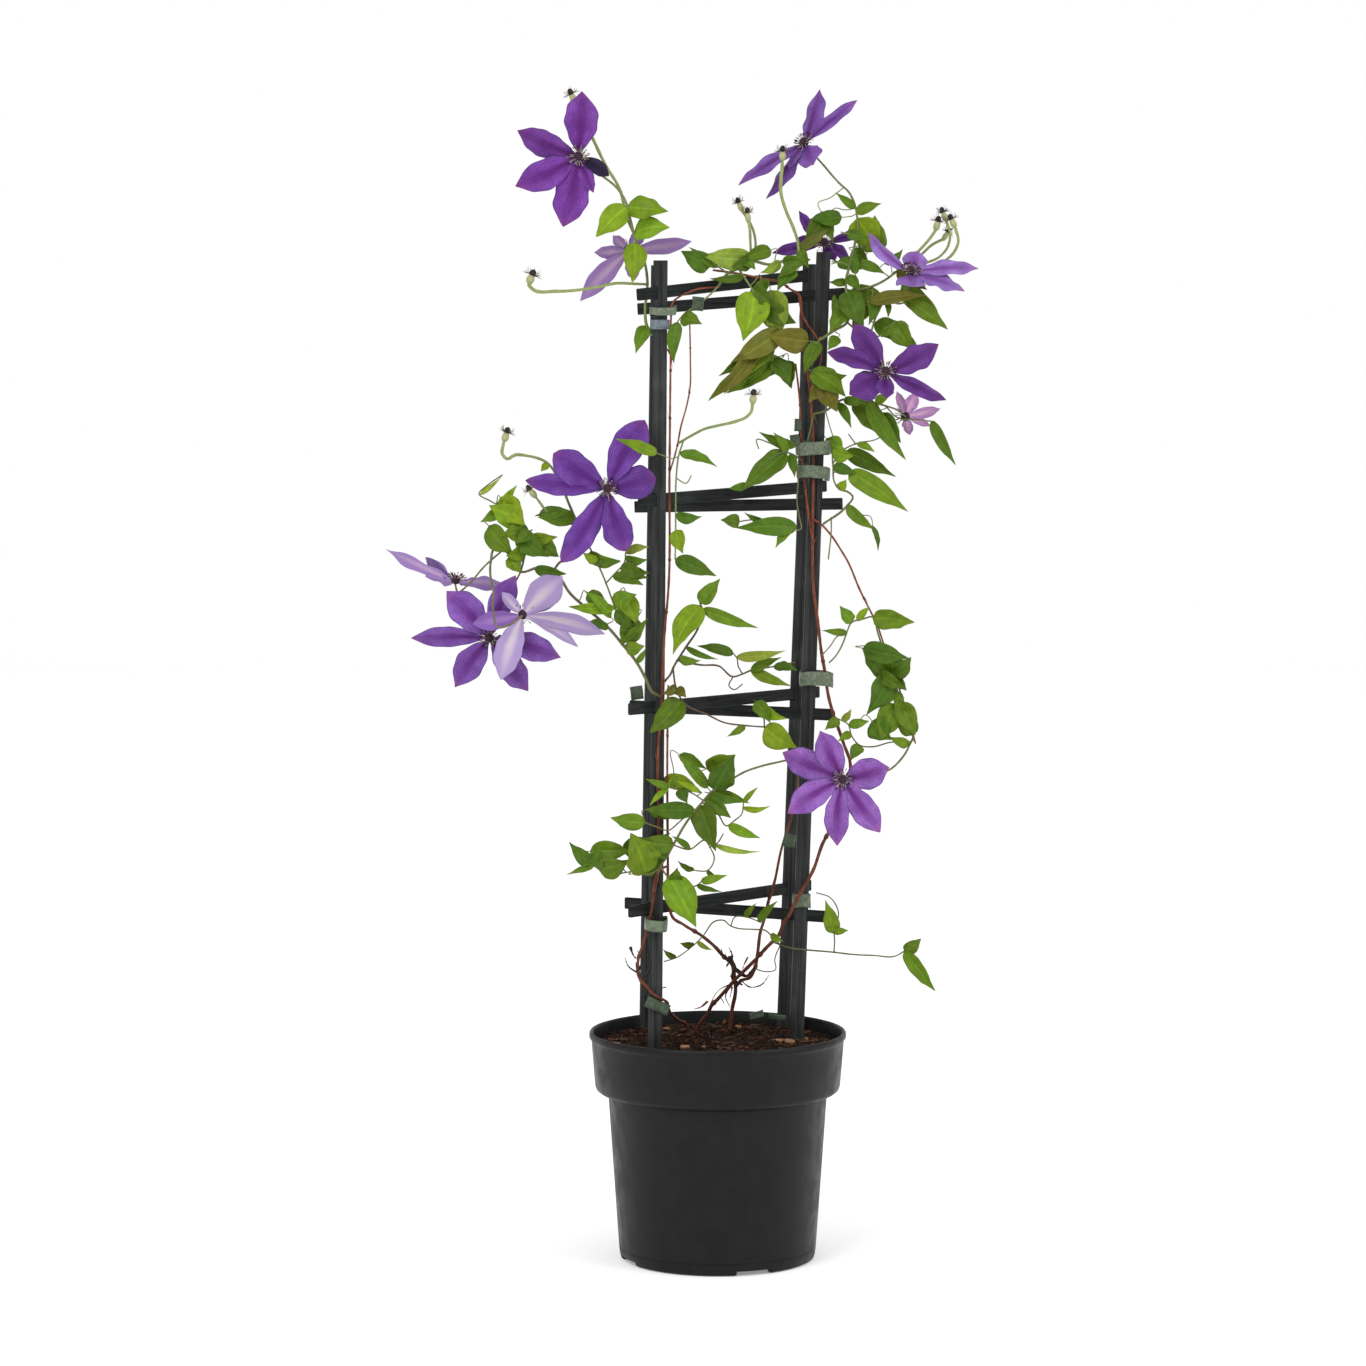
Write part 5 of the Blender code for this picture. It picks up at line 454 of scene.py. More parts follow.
# Leaves: base and tip (across, up, depth each), width, and age.
LEAVES = {
    "shoot_top_left": (
        (-8.35, 93.65, -6.2, -10.8, 91.15, -7.1, 2.3, "Y"), (-7.6, 94.0, -6.1, -4.4, 93.4, -6.8, 2.1, "Y"),
        (-7.4, 91.5, -6.1, -4.25, 92.0, -6.9, 2.1, "Y"), (-7.4, 90.65, -6.3, -7.6, 87.1, -7.5, 2.2, "Y"),
        (-6.4, 83.2, -5.6, -7.3, 80.9, -6.2, 1.3, "M"),
    ),
    "shoot_top_centre": (
        (-0.7, 88.4, -2.8, -3.3, 89.95, -3.3, 2.0, "D"), (0.2, 88.9, -2.5, -2.6, 90.3, -2.9, 0.8, "M"),
        (2.7, 89.3, -2.3, -1.5, 89.6, -3.3, 2.1, "P"), (3.0, 88.8, -2.4, 1.2, 88.5, -3.0, 1.3, "D"),
        (2.4, 87.8, -2.9, -0.8, 87.5, -3.4, 0.8, "D"), (5.5, 89.2, -1.6, 3.7, 88.0, -2.2, 1.0, "P"),
        (7.2, 88.9, -1.8, 5.2, 87.5, -2.5, 1.2, "D"), (2.9, 86.2, -3.3, 2.2, 82.0, -4.2, 3.2, "Y"),
        (4.4, 85.2, -3.3, 6.9, 83.6, -3.8, 1.8, "D"), (3.1, 86.8, -3.2, 5.0, 84.9, -3.7, 1.6, "D"),
        (5.6, 82.9, -3.3, 1.1, 80.1, -4.2, 2.2, "B"), (3.6, 81.9, -3.5, -0.8, 76.9, -4.3, 1.6, "B"),
        (4.8, 81.4, -3.2, 0.5, 77.3, -3.7, 1.2, "M"), (4.5, 79.8, -3.1, 2.2, 77.9, -3.6, 1.5, "D"),
        (4.8, 80.3, -3.0, 6.4, 78.1, -3.4, 1.7, "D"), (7.2, 90.1, -1.8, 9.8, 91.9, -2.7, 1.0, "B"),
        (7.3, 90.2, -1.8, 8.0, 88.4, -2.1, 1.0, "D"), (-3.6, 83.6, -7.2, -3.9, 80.0, -7.7, 1.3, "D"),
        (-3.1, 84.4, -6.4, -1.4, 83.5, -7.3, 1.5, "M"),
    ),
    "shoot_top_right": (
        (12.0, 93.7, -1.8, 10.3, 95.1, -2.3, 0.8, "M"), (12.5, 93.4, -1.9, 14.4, 94.1, -2.5, 1.1, "M"),
        (12.2, 92.8, -1.6, 13.9, 90.0, -0.9, 2.9, "Y"), (10.9, 92.9, -1.5, 8.0, 92.7, -1.7, 1.5, "D"),
        (11.3, 91.5, -2.7, 13.3, 91.1, -2.9, 1.0, "D"), (14.7, 88.8, -0.6, 16.3, 90.1, -0.7, 0.9, "D"),
        (12.1, 87.9, -2.3, 12.15, 90.1, -2.6, 0.9, "D"), (12.3, 88.9, -2.2, 14.8, 87.9, -2.7, 1.0, "D"),
        (11.5, 87.7, -2.2, 12.6, 86.5, -2.7, 1.1, "D"), (11.1, 87.2, -2.1, 9.8, 87.2, -2.4, 0.8, "D"),
        (11.5, 86.5, -2.3, 12.85, 83.1, -3.2, 2.4, "D"), (13.6, 86.1, -2.0, 13.3, 83.4, -3.0, 1.2, "D"),
        (13.3, 85.5, -2.6, 18.5, 86.0, -3.5, 1.3, "B"),
        (16.9, 85.6, -2.6, 20.35, 83.0, -3.3, 1.5, "M"), (14.2, 82.5, -2.8, 16.9, 83.4, -3.1, 0.9, "M"),
        (15.7, 83.6, -3.0, 17.2, 81.3, -3.3, 2.0, "M"), (11.2, 84.9, -2.3, 9.8, 82.6, -3.0, 1.6, "M"),
        (10.6, 82.4, -2.6, 9.7, 81.2, -2.9, 1.1, "M"), (8.9, 82.0, -3.0, 7.6, 79.1, -3.5, 1.4, "D"),
    ),
    "shoot_right_upper": (
        (8.9, 78.7, -2.8, 10.55, 75.75, -3.2, 2.2, "B"), (8.8, 78.4, -2.8, 8.0, 76.6, -3.1, 1.3, "B"),
        (9.2, 78.7, -2.8, 11.4, 79.0, -3.3, 1.3, "M"), (11.1, 76.8, -2.6, 13.3, 76.4, -3.2, 0.9, "D"),
        (13.2, 76.4, -2.9, 16.65, 71.5, -3.6, 1.6, "M"), (14.5, 75.7, -2.8, 16.2, 73.0, -2.7, 1.4, "D"),
        (14.0, 76.7, -3.0, 15.3, 77.2, -3.3, 0.9, "Y"), (18.9, 75.0, -3.2, 21.1, 71.0, -3.4, 1.1, "D"),
        (10.6, 76.5, -2.5, 11.8, 74.3, -3.0, 0.9, "D"),
    ),
    "shoot_right_middle": (
        (10.2, 72.3, -2.3, 12.0, 71.85, -2.8, 1.6, "Y"),
        (10.4, 71.0, -2.2, 12.4, 70.3, -2.7, 1.1, "D"), (11.6, 70.5, -2.4, 16.9, 66.9, -3.0, 2.0, "M"),
        (10.7, 68.6, -2.2, 11.4, 69.8, -2.5, 0.9, "Y"), (11.2, 67.6, -2.3, 14.0, 65.3, -2.8, 1.1, "M"),
    ),
    "shoot_middle_left": (
        (-3.4, 72.2, -6.9, -0.05, 70.9, -7.3, 1.0, "M"), (-3.7, 66.6, -6.9, -1.4, 66.5, -7.3, 1.1, "D"),
        (-3.7, 65.3, -7.0, -3.1, 63.2, -7.5, 1.5, "Y"), (-3.7, 62.7, -7.0, -0.1, 61.2, -7.4, 1.6, "D"),
        (-5.4, 72.1, -8.9, -9.1, 73.4, -9.6, 1.1, "M"),
    ),
    "shoot_middle_right": (
        (6.3, 72.4, -2.6, 4.9, 73.95, -3.0, 0.9, "M"), (6.1, 72.1, -2.6, 1.9, 68.65, -3.6, 2.1, "D"),
        (6.6, 72.2, -2.5, 6.8, 70.0, -2.9, 0.9, "D"),
        (7.1, 65.4, -2.5, 1.5, 65.5, -3.5, 1.8, "D"), (6.4, 65.3, -2.6, 5.1, 63.7, -3.0, 1.0, "M"),
        (1.9, 66.2, -3.2, 0.2, 66.2, -3.5, 1.3, "D"),
    ),
    "shoot_left": (
        (-12.6, 66.4, -6.3, -16.0, 66.45, -7.0, 1.4, "D"),
        (-19.1, 67.5, -6.3, -17.8, 69.3, -6.6, 0.8, "Y"), (-17.3, 66.0, -6.3, -20.3, 67.5, -7.0, 2.3, "Y"),
        (-19.2, 67.0, -6.4, -21.1, 66.0, -6.7, 1.1, "M"), (-16.9, 65.0, -6.4, -19.3, 64.8, -7.0, 2.0, "M"),
        (-16.6, 65.2, -6.5, -17.9, 64.1, -7.2, 1.3, "D"), (-16.7, 64.1, -6.4, -14.2, 64.7, -6.9, 1.4, "M"),
        (-16.7, 63.8, -6.4, -14.3, 62.9, -6.9, 1.2, "D"), (-17.0, 63.4, -6.4, -18.8, 63.0, -6.8, 1.5, "M"),
        (-16.3, 61.8, -6.4, -13.4, 61.4, -7.0, 1.1, "D"), (-10.5, 62.6, -6.9, -12.0, 63.3, -7.3, 0.9, "Y"),
        (-10.5, 62.5, -6.9, -8.6, 62.6, -7.3, 0.8, "D"), (-8.3, 63.3, -7.2, -6.1, 63.8, -7.6, 0.8, "P"),
        (-8.1, 62.8, -7.2, -6.2, 62.7, -7.5, 0.9, "D"), (-8.6, 61.9, -7.1, -6.0, 61.5, -7.5, 1.4, "D"),
        (-9.1, 61.0, -7.0, -6.6, 60.4, -7.4, 1.1, "D"), (-9.5, 57.5, -7.1, -11.9, 59.9, -7.6, 1.0, "M"),
        (-9.6, 58.2, -7.1, -13.3, 58.5, -7.6, 1.1, "Y"), (-9.0, 58.6, -7.2, -7.2, 59.6, -7.6, 1.8, "M"),
        (-9.2, 57.8, -7.2, -7.3, 56.4, -7.7, 1.3, "D"), (-8.0, 55.3, -7.4, -6.2, 57.5, -7.8, 1.2, "D"),
        (-8.1, 54.9, -7.4, -6.5, 55.0, -7.8, 1.4, "M"), (-9.6, 56.7, -7.2, -11.6, 57.2, -7.6, 0.8, "D"),
    ),
    "shoot_centre": (
        (-1.5, 58.9, -6.9, 0.2, 61.0, -7.3, 1.5, "M"), (-1.7, 58.5, -7.0, -4.0, 54.2, -8.0, 2.3, "Y"),
        (-1.1, 58.4, -6.9, 3.6, 56.6, -7.5, 1.2, "M"), (1.3, 54.3, -5.0, -1.9, 55.0, -5.6, 1.0, "D"),
        (-3.5, 53.9, -7.5, -1.5, 53.7, -7.7, 0.9, "M"),
        (-3.8, 51.4, -7.6, -4.9, 50.7, -8.1, 0.9, "B"), (-3.6, 51.2, -7.6, -2.8, 50.4, -8.1, 1.0, "B"),
        (-3.5, 49.9, -7.6, -6.1, 47.2, -8.3, 2.3, "D"), (1.8, 54.1, -5.0, 6.1, 54.6, -5.2, 1.0, "P"),
        (2.9, 53.2, -4.6, 5.7, 54.0, -4.8, 0.9, "D"), (5.0, 53.1, -3.4, 7.1, 52.8, -3.8, 0.9, "D"),
        (3.0, 52.7, -4.5, 6.6, 51.4, -4.9, 1.0, "M"), (3.9, 49.8, -3.6, 6.2, 48.5, -4.1, 1.1, "Y"),
        (3.3, 50.0, -3.5, 4.7, 48.1, -4.1, 1.4, "M"), (4.2, 47.6, -3.4, 7.1, 45.9, -3.9, 2.4, "Y"),
    ),
    "shoot_right_lower": (
        (11.8, 57.2, -2.1, 10.8, 58.6, -2.5, 1.2, "M"),
        (13.9, 57.5, -2.3, 17.5, 57.1, -2.9, 1.9, "M"),
        (15.3, 52.5, -2.1, 12.8, 54.8, -2.8, 2.0, "D"), (15.5, 52.5, -2.1, 17.2, 54.0, -2.6, 1.9, "D"),
        (15.1, 52.3, -2.1, 13.2, 48.8, -3.0, 2.5, "D"), (15.7, 52.0, -2.1, 16.8, 51.0, -2.5, 1.1, "D"),
        (16.2, 51.0, -2.0, 15.9, 49.4, -2.5, 0.9, "M"),
        (15.9, 49.8, -2.2, 14.5, 46.6, -3.1, 2.5, "M"), (17.2, 46.9, -2.0, 15.6, 50.6, -2.7, 1.9, "M"),
        (17.0, 46.3, -2.1, 15.2, 46.9, -2.6, 1.0, "M"), (11.7, 47.9, -3.0, 13.5, 48.3, -3.4, 0.9, "M"),
        (10.8, 48.4, -3.1, 9.5, 47.5, -3.5, 1.0, "M"), (11.7, 47.2, -2.9, 10.7, 46.5, -3.3, 0.8, "M"),
        (12.7, 46.0, -2.5, 11.8, 44.7, -3.1, 1.2, "M"),
    ),
    "shoot_low": (
        (-6.5, 39.2, -7.9, -9.6, 39.65, -8.3, 1.6, "M"), (-6.4, 34.5, -8.2, -7.8, 38.3, -9.1, 3.1, "M"),
        (-4.1, 37.3, -8.0, -6.9, 37.7, -8.6, 1.8, "M"), (-10.4, 35.1, -8.3, -7.8, 35.9, -8.8, 2.2, "D"),
        (-10.6, 35.2, -8.3, -10.5, 37.0, -8.6, 1.5, "D"), (-11.1, 35.6, -8.3, -13.3, 37.5, -8.6, 1.4, "D"),
        (-2.3, 40.5, -7.5, -6.5, 40.4, -8.0, 1.6, "D"),
        (-3.4, 42.2, -7.6, -2.7, 40.9, -8.0, 1.2, "D"), (-0.4, 42.4, -7.0, 1.5, 45.3, -7.5, 2.4, "D"),
        (-0.9, 42.3, -7.0, -3.6, 45.3, -7.3, 1.1, "M"), (-1.4, 40.6, -7.3, -0.15, 36.6, -8.0, 2.3, "D"),
        (-0.9, 41.2, -7.2, 1.2, 39.6, -7.8, 1.5, "D"), (-0.5, 41.5, -7.2, 2.2, 41.0, -7.6, 0.9, "D"),
        (1.0, 38.9, -7.3, 3.85, 37.8, -7.6, 1.0, "Y"),
        (-4.4, 36.3, -8.0, -5.9, 36.2, -8.5, 0.9, "D"),
        (-1.5, 33.9, -8.0, 0.9, 34.5, -8.3, 0.8, "Y"), (-4.6, 34.0, -8.2, -1.9, 29.75, -9.1, 2.9, "Y"),
        (-3.7, 33.9, -8.1, -3.6, 35.2, -8.5, 1.2, "D"),
    ),
    "shoot_base": (
        (10.6, 29.2, -2.4, 9.6, 32.3, -2.9, 1.5, "M"),
        (16.6, 27.8, -2.1, 18.2, 28.8, -2.5, 1.3, "M"), (16.7, 27.6, -2.1, 19.5, 24.0, -2.5, 1.4, "M"),
        (4.7, 29.0, -1.4, 5.9, 28.5, -1.9, 0.8, "M"),
        (3.6, 30.3, -1.6, 5.4, 32.2, -2.4, 0.8, "M"),
    ),
}

TINY_LEAVES = {
    "shoot_top_right": (
        (15.0, 85.5, -2.4, 15.0, 84.0, -2.6, 0.6, "D"),
    ),
    "shoot_right_middle": (
        (12.4, 72.9, -2.2, 13.9, 72.2, -2.6, 0.7, "Y"), (13.7, 65.7, -2.7, 14.2, 63.4, -3.0, 0.5, "D"),
    ),
    "shoot_middle_right": (
        (2.6, 69.3, -3.5, 0.9, 69.0, -3.7, 0.7, "D"), (4.2, 66.3, -3.1, 2.3, 66.9, -3.3, 0.6, "D"),
    ),
    "shoot_left": (
        (-15.0, 71.3, -6.1, -15.7, 70.5, -6.5, 0.7, "Y"), (-10.6, 57.3, -7.1, -12.4, 56.0, -7.5, 0.7, "M"),
        (-7.0, 53.6, -7.6, -6.4, 54.8, -7.9, 0.6, "M"),
    ),
    "shoot_centre": (
        (-2.7, 54.8, -7.3, 0.1, 53.8, -6.9, 0.6, "D"), (2.5, 47.9, -4.3, 0.8, 46.9, -4.8, 0.7, "M"),
    ),
    "shoot_right_lower": (
        (12.3, 57.3, -2.3, 13.5, 58.5, -2.7, 0.7, "Y"), (11.2, 56.3, -2.0, 9.2, 56.4, -2.5, 0.7, "M"),
        (15.5, 51.5, -2.2, 14.9, 49.5, -2.6, 0.7, "B"), (11.2, 48.4, -3.0, 11.9, 49.4, -3.3, 0.7, "P"),
    ),
    "shoot_low": (
        (-11.1, 35.3, -8.3, -13.5, 34.5, -8.5, 0.7, "M"), (-4.4, 42.2, -7.6, -6.1, 40.7, -7.9, 0.6, "Y"),
        (-4.4, 42.5, -7.6, -6.5, 43.15, -7.9, 0.7, "M"), (-4.1, 42.5, -7.6, -3.4, 43.5, -7.8, 0.5, "M"),
        (-1.6, 42.0, -7.3, -3.8, 43.0, -7.7, 0.6, "Y"), (2.4, 41.1, -7.0, 3.6, 42.4, -7.2, 0.5, "M"),
        (2.3, 40.5, -7.1, 4.7, 40.7, -7.4, 0.6, "Y"), (-0.2, 37.0, -7.4, 3.8, 36.6, -7.6, 0.6, "P"),
        (-2.4, 36.8, -7.7, -4.1, 38.0, -8.3, 0.6, "D"), (-2.1, 35.0, -7.4, -3.6, 35.8, -7.7, 0.6, "D"),
        (-1.0, 35.0, -7.4, 0.2, 34.1, -7.7, 0.5, "D"), (-1.9, 33.5, -8.1, 0.4, 33.0, -8.4, 0.6, "D"),
    ),
    "shoot_base": (
        (10.5, 29.3, -2.3, 11.7, 29.5, -2.6, 0.7, "M"), (2.4, 30.8, -1.5, 3.5, 32.0, -1.8, 0.6, "M"),
        (-2.1, 28.3, -1.8, -3.4, 28.4, -2.1, 0.7, "D"), (-1.8, 28.5, -1.6, -0.4, 27.7, -1.9, 0.5, "P"),
        (-3.7, 27.2, -2.8, -4.9, 27.8, -3.1, 0.6, "M"),
    ),
}

ROOTS = {
    "shoot_top_left": "stem_left", "shoot_top_centre": "stem_left", "shoot_top_right": "stem_right",
    "shoot_right_upper": "stem_right", "shoot_right_middle": "stem_right",
    "shoot_middle_left": "stem_left", "shoot_middle_right": "stem_right", "shoot_left": "stem_left",
    "shoot_centre": "stem_left", "shoot_right_lower": "stem_right", "shoot_low": "stem_left",
    "shoot_base": "stem_right",
}


# Leaves that thicken the foliage, in the same form as the leaves above.
MORE_LEAVES = {
    "shoot_top_centre": (
        (4.6, 86.5, -2.9, 5.4, 82.2, -3.3, 2.9, "P"), (8.0, 82.0, -3.4, 4.2, 82.6, -3.8, 2.4, "B"),
        (3.8, 79.8, -3.2, -0.9, 76.7, -3.8, 1.3, "M"), (4.2, 79.4, -3.0, 0.7, 77.4, -3.4, 1.2, "M"),
        (2.9, 81.1, -3.4, 0.0, 78.9, -3.8, 1.1, "D"), (5.6, 80.5, -2.6, 3.1, 78.3, -3.0, 1.8, "D"),
        (6.2, 80.3, -2.4, 6.5, 77.8, -2.8, 1.6, "D"), (2.0, 89.4, -2.0, 3.3, 88.3, -2.3, 1.2, "D"),
        (4.7, 90.0, -1.8, 2.0, 89.1, -2.2, 1.4, "D"), (5.6, 89.3, -1.6, 8.2, 89.2, -1.9, 1.3, "D"),
        (3.8, 87.4, -2.4, 4.2, 86.0, -2.8, 1.5, "D"), (6.9, 88.2, -1.8, 5.2, 86.4, -2.3, 1.3, "D"),
    ),
    "shoot_top_right": (
        (9.8, 93.1, -1.2, 7.6, 90.5, -1.8, 1.9, "D"), (9.1, 93.4, -1.0, 10.2, 90.7, -1.5, 1.5, "D"),
        (13.1, 89.8, 0.5, 13.8, 93.1, 0.4, 2.6, "M"), (11.8, 90.0, -0.5, 13.3, 88.9, -0.8, 1.4, "D"),
        (13.8, 86.9, -1.2, 11.8, 83.1, -1.6, 2.8, "M"), (11.8, 86.5, -0.6, 10.0, 83.8, -1.0, 2.0, "M"),
        (16.2, 86.9, -1.6, 20.2, 83.3, -1.8, 2.1, "M"), (15.8, 88.3, -1.0, 18.5, 86.5, -1.3, 1.6, "B"),
        (13.8, 83.6, -1.5, 17.6, 81.6, -1.9, 1.9, "M"), (10.5, 88.9, -0.6, 12.7, 88.3, -0.9, 1.3, "D"),
        (11.8, 85.8, -0.6, 14.2, 84.7, -0.9, 1.6, "M"),
    ),
    "shoot_right_upper": (
        (8.2, 79.4, -3.0, 11.3, 77.1, -3.4, 2.1, "M"), (12.2, 76.9, -1.4, 15.6, 73.0, -1.8, 2.2, "D"),
        (6.9, 72.7, -1.5, 3.6, 74.0, -1.8, 1.0, "D"), (9.6, 73.4, 0.4, 10.9, 71.8, 0.2, 1.9, "Y"),
        (11.3, 72.3, -0.8, 15.8, 70.0, -1.2, 1.6, "D"),
    ),
    "shoot_left": (
        (-19.3, 68.2, -6.2, -17.1, 65.7, -6.6, 2.5, "Y"), (-20.3, 65.7, -6.2, -18.2, 63.2, -6.6, 2.1, "M"),
        (-17.8, 65.0, -6.3, -15.0, 62.9, -6.7, 2.1, "D"), (-15.7, 64.7, -6.4, -14.1, 62.9, -6.8, 1.5, "D"),
        (-18.6, 62.9, -6.2, -17.5, 61.5, -6.5, 1.4, "M"), (-15.9, 66.6, -6.3, -13.0, 67.0, -6.6, 1.2, "D"),
        (-11.6, 63.1, -6.5, -8.6, 62.5, -6.9, 1.3, "M"), (-8.6, 62.3, -6.8, -6.1, 61.0, -7.2, 1.5, "D"),
        (-8.2, 59.7, -6.9, -7.1, 56.8, -7.3, 1.7, "Y"), (-7.2, 57.5, -7.2, -8.6, 55.0, -7.5, 1.9, "D"),
        (-11.6, 59.7, -6.5, -9.6, 58.3, -6.9, 1.4, "D"), (-21.1, 68.4, -6.2, -19.1, 70.1, -6.4, 0.44, "P"),
    ),
    "shoot_low": (
        (-1.0, 44.0, -5.6, 1.6, 45.3, -5.9, 2.2, "M"), (-3.4, 45.3, -5.6, -1.0, 44.0, -5.9, 1.1, "M"),
        (-8.4, 36.6, -6.8, -4.2, 38.3, -7.2, 2.4, "D"), (-7.5, 34.9, -6.8, -4.5, 37.0, -7.2, 2.0, "D"),
        (-11.4, 36.6, -6.6, -7.5, 36.6, -7.0, 1.9, "M"), (-6.2, 40.3, -6.8, -2.5, 40.7, -7.1, 1.4, "D"),
        (-0.6, 41.8, -5.4, 2.9, 40.9, -5.7, 1.0, "M"), (-4.9, 43.1, -6.0, -1.4, 41.8, -6.3, 1.5, "Y"),
    ),
    "shoot_right_lower": (
        (12.9, 54.8, -2.6, 17.0, 53.9, -3.0, 2.0, "D"), (13.7, 48.3, -2.8, 15.5, 46.6, -3.1, 2.2, "D"),
        (16.3, 50.0, -2.4, 17.6, 47.0, -2.8, 2.0, "M"), (14.4, 52.6, -2.5, 16.6, 51.3, -2.9, 1.4, "D"),
    ),
}

# Dry twigs, roots and wood shreds near the foot: start radius, end radius, tone, points.
TWIGS = (
    (0.09, 0.03, "dark", ((-7.8, 28.0, -6.2), (-7.5, 27.2, -6.3), (-7.1, 26.8, -6.3))),
    (0.12, 0.05, "dark", ((-7.2, 26.6, -6.3), (-7.0, 25.2, -6.3), (-6.4, 24.1, -6.2), (-4.6, 24.4, -5.8))),
    (0.07, 0.02, "dark", ((-7.0, 25.6, -6.3), (-8.0, 26.3, -6.2), (-8.3, 27.1, -6.2))),
    (0.06, 0.02, "dark", ((-6.9, 25.0, -6.3), (-6.1, 26.2, -6.6), (-6.3, 27.6, -6.6))),
    (0.07, 0.02, "dark", ((-6.6, 24.4, -6.2), (-6.0, 22.9, -6.0), (-5.6, 21.6, -5.6))),
    (0.16, 0.1, "dark", ((1.0, 27.1, 2.2), (1.5, 26.2, 2.1), (1.3, 25.2, 2.2), (2.2, 24.6, 2.0))),
    (0.14, 0.06, "dark", ((1.6, 26.0, 2.0), (2.6, 25.4, 1.8), (3.2, 26.1, 1.6))),
    (0.09, 0.03, "dark", ((1.4, 26.4, 2.0), (0.6, 27.0, 1.8), (0.3, 27.9, 1.7))),
    (0.07, 0.02, "dark", ((2.0, 25.1, 1.9), (2.9, 24.4, 1.8), (3.9, 24.6, 1.7), (4.6, 25.5, 1.6))),
    (0.06, 0.02, "dark", ((1.3, 24.6, 2.0), (0.7, 23.6, 1.8), (1.1, 22.6, 1.6))),
    (0.06, 0.02, "red", ((2.7, 27.1, 1.4), (2.4, 26.5, 1.5), (2.2, 26.0, 1.6))),
    (0.05, 0.02, "dark", ((1.3, 24.4, 1.6), (1.2, 23.9, 1.6), (1.1, 23.4, 1.6))),
    (0.05, 0.02, "dark", ((0.3, 23.4, 1.6), (0.5, 23.1, 1.6), (0.6, 22.9, 1.6))),
    (0.08, 0.03, "red", ((-0.9, 23.1, 0.6), (-1.5, 22.6, 0.6), (-2.1, 22.4, 0.6))),
    (0.04, 0.02, "dark", ((1.0, 24.6, 1.5), (0.2, 24.2, 1.4), (-0.6, 23.0, 1.2), (-1.0, 21.6, 1.0))),
    (0.12, 0.08, "red", ((-5.7, 33.0, -6.9), (-5.5, 34.0, -6.9), (-5.1, 35.0, -6.8), (-4.5, 35.3, -6.6))),
    (0.1, 0.04, "dark", ((0.8, 26.3, 2.1), (1.3, 27.2, 2.0), (1.0, 28.0, 1.9))),
    (0.08, 0.03, "dark", ((-7.1, 25.9, -6.3), (-6.7, 26.9, -6.4), (-7.2, 27.7, -6.4))),
)

# Scraps of tape: middle (across, up, depth), width, height, and turns about Z and about the view.
SCRAPS = (
    (-5.4, 22.7, -6.9, 2.2, 1.0, 8.0, 24.0), (-1.8, 85.3, -5.2, 1.0, 1.2, -12.0, 6.0),
    (-7.2, 50.8, -6.3, 1.1, 1.2, 20.0, -8.0), (6.4, 37.6, -1.4, 1.2, 1.2, -10.0, 12.0),
    (3.5, 21.9, -2.6, 1.3, 0.6, 15.0, -14.0), (5.3, 21.7, -2.4, 1.6, 0.5, -20.0, 5.0),
    (7.1, 74.6, -1.5, 0.7, 1.1, 10.0, 4.0), (6.8, 73.3, -1.5, 0.8, 0.9, -14.0, -9.0),
)

# Sockets of a mix node for colours: its share and two colours, and its result.
MIX_INPUTS = (0, 6, 7)
MIX_OUTPUT = 2

# Longest steps along stalks and stems, and along small strands.
ROUTE_STEP = 0.3
FINE_STEP = 0.25

# How fine the knots of a strand are, and how far its rounded ends reach, in radii.
KNOT_SCALE = 1.7
CAP_REACH = 0.6

# Share of a full turn between one whisker or stamen and the next, so that they never line up.
GOLDEN_SHARE = 0.381966
HAIR_SIDES = 4

# Leaf stalks shorter than the first aren't drawn, and leaves longer than the second get a finer grid.
SHORT_PETIOLE = 0.5
LONG_LEAF = 3.4

# Leaves: largest roll in radians, least share of the width that counts as shown, and arch as a
# share of the length.
MOST_ROLL = 0.45
LEAST_SHOWN = 0.55
LEAF_ARCH = (0.02, 0.1)

# Where a leaf's edge is waved: share of the half width, and places along a short and a long leaf.
WAVE_SHARE = 0.65
SHORT_STATIONS = (0.3, 0.68)
LONG_STATIONS = (0.16, 0.42, 0.72)

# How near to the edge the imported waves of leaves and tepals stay.
EDGE_POWER = 1.5

# Leaf stalks: share and most of the length that bends towards the leaf, place and sag of the
# middle, how far they run into the leaf, and their radius with its factors at both ends.
PETIOLE_BEND = 0.4
LONGEST_BEND = 0.8
PETIOLE_MIDDLE = 0.55
PETIOLE_SAG = 0.06
PETIOLE_INTO = 0.25
PETIOLE_RADIUS = 0.05
PETIOLE_FACTORS = (1.1, 0.8)
PETIOLE_TONE = 1.15

# Stalks: faces, knots, swellings where they branch, and how those under a seed head are thicker.
STALK_SIDES = 7
STALK_KNOTS = 0.18
STALK_NODE = (1.7, 4.0)
STALK_NODE_TONE = 0.75
HEAD_STALK = 1.2
HEAD_STALK_STOUT = 1.9
HEAD_STALK_TAPER = 0.75

# Tepals: rise of the middle, how much less it is where they face forward, and where they start.
TEPAL_ARCH = 0.3
TEPAL_CUP = 3.0
TEPAL_ROOT = 0.14

# Where stalks end behind a bloom's middle, and their gap to the wood that they leave.
HUB_BACK = -0.12
STALK_CLEARANCE = 0.09
STALK_GAP = 0.03

# Necks of seed heads: gap to the knob, longest one that is drawn, and radii.
NECK_GAP = 0.3
NECK_LIMIT = 2.6
NECK_RADII = (0.08, 0.11)

# Litter on the compost: room left at the pot's wall, lifts, and the form of crumbs and fibres.
CRUMB_MARGIN = 0.3
FIBRE_MARGIN = 0.9
CHIP_MARGIN = 1.0
CRUMB_LIFT = 0.02
CHIP_LIFT = 0.1
LEAST_RISE = 0.2
CRUMB_SIDES = 5
BOW_RISE = 0.3

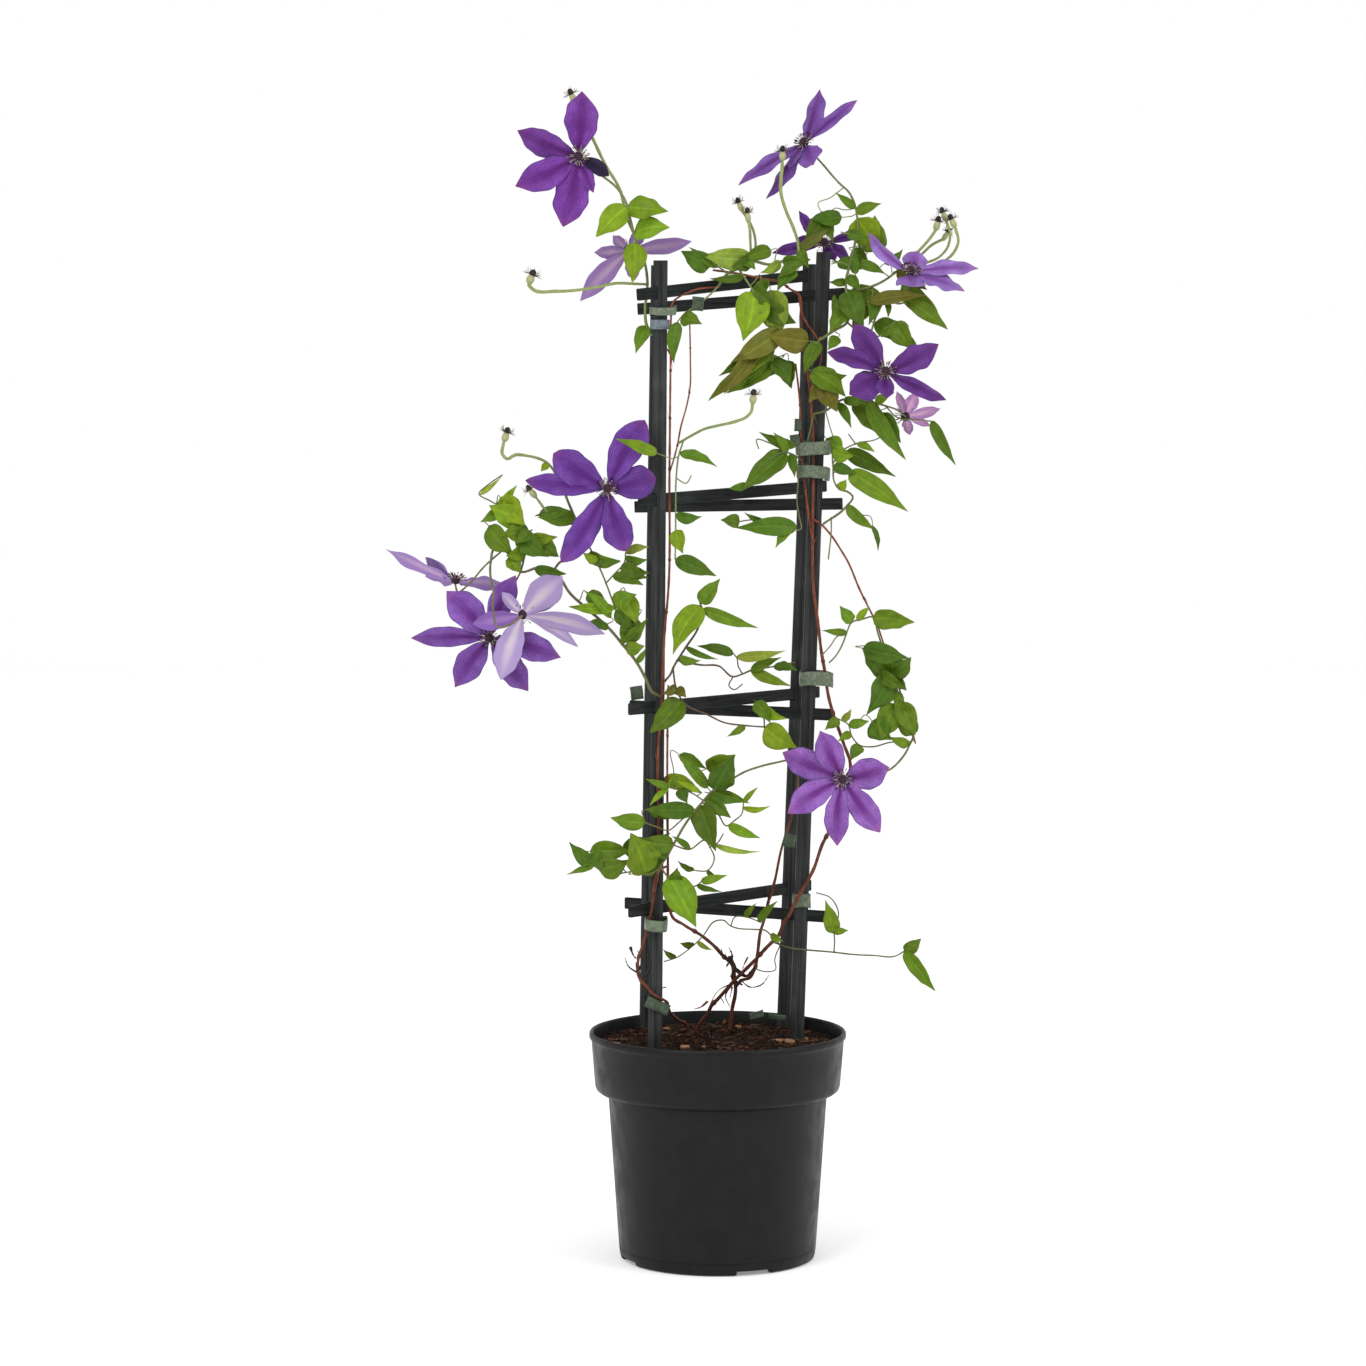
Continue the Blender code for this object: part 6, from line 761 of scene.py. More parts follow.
# Colours, linear RGB.
PEAT = (0.05, 0.03, 0.02)
EARTH_TONES = ((0.02, 0.009, 0.006), (0.01, 0.005, 0.004), (0.036, 0.016, 0.01), (0.062, 0.03, 0.018))
FIBRE_TONES = ((0.15, 0.08, 0.05), (0.05, 0.024, 0.015), (0.26, 0.17, 0.12))
CHIP_TONES = ((0.085, 0.036, 0.02), (0.045, 0.019, 0.011), (0.03, 0.013, 0.008), (0.14, 0.065, 0.035))
TAPE_TINT = (0.15, 0.2, 0.16)
SCRAP_TINT = (0.14, 0.17, 0.12)
STRIP_TONE = (0.3, 0.13, 0.06)
EDGE_RUST = (0.16, 0.09, 0.03)
BLOOM_STALK = (0.15, 0.13, 0.06)
HEAD_STALK_TONE = (0.27, 0.31, 0.1)
NECK_TONES = ((0.16, 0.21, 0.055), (0.22, 0.28, 0.08))
HEAD_TONES = ((0.24, 0.3, 0.09), (0.5, 0.48, 0.27), (0.012, 0.009, 0.008))
WHISKER_TONES = ((0.06, 0.045, 0.03), (0.2, 0.17, 0.1))
BOSS_TONES = ((0.016, 0.005, 0.014), (0.034, 0.006, 0.024), (0.75, 0.63, 0.54))
OPEN_ANTHER = (0.42, 0.27, 0.2)


class Age(Enum):
    """How old a leaf is, which sets its colour, fold and waviness."""

    YOUNG = "Y"
    MID = "M"
    DARK = "D"
    BRONZE = "B"
    PALE = "P"


@dataclass(frozen=True)
class LeafHabit:
    """Colour and form that leaves of one age share.

    Args:
        colour: Upper side, linear RGB.
        fold: Lift of the edges as a share of the half width.
        wave: Height of the edge waves as a share of the half width.
    """

    colour: Colour
    fold: float
    wave: float


LEAF_HABITS = {
    Age.YOUNG: LeafHabit((0.175, 0.285, 0.017), 0.26, 0.12),
    Age.MID: LeafHabit((0.11, 0.19, 0.015), 0.36, 0.16),
    Age.DARK: LeafHabit((0.066, 0.128, 0.011), 0.4, 0.18),
    Age.BRONZE: LeafHabit((0.115, 0.12, 0.025), 0.4, 0.22),
    Age.PALE: LeafHabit((0.22, 0.29, 0.06), 0.28, 0.14),
}


@dataclass(frozen=True)
class BloomHue:
    """Colours of one bloom's tepals.

    Args:
        face: Upper side between bar and edge, linear RGB.
        bar: Upper side along the middle bar.
        back: Underside.
    """

    face: Colour
    bar: Colour
    back: Colour = (0.42, 0.31, 0.54)


VIOLET = BloomHue((0.13, 0.04, 0.255), (0.075, 0.011, 0.15))
PLUM = BloomHue((0.155, 0.037, 0.26), (0.08, 0.009, 0.13))
DEEP = BloomHue((0.125, 0.033, 0.215), (0.06, 0.008, 0.11))
ORCHID = BloomHue((0.26, 0.1, 0.4), (0.11, 0.014, 0.165))
LIGHT = BloomHue((0.27, 0.135, 0.43), (0.15, 0.04, 0.25), (0.27, 0.165, 0.39))
PALE = BloomHue((0.26, 0.1, 0.4), (0.11, 0.014, 0.165), (0.3, 0.225, 0.41))
MIXED = BloomHue((0.195, 0.075, 0.34), (0.095, 0.015, 0.165))
SHADED = BloomHue((0.2, 0.09, 0.3), (0.12, 0.02, 0.16), (0.235, 0.14, 0.33))
LILAC = BloomHue((0.36, 0.16, 0.46), (0.26, 0.07, 0.3), (0.42, 0.22, 0.46))
FOLDED = BloomHue((0.2, 0.085, 0.34), (0.11, 0.014, 0.165), (0.2, 0.1, 0.35))
WITHERED = BloomHue((0.022, 0.012, 0.045), (0.012, 0.006, 0.02))

BLOOM_HUES = {
    "bloom_01": PLUM, "bloom_02": MIXED, "bloom_03": SHADED, "bloom_04": DEEP, "bloom_05": LIGHT,
    "bloom_06": DEEP, "bloom_07": LILAC, "bloom_08": VIOLET, "bloom_09": LIGHT, "bloom_10": MIXED,
    "bloom_11": PALE, "bloom_12": ORCHID,
}

# How much rounder than the others the tepals of a bloom end.
BLUNT_TEPALS = {"bloom_08": 0.2, "bloom_06": 0.08, "bloom_11": 0.06}

# How far the tepals of a bloom are turned from its plane, so that they show as they do in the view.
BLOOM_LEANS = {"bloom_09": (0.0, 0.38, 0.0), "bloom_05": (0.0, -0.2, 0.0)}

OLIVE_STALK = (0.11, 0.12, 0.035)
BROWN_STALK = (0.075, 0.045, 0.02)
BARK_TONE = (0.48, 0.25, 0.14)
RED_WOOD = (0.235, 0.055, 0.022)
DARK_WOOD = (0.035, 0.018, 0.012)
TWIG_TONES = {"dark": DARK_WOOD, "red": RED_WOOD}

SHOOT_STALKS = {
    "shoot_top_left": (0.22, 0.28, 0.08), "shoot_top_centre": (0.16, 0.19, 0.05),
    "shoot_top_right": (0.16, 0.2, 0.05), "shoot_right_upper": OLIVE_STALK,
    "shoot_right_middle": OLIVE_STALK, "shoot_middle_left": (0.14, 0.2, 0.05),
    "shoot_middle_right": OLIVE_STALK, "shoot_left": (0.1, 0.1, 0.035),
    "shoot_centre": BROWN_STALK, "shoot_right_lower": (0.12, 0.12, 0.035),
    "shoot_low": (0.12, 0.12, 0.03), "shoot_base": (0.09, 0.09, 0.03),
}


def seen(across: float, up: float, depth: float) -> Vector:
    """Finds the point that shows at a place of the front view.

    Args:
        across: Place to the right on the plane through the pot's axis, in centimetres.
        up: Height on that plane.
        depth: How far behind the plane the point lies.

    Returns:
        The point in centimetres.
    """
    reach = 1.0 - depth / EYE.y
    return EYE + (Vector((across, 0.0, up)) - EYE) * reach


def route(points: tuple) -> list[Vector]:
    """Returns the points of a stalk or stem in centimetres."""
    return [seen(*point) for point in points]


def smooth_route(points: list[Vector], spacing: float = ROUTE_STEP) -> list[Vector]:
    """Draws a smooth curve through the points of a route.

    Args:
        points: The route's own points.
        spacing: Longest step of the result.

    Returns:
        Points along the curve, with the route's own points among them.
    """
    if len(points) < 3:
        points = [points[0], (points[0] + points[-1]) / 2, points[-1]]
    steps = [max((b - a).length, 1e-4) for a, b in zip(points, points[1:])]
    slopes = [(b - a) / step for a, b, step in zip(points, points[1:], steps)]
    tangents = [slopes[0]]
    for i in range(1, len(points) - 1):
        weight = steps[i - 1] / (steps[i - 1] + steps[i])
        tangents.append(slopes[i - 1].lerp(slopes[i], weight))
    tangents.append(slopes[-1])
    curve = [points[0]]
    for i, step in enumerate(steps):
        count = max(1, math.ceil(step / spacing))
        for k in range(1, count + 1):
            t = k / count
            curve.append(
                points[i] * (2 * t**3 - 3 * t**2 + 1)
                + tangents[i] * step * (t**3 - 2 * t**2 + t)
                + points[i + 1] * (3 * t**2 - 2 * t**3)
                + tangents[i + 1] * step * (t**3 - t**2)
            )
    return curve


def nearest(point: Vector, lines: list[list[Vector]]) -> tuple[Vector, float]:
    """Finds the place on a set of lines that is nearest to a point.

    Args:
        point: Where to look from.
        lines: Polylines.

    Returns:
        The nearest place and its distance.
    """
    best, least = lines[0][0], math.inf
    for line in lines:
        for start, end in zip(line, line[1:]):
            step = end - start
            share = max(0.0, min(1.0, (point - start).dot(step) / max(step.length_squared, 1e-9)))
            spot = start + step * share
            if (point - spot).length < least:
                best, least = spot, (point - spot).length
    return best, least


def shaded(colour: Colour, factor: float) -> Colour:
    """Returns a colour made lighter or darker by a factor."""
    return tuple(max(0.0, channel * factor) for channel in colour)


def blended(first: Colour, second: Colour, share: float) -> Colour:
    """Returns the colour that lies this share of the way from the first to the second."""
    return tuple(a + (b - a) * share for a, b in zip(first, second))


def select_only(thing: bpy.types.Object) -> None:
    """Makes one object the active and only selected one.

    Args:
        thing: The object.
    """
    bpy.ops.object.select_all(action="DESELECT")
    thing.select_set(True)
    bpy.context.view_layer.objects.active = thing


def apply_all(thing: bpy.types.Object) -> None:
    """Applies every modifier of an object.

    Args:
        thing: The object.
    """
    select_only(thing)
    for modifier in list(thing.modifiers):
        bpy.ops.object.modifier_apply(modifier=modifier.name)


def hand_over(thing: bpy.types.Object, slot: str, *nodes: str) -> bpy.types.Object:
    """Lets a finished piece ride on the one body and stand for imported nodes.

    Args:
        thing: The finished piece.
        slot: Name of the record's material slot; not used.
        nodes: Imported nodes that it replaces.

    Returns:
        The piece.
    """
    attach(thing, "root")
    if nodes:
        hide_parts(*nodes)
    LOG.info("%s: %d faces", thing.name, len(thing.data.polygons))
    return thing


class Sheaf:
    """Gathers blades, strands and grains until they become one piece.

    Every point has a place in centimetres, a UV place and a tint, so that one material can colour
    many blades.
    """

    def __init__(self) -> None:
        """Starts empty."""
        self.points: list[Vector] = []
        self.places: list[tuple[float, float]] = []
        self.tints: list[Colour] = []
        self.faces: list[tuple[int, ...]] = []
        self.brush: dict[str, Colour] = {}
        self.brushed: list[dict[str, Colour]] = []

    def point(self, spot: Vector, place: tuple[float, float], tint: Colour) -> int:
        """Adds a point.

        Args:
            spot: Place in centimetres.
            place: Place on the UV map.
            tint: Colour at the point.

        Returns:
            The point's number.
        """
        self.points.append(spot)
        self.places.append(place)
        self.tints.append(tint)
        self.brushed.append(dict(self.brush))
        return len(self.points) - 1

    def face(self, *corners: int) -> None:
        """Adds a face through numbered points."""
        self.faces.append(corners)

    def close_round(self, low: int, rings: int, sides: int, ends: tuple[int, int]) -> None:
        """Joins rings of points into a closed round shape.

        Args:
            low: Number of the first point of the first ring.
            rings: How many rings there are.
            sides: Points in each ring.
            ends: Numbers of the points that close the first and the last ring.
        """
        top = low + (rings - 1) * sides
        for ring in range(low, top, sides):
            for step in range(sides):
                after = (step + 1) % sides
                self.face(ring + step, ring + after, ring + sides + after, ring + sides + step)
        for step in range(sides):
            after = (step + 1) % sides
            self.face(low + after, low + step, ends[0])
            self.face(top + step, top + after, ends[1])

    def strand(
        self, line: list[Vector], start: float, end: float, tint: Colour, sides: int = 6,
        tip_tint: Colour | None = None, knots: float = 0.0,
    ) -> None:
        """Adds a round strand that tapers and ends in rounded caps.

        Args:
            line: Points along the middle.
            start: Radius at the first point.
            end: Radius at the last point.
            tint: Colour at the start.
            sides: Faces round the strand.
            tip_tint: Colour at the end, the same as at the start when left out.
            knots: Share by which the radius swells and shrinks along the strand.
        """
        last = len(line) - 1
        turns = [(line[min(i + 1, last)] - line[max(i - 1, 0)]).normalized() for i in range(last + 1)]
        side = turns[0].orthogonal().normalized()
        travelled = 0.0
        low = len(self.points)
        for i, (spot, turn) in enumerate(zip(line, turns)):
            side = (side - turn * side.dot(turn)).normalized()
            up = turn.cross(side)
            share = i / last
            travelled += (spot - line[i - 1]).length if i else 0.0
            radius = start + (end - start) * share
            radius *= 1.0 + knots * noise.noise(spot * KNOT_SCALE)
            colour = blended(tint, tip_tint or tint, share)
            for step in range(sides):
                angle = math.tau * step / sides
                rim = spot + (side * math.cos(angle) + up * math.sin(angle)) * radius
                self.point(rim, (0.5 + 0.5 * math.cos(angle), travelled), colour)
        foot = self.point(line[0] - turns[0] * start * CAP_REACH, (0.5, 0.0), tint)
        head = self.point(line[-1] + turns[-1] * end * CAP_REACH, (0.5, travelled), tip_tint or tint)
        self.close_round(low, last + 1, sides, (foot, head))

    def bead(
        self, centre: Vector, axis: Vector, radius: float, height: float, tint: Colour,
        sides: int = 8, rows: int = 4, top_tint: Colour | None = None,
    ) -> None:
        """Adds an egg-shaped bead.

        Args:
            centre: Middle of the bead.
            axis: The way its long axis points.
            radius: Largest radius.
            height: Length along the axis.
            tint: Colour at the foot.
            sides: Faces round the axis.
            rows: Rings between the poles.
            top_tint: Colour at the top, the same as at the foot when left out.
        """
        axis = axis.normalized()
        side = axis.orthogonal().normalized()
        up = axis.cross(side)
        low = len(self.points)
        for row in range(1, rows + 1):
            angle = math.pi * row / (rows + 1)
            level = -math.cos(angle) * height / 2
            reach = math.sin(angle) * radius
            colour = blended(tint, top_tint or tint, row / rows)
            for step in range(sides):
                turn = math.tau * (step + 0.5 * (row % 2)) / sides
                rim = centre + axis * level + (side * math.cos(turn) + up * math.sin(turn)) * reach
                self.point(rim, (step / sides, row / rows), colour)
        foot = self.point(centre - axis * height / 2, (0.5, 0.0), tint)
        head = self.point(centre + axis * height / 2, (0.5, 1.0), top_tint or tint)
        self.close_round(low, rows, sides, (foot, head))

    def blade(self, grid: list[list[Vector]], tip: Vector, tints: list[list[Colour]]) -> None:
        """Adds a blade as one sheet whose upper side faces out.

        Args:
            grid: Rows of points from the foot, each from the left edge to the right edge.
            tip: The pointed end.
            tints: Colour of each point of the grid.
        """
        columns = len(grid[0]) - 1
        rows = len(grid)
        low = len(self.points)
        for i, line in enumerate(grid):
            for k, spot in enumerate(line):
                self.point(spot, (k / columns, i / rows), tints[i][k])
        end = self.point(tip, (0.5, 1.0), tints[-1][columns // 2])
        for i in range(rows - 1):
            ring = low + i * (columns + 1)
            for k in range(columns):
                self.face(ring + k, ring + k + 1, ring + columns + k + 2, ring + columns + k + 1)
        top = low + (rows - 1) * (columns + 1)
        for k in range(columns):
            self.face(top + k, top + k + 1, end)

    def piece(
        self, name: str, materials: list[bpy.types.Material], thickness: float = 0.0
    ) -> bpy.types.Object:
        """Makes the gathered shapes one object at the origin.

        Args:
            name: The piece's name.
            materials: Its materials; the second one is the underside of blades with a thickness.
            thickness: How thick sheets become, in centimetres, or nothing for closed shapes.

        Returns:
            The piece.
        """
        mesh = bpy.data.meshes.new(name)
        mesh.from_pydata([spot * CM for spot in self.points], [], self.faces)
        layer = mesh.uv_layers.new(name="UVMap")
        for loop in mesh.loops:
            layer.data[loop.index].uv = self.places[loop.vertex_index]
        tint = mesh.color_attributes.new("tint", "FLOAT_COLOR", "POINT")
        for i, colour in enumerate(self.tints):
            tint.data[i].color = (*colour, 1.0)
        for key in self.brush:
            layer = mesh.color_attributes.new(key, "FLOAT_COLOR", "POINT")
            for i, colours in enumerate(self.brushed):
                layer.data[i].color = (*colours[key], 1.0)
        for material in materials:
            mesh.materials.append(material)
        mesh.shade_smooth()
        thing = bpy.data.objects.new(name, mesh)
        bpy.context.scene.collection.objects.link(thing)
        if thickness:
            solid = thing.modifiers.new("Thickness", "SOLIDIFY")
            solid.thickness = thickness * CM
            solid.offset = -1.0
            solid.material_offset = 1
            apply_all(thing)
        return thing


@dataclass(frozen=True)
class Ramp:
    """A smooth step of a value.

    Args:
        low: Where it starts.
        high: Where it ends.
        before: Result before the start.
        after: Result after the end.
    """

    low: float
    high: float
    before: float = 0.0
    after: float = 1.0


@dataclass(frozen=True)
class Patches:
    """Soft patches over a surface.

    Args:
        scale: How fine they are.
        low: Noise value up to which their mask is empty.
        high: Noise value from which their mask is full.
    """

    scale: float
    low: float = 0.35
    high: float = 0.65


@dataclass(frozen=True)
class Relief:
    """How a height shows in a surface.

    Args:
        strength: Strength of the effect.
        distance: Height in metres.
    """

    strength: float
    distance: float


class Wires:
    """Adds nodes to a tree and links them, so that a finish reads as a few lines."""

    def __init__(self, tree: bpy.types.NodeTree) -> None:
        """Starts on a node tree."""
        self.tree = tree

    def node(self, kind: str, sockets: dict | None = None, **settings: object) -> bpy.types.Node:
        """Adds a node.

        Args:
            kind: Node type without its ShaderNode prefix.
            sockets: Values or links for named or numbered input sockets.
            settings: Node properties.

        Returns:
            The node.
        """
        made = self.tree.nodes.new("ShaderNode" + kind)
        for key, value in settings.items():
            setattr(made, key, value)
        for key, value in (sockets or {}).items():
            self.feed(made.inputs[key], value)
        return made

    def feed(self, socket: bpy.types.NodeSocket, value: object) -> None:
        """Sets a socket to a value or links it to another socket.

        Args:
            socket: An input socket.
            value: A value or another socket.
        """
        if isinstance(value, bpy.types.NodeSocket):
            self.tree.links.new(value, socket)
        else:
            socket.default_value = value

    def attribute(self, name: str) -> bpy.types.NodeSocket:
        """Returns a colour that the piece carries."""
        return self.node("Attribute", attribute_name=name).outputs["Color"]

    def math(self, operation: str, *values: object) -> bpy.types.NodeSocket:
        """Returns the result of a math node on values or sockets."""
        made = self.node("Math", dict(enumerate(values)), operation=operation)
        return made.outputs[0]

    def mix(
        self, share: object, first: object, second: object, blend: str = "MIX"
    ) -> bpy.types.NodeSocket:
        """Mixes two colours.

        Args:
            share: Share of the second colour.
            first: The colour without a share.
            second: The colour at a full share.
            blend: How the second colour meets the first.

        Returns:
            The mixed colour.
        """
        made = self.node("Mix", data_type="RGBA", blend_type=blend)
        for index, value in zip(MIX_INPUTS, (share, first, second)):
            self.feed(made.inputs[index], value)
        return made.outputs[MIX_OUTPUT]

    def cover(
        self, mask: object, share: float, first: object, second: object
    ) -> bpy.types.NodeSocket:
        """Returns the first colour, covered by a share of the second where a mask is full."""
        return self.mix(self.math("MULTIPLY", mask, share), first, second)

    def scaled(self, colour: object, factors: Colour) -> bpy.types.NodeSocket:
        """Returns a colour times a factor for each channel."""
        return self.mix(1.0, colour, (*factors, 1.0), "MULTIPLY")

    def ramp(self, value: object, *ends: object) -> bpy.types.NodeSocket:
        """Moves a value smoothly from one range to another.

        Args:
            value: What is moved.
            ends: Start and end of the first range, then of the second.

        Returns:
            The moved value.
        """
        made = self.node("MapRange", dict(enumerate((value, *ends))))
        made.interpolation_type = "SMOOTHSTEP"
        return made.outputs[0]

    def step(self, value: object, ramp: Ramp) -> bpy.types.NodeSocket:
        """Returns a value after a smooth step."""
        return self.ramp(value, ramp.low, ramp.high, ramp.before, ramp.after)

    def folded(self, value: object, middle: float) -> bpy.types.NodeSocket:
        """Returns how far a value lies from a middle."""
        return self.math("ABSOLUTE", self.math("SUBTRACT", value, middle))

    def across(self, value: object) -> bpy.types.NodeSocket:
        """Returns nothing at the middle of a UV map and one at its two sides."""
        return self.math("ABSOLUTE", self.math("MULTIPLY_ADD", value, 2.0, -1.0))


@dataclass(frozen=True)
class Gloss:
    """How a surface shines.

    Args:
        roughness: Roughness of the surface.
        specular: Specular level.
    """

    roughness: float
    specular: float


@dataclass(frozen=True)
class Plastic:
    """A plastic finish.

    Args:
        name: The material's name.
        colour: Its colour, linear RGB.
        gloss: How it shines.
        scale: How fine the patches of moulded plastic are.
        uneven: How far the roughness of moulded plastic varies.
        drawn: Factor of the streaks of drawn plastic along X, Y and Z.
    """

    name: str
    colour: Colour
    gloss: Gloss
    scale: float = 300.0
    uneven: float = 0.1
    drawn: tuple = ()


@dataclass(frozen=True)
class Grown:
    """A finish that takes its colour from the piece's tint.

    Args:
        name: The material's name.
        gloss: How it shines.
        scale: How fine its patches are.
        uneven: How far the patches darken the tint.
        height: Height of the patches in metres.
    """

    name: str
    gloss: Gloss
    scale: float
    uneven: float
    height: float = 0.0001


@dataclass(frozen=True)
class LeafSide:
    """One side of the leaves.

    Args:
        name: The material's name.
        gloss: How it shines.
        lift: Factor on the tint.
        vein: Factor on the tint along the veins, above one where they are pale and sunk.
    """

    name: str
    gloss: Gloss
    lift: float
    vein: float


POT_PLASTIC = Plastic("pot black", (0.0062, 0.0062, 0.0065), Gloss(0.42, 0.17), 60.0, 0.12)
CANE_PLASTIC = Plastic("cane anthracite", (0.027, 0.029, 0.028), Gloss(0.5, 0.16), drawn=(1.0, 1.0, 0.05))
# Rung plastic: the canes' anthracite with its streaks along the rung, painted darker as painted shade
# against the light that falls on the rungs' tops.
SHADED_RUNG_PLASTIC = Plastic("rung anthracite in painted shade", (0.018, 0.02, 0.019), Gloss(0.6, 0.06), drawn=(0.05, 0.05, 1.0))
TAPE_PLASTIC = Plastic("tie tape", (0.12, 0.148, 0.1), Gloss(0.35, 0.2))
# Scrap tape: the tie tape painted darker, as painted shade of tape that lies in shade.
SHADED_SCRAP_PLASTIC = Plastic("tape in painted shade", (0.055, 0.075, 0.048), Gloss(0.4, 0.15))
CLIP_PLASTIC = Plastic("tie clip", (0.115, 0.145, 0.165), Gloss(0.35, 0.3))
CRUMB_GROWN = Grown("crumb", Gloss(0.95, 0.1), 900.0, 0.5, 0.0012)
STALK_GROWN = Grown("stalk", Gloss(0.5, 0.4), 260.0, 0.2)
STAMEN_GROWN = Grown("stamen", Gloss(0.6, 0.3), 1500.0, 0.25)
LEAF_TOP = LeafSide("leaf top", Gloss(0.44, 0.15), 1.0, 1.5)
LEAF_UNDER = LeafSide("leaf under", Gloss(0.62, 0.15), 1.3, 0.8)

# Shared effects: defaults of their inputs, detail of their noise and their steps.
MOTTLE_INPUTS = {"Scale": 100.0, "Low": 0.35, "High": 0.65}
GRAIN_INPUTS = {"Scale": 900.0, "Along X": 1.0, "Along Y": 1.0, "Along Z": 0.05}
VEIN_INPUTS = {"Count": 7.0, "Slant": 3.2}
BAR_INPUTS = {"Width": 0.52, "Veins": 8.0}
MOTTLE_DETAIL = 4.0
FINE_DETAIL = 3.0
STREAK = Ramp(0.35, 0.65)
VEIN_BEND = 0.8
SIDE_VEIN = Ramp(0.0, 0.1, 0.35, 0.0)
OUTER_VEIN = Ramp(0.0, 0.08, 0.9, 0.0)
MIDRIB = Ramp(0.03, 0.13, 1.0, 0.0)
BAR_DRIFT_SCALE = 5.0
BAR_DRIFT = 0.22
BAR_CORE = 0.05
BAR_FADE = Ramp(0.35, 1.0, 1.0, 0.2)
TEPAL_LINE = Ramp(0.0, 0.3, 1.0, 0.0)
TEPAL_EDGE = Ramp(0.45, 1.0)
TEPAL_TIP = Ramp(0.8, 1.0)

# Moulded plastic: darker and lighter tone, pits and how they show.
MOULDED_TONES = (0.8, 1.25)
PITS_FINER = 40
PITS_RANGE = (0.3, 0.7)
MOULDED_RELIEF = Relief(0.12, 0.0003)

# Drawn plastic: tones of its streaks, and scuffs with their tone, share and change of roughness.
DRAWN_TONES = (0.62, 1.25)
DRAWN_SCALE = 420.0
DRAWN_RELIEF = Relief(0.35, 0.0004)
SCUFFS = Patches(38.0, 0.5, 0.75)
SCUFF_TONE = 2.0
SCUFF_SHARE = 0.5
SCUFF_ROUGHNESS = (-0.08, 0.12)

# Peat: its tones from dark to light, its lumps and grains.
PEAT_TONES = ((0.006, 0.0035, 0.0022), (0.026, 0.013, 0.008), (0.042, 0.022, 0.014))
PEAT_GLOSS = Gloss(0.95, 0.1)
PEAT_LUMPS = Patches(170.0, 0.3, 0.7)
PEAT_GRAINS = Patches(900.0, 0.3, 0.7)
PEAT_RELIEF = Relief(0.9, 0.002)
GROWN_RELIEF = 0.5

# Bark: strings along the stem, and patches where it is paler.
BARK_GLOSS = Gloss(0.62, 0.3)
BARK_SCALE = 1500.0
BARK_DRAWN = (1.0, 1.0, 0.06)
BARK_PATCHES = Patches(90.0)
BARK_PATCH_SHARE = 0.5
BARK_DARK = (0.45, 0.4, 0.4)
BARK_PALE = (1.5, 1.7, 1.6)
BARK_RELIEF = Relief(0.7, 0.0006)

# Leaves: clouds of shade, veins and rusty specks, each with its share of cover.
LEAF_CLOUDS = Patches(160.0, 0.3, 0.7)
LEAF_SPECKS = Patches(260.0, 0.7, 0.76)
LEAF_SHADE = (0.72, 0.78, 0.8)
LIFT_BLUE = 0.5
VEIN_BLUE = 1.5
VEIN_SHARE = 0.32
MIDRIB_SHARE = 0.4
SPECK_SHARE = 0.55
RUST = (0.05, 0.03, 0.012, 1.0)
LEAF_RELIEF = Relief(0.35, 0.0005)

# Upper side of a tepal: its patches, and factors on the tint with their share of cover.
TEPAL_GLOSS = Gloss(0.5, 0.14)
TEPAL_SHEEN = 0.03
TEPAL_PATCHES = Patches(120.0, 0.25, 0.75)
TEPAL_CLOUDS = Patches(75.0)
TEPAL_FLECKS = Patches(420.0, 0.3, 0.62)
EDGE_PALE = (1.25, 1.75, 1.35)
EDGE_SHARE = 0.6
PATCH_SHARE = 0.5
DUSK = (0.76, 0.66, 0.8)
LINE_SHARE = 0.75
BAR_SHARE = 0.92
TIP_PINK = (1.5, 1.25, 0.85)
TIP_SHARE = 0.5
TEPAL_RELIEF = Relief(0.6, 0.0009)

# Underside of a tepal.
BACK_GLOSS = Gloss(0.6, 0.12)
BACK_WIDTH = 0.55
BACK_PALE = (1.7, 1.95, 1.2)
BACK_DARK = (0.75, 0.7, 0.85)
BACK_LINE_SHARE = 0.25
BACK_BAR_SHARE = 0.8
BACK_RELIEF = Relief(0.2, 0.0003)


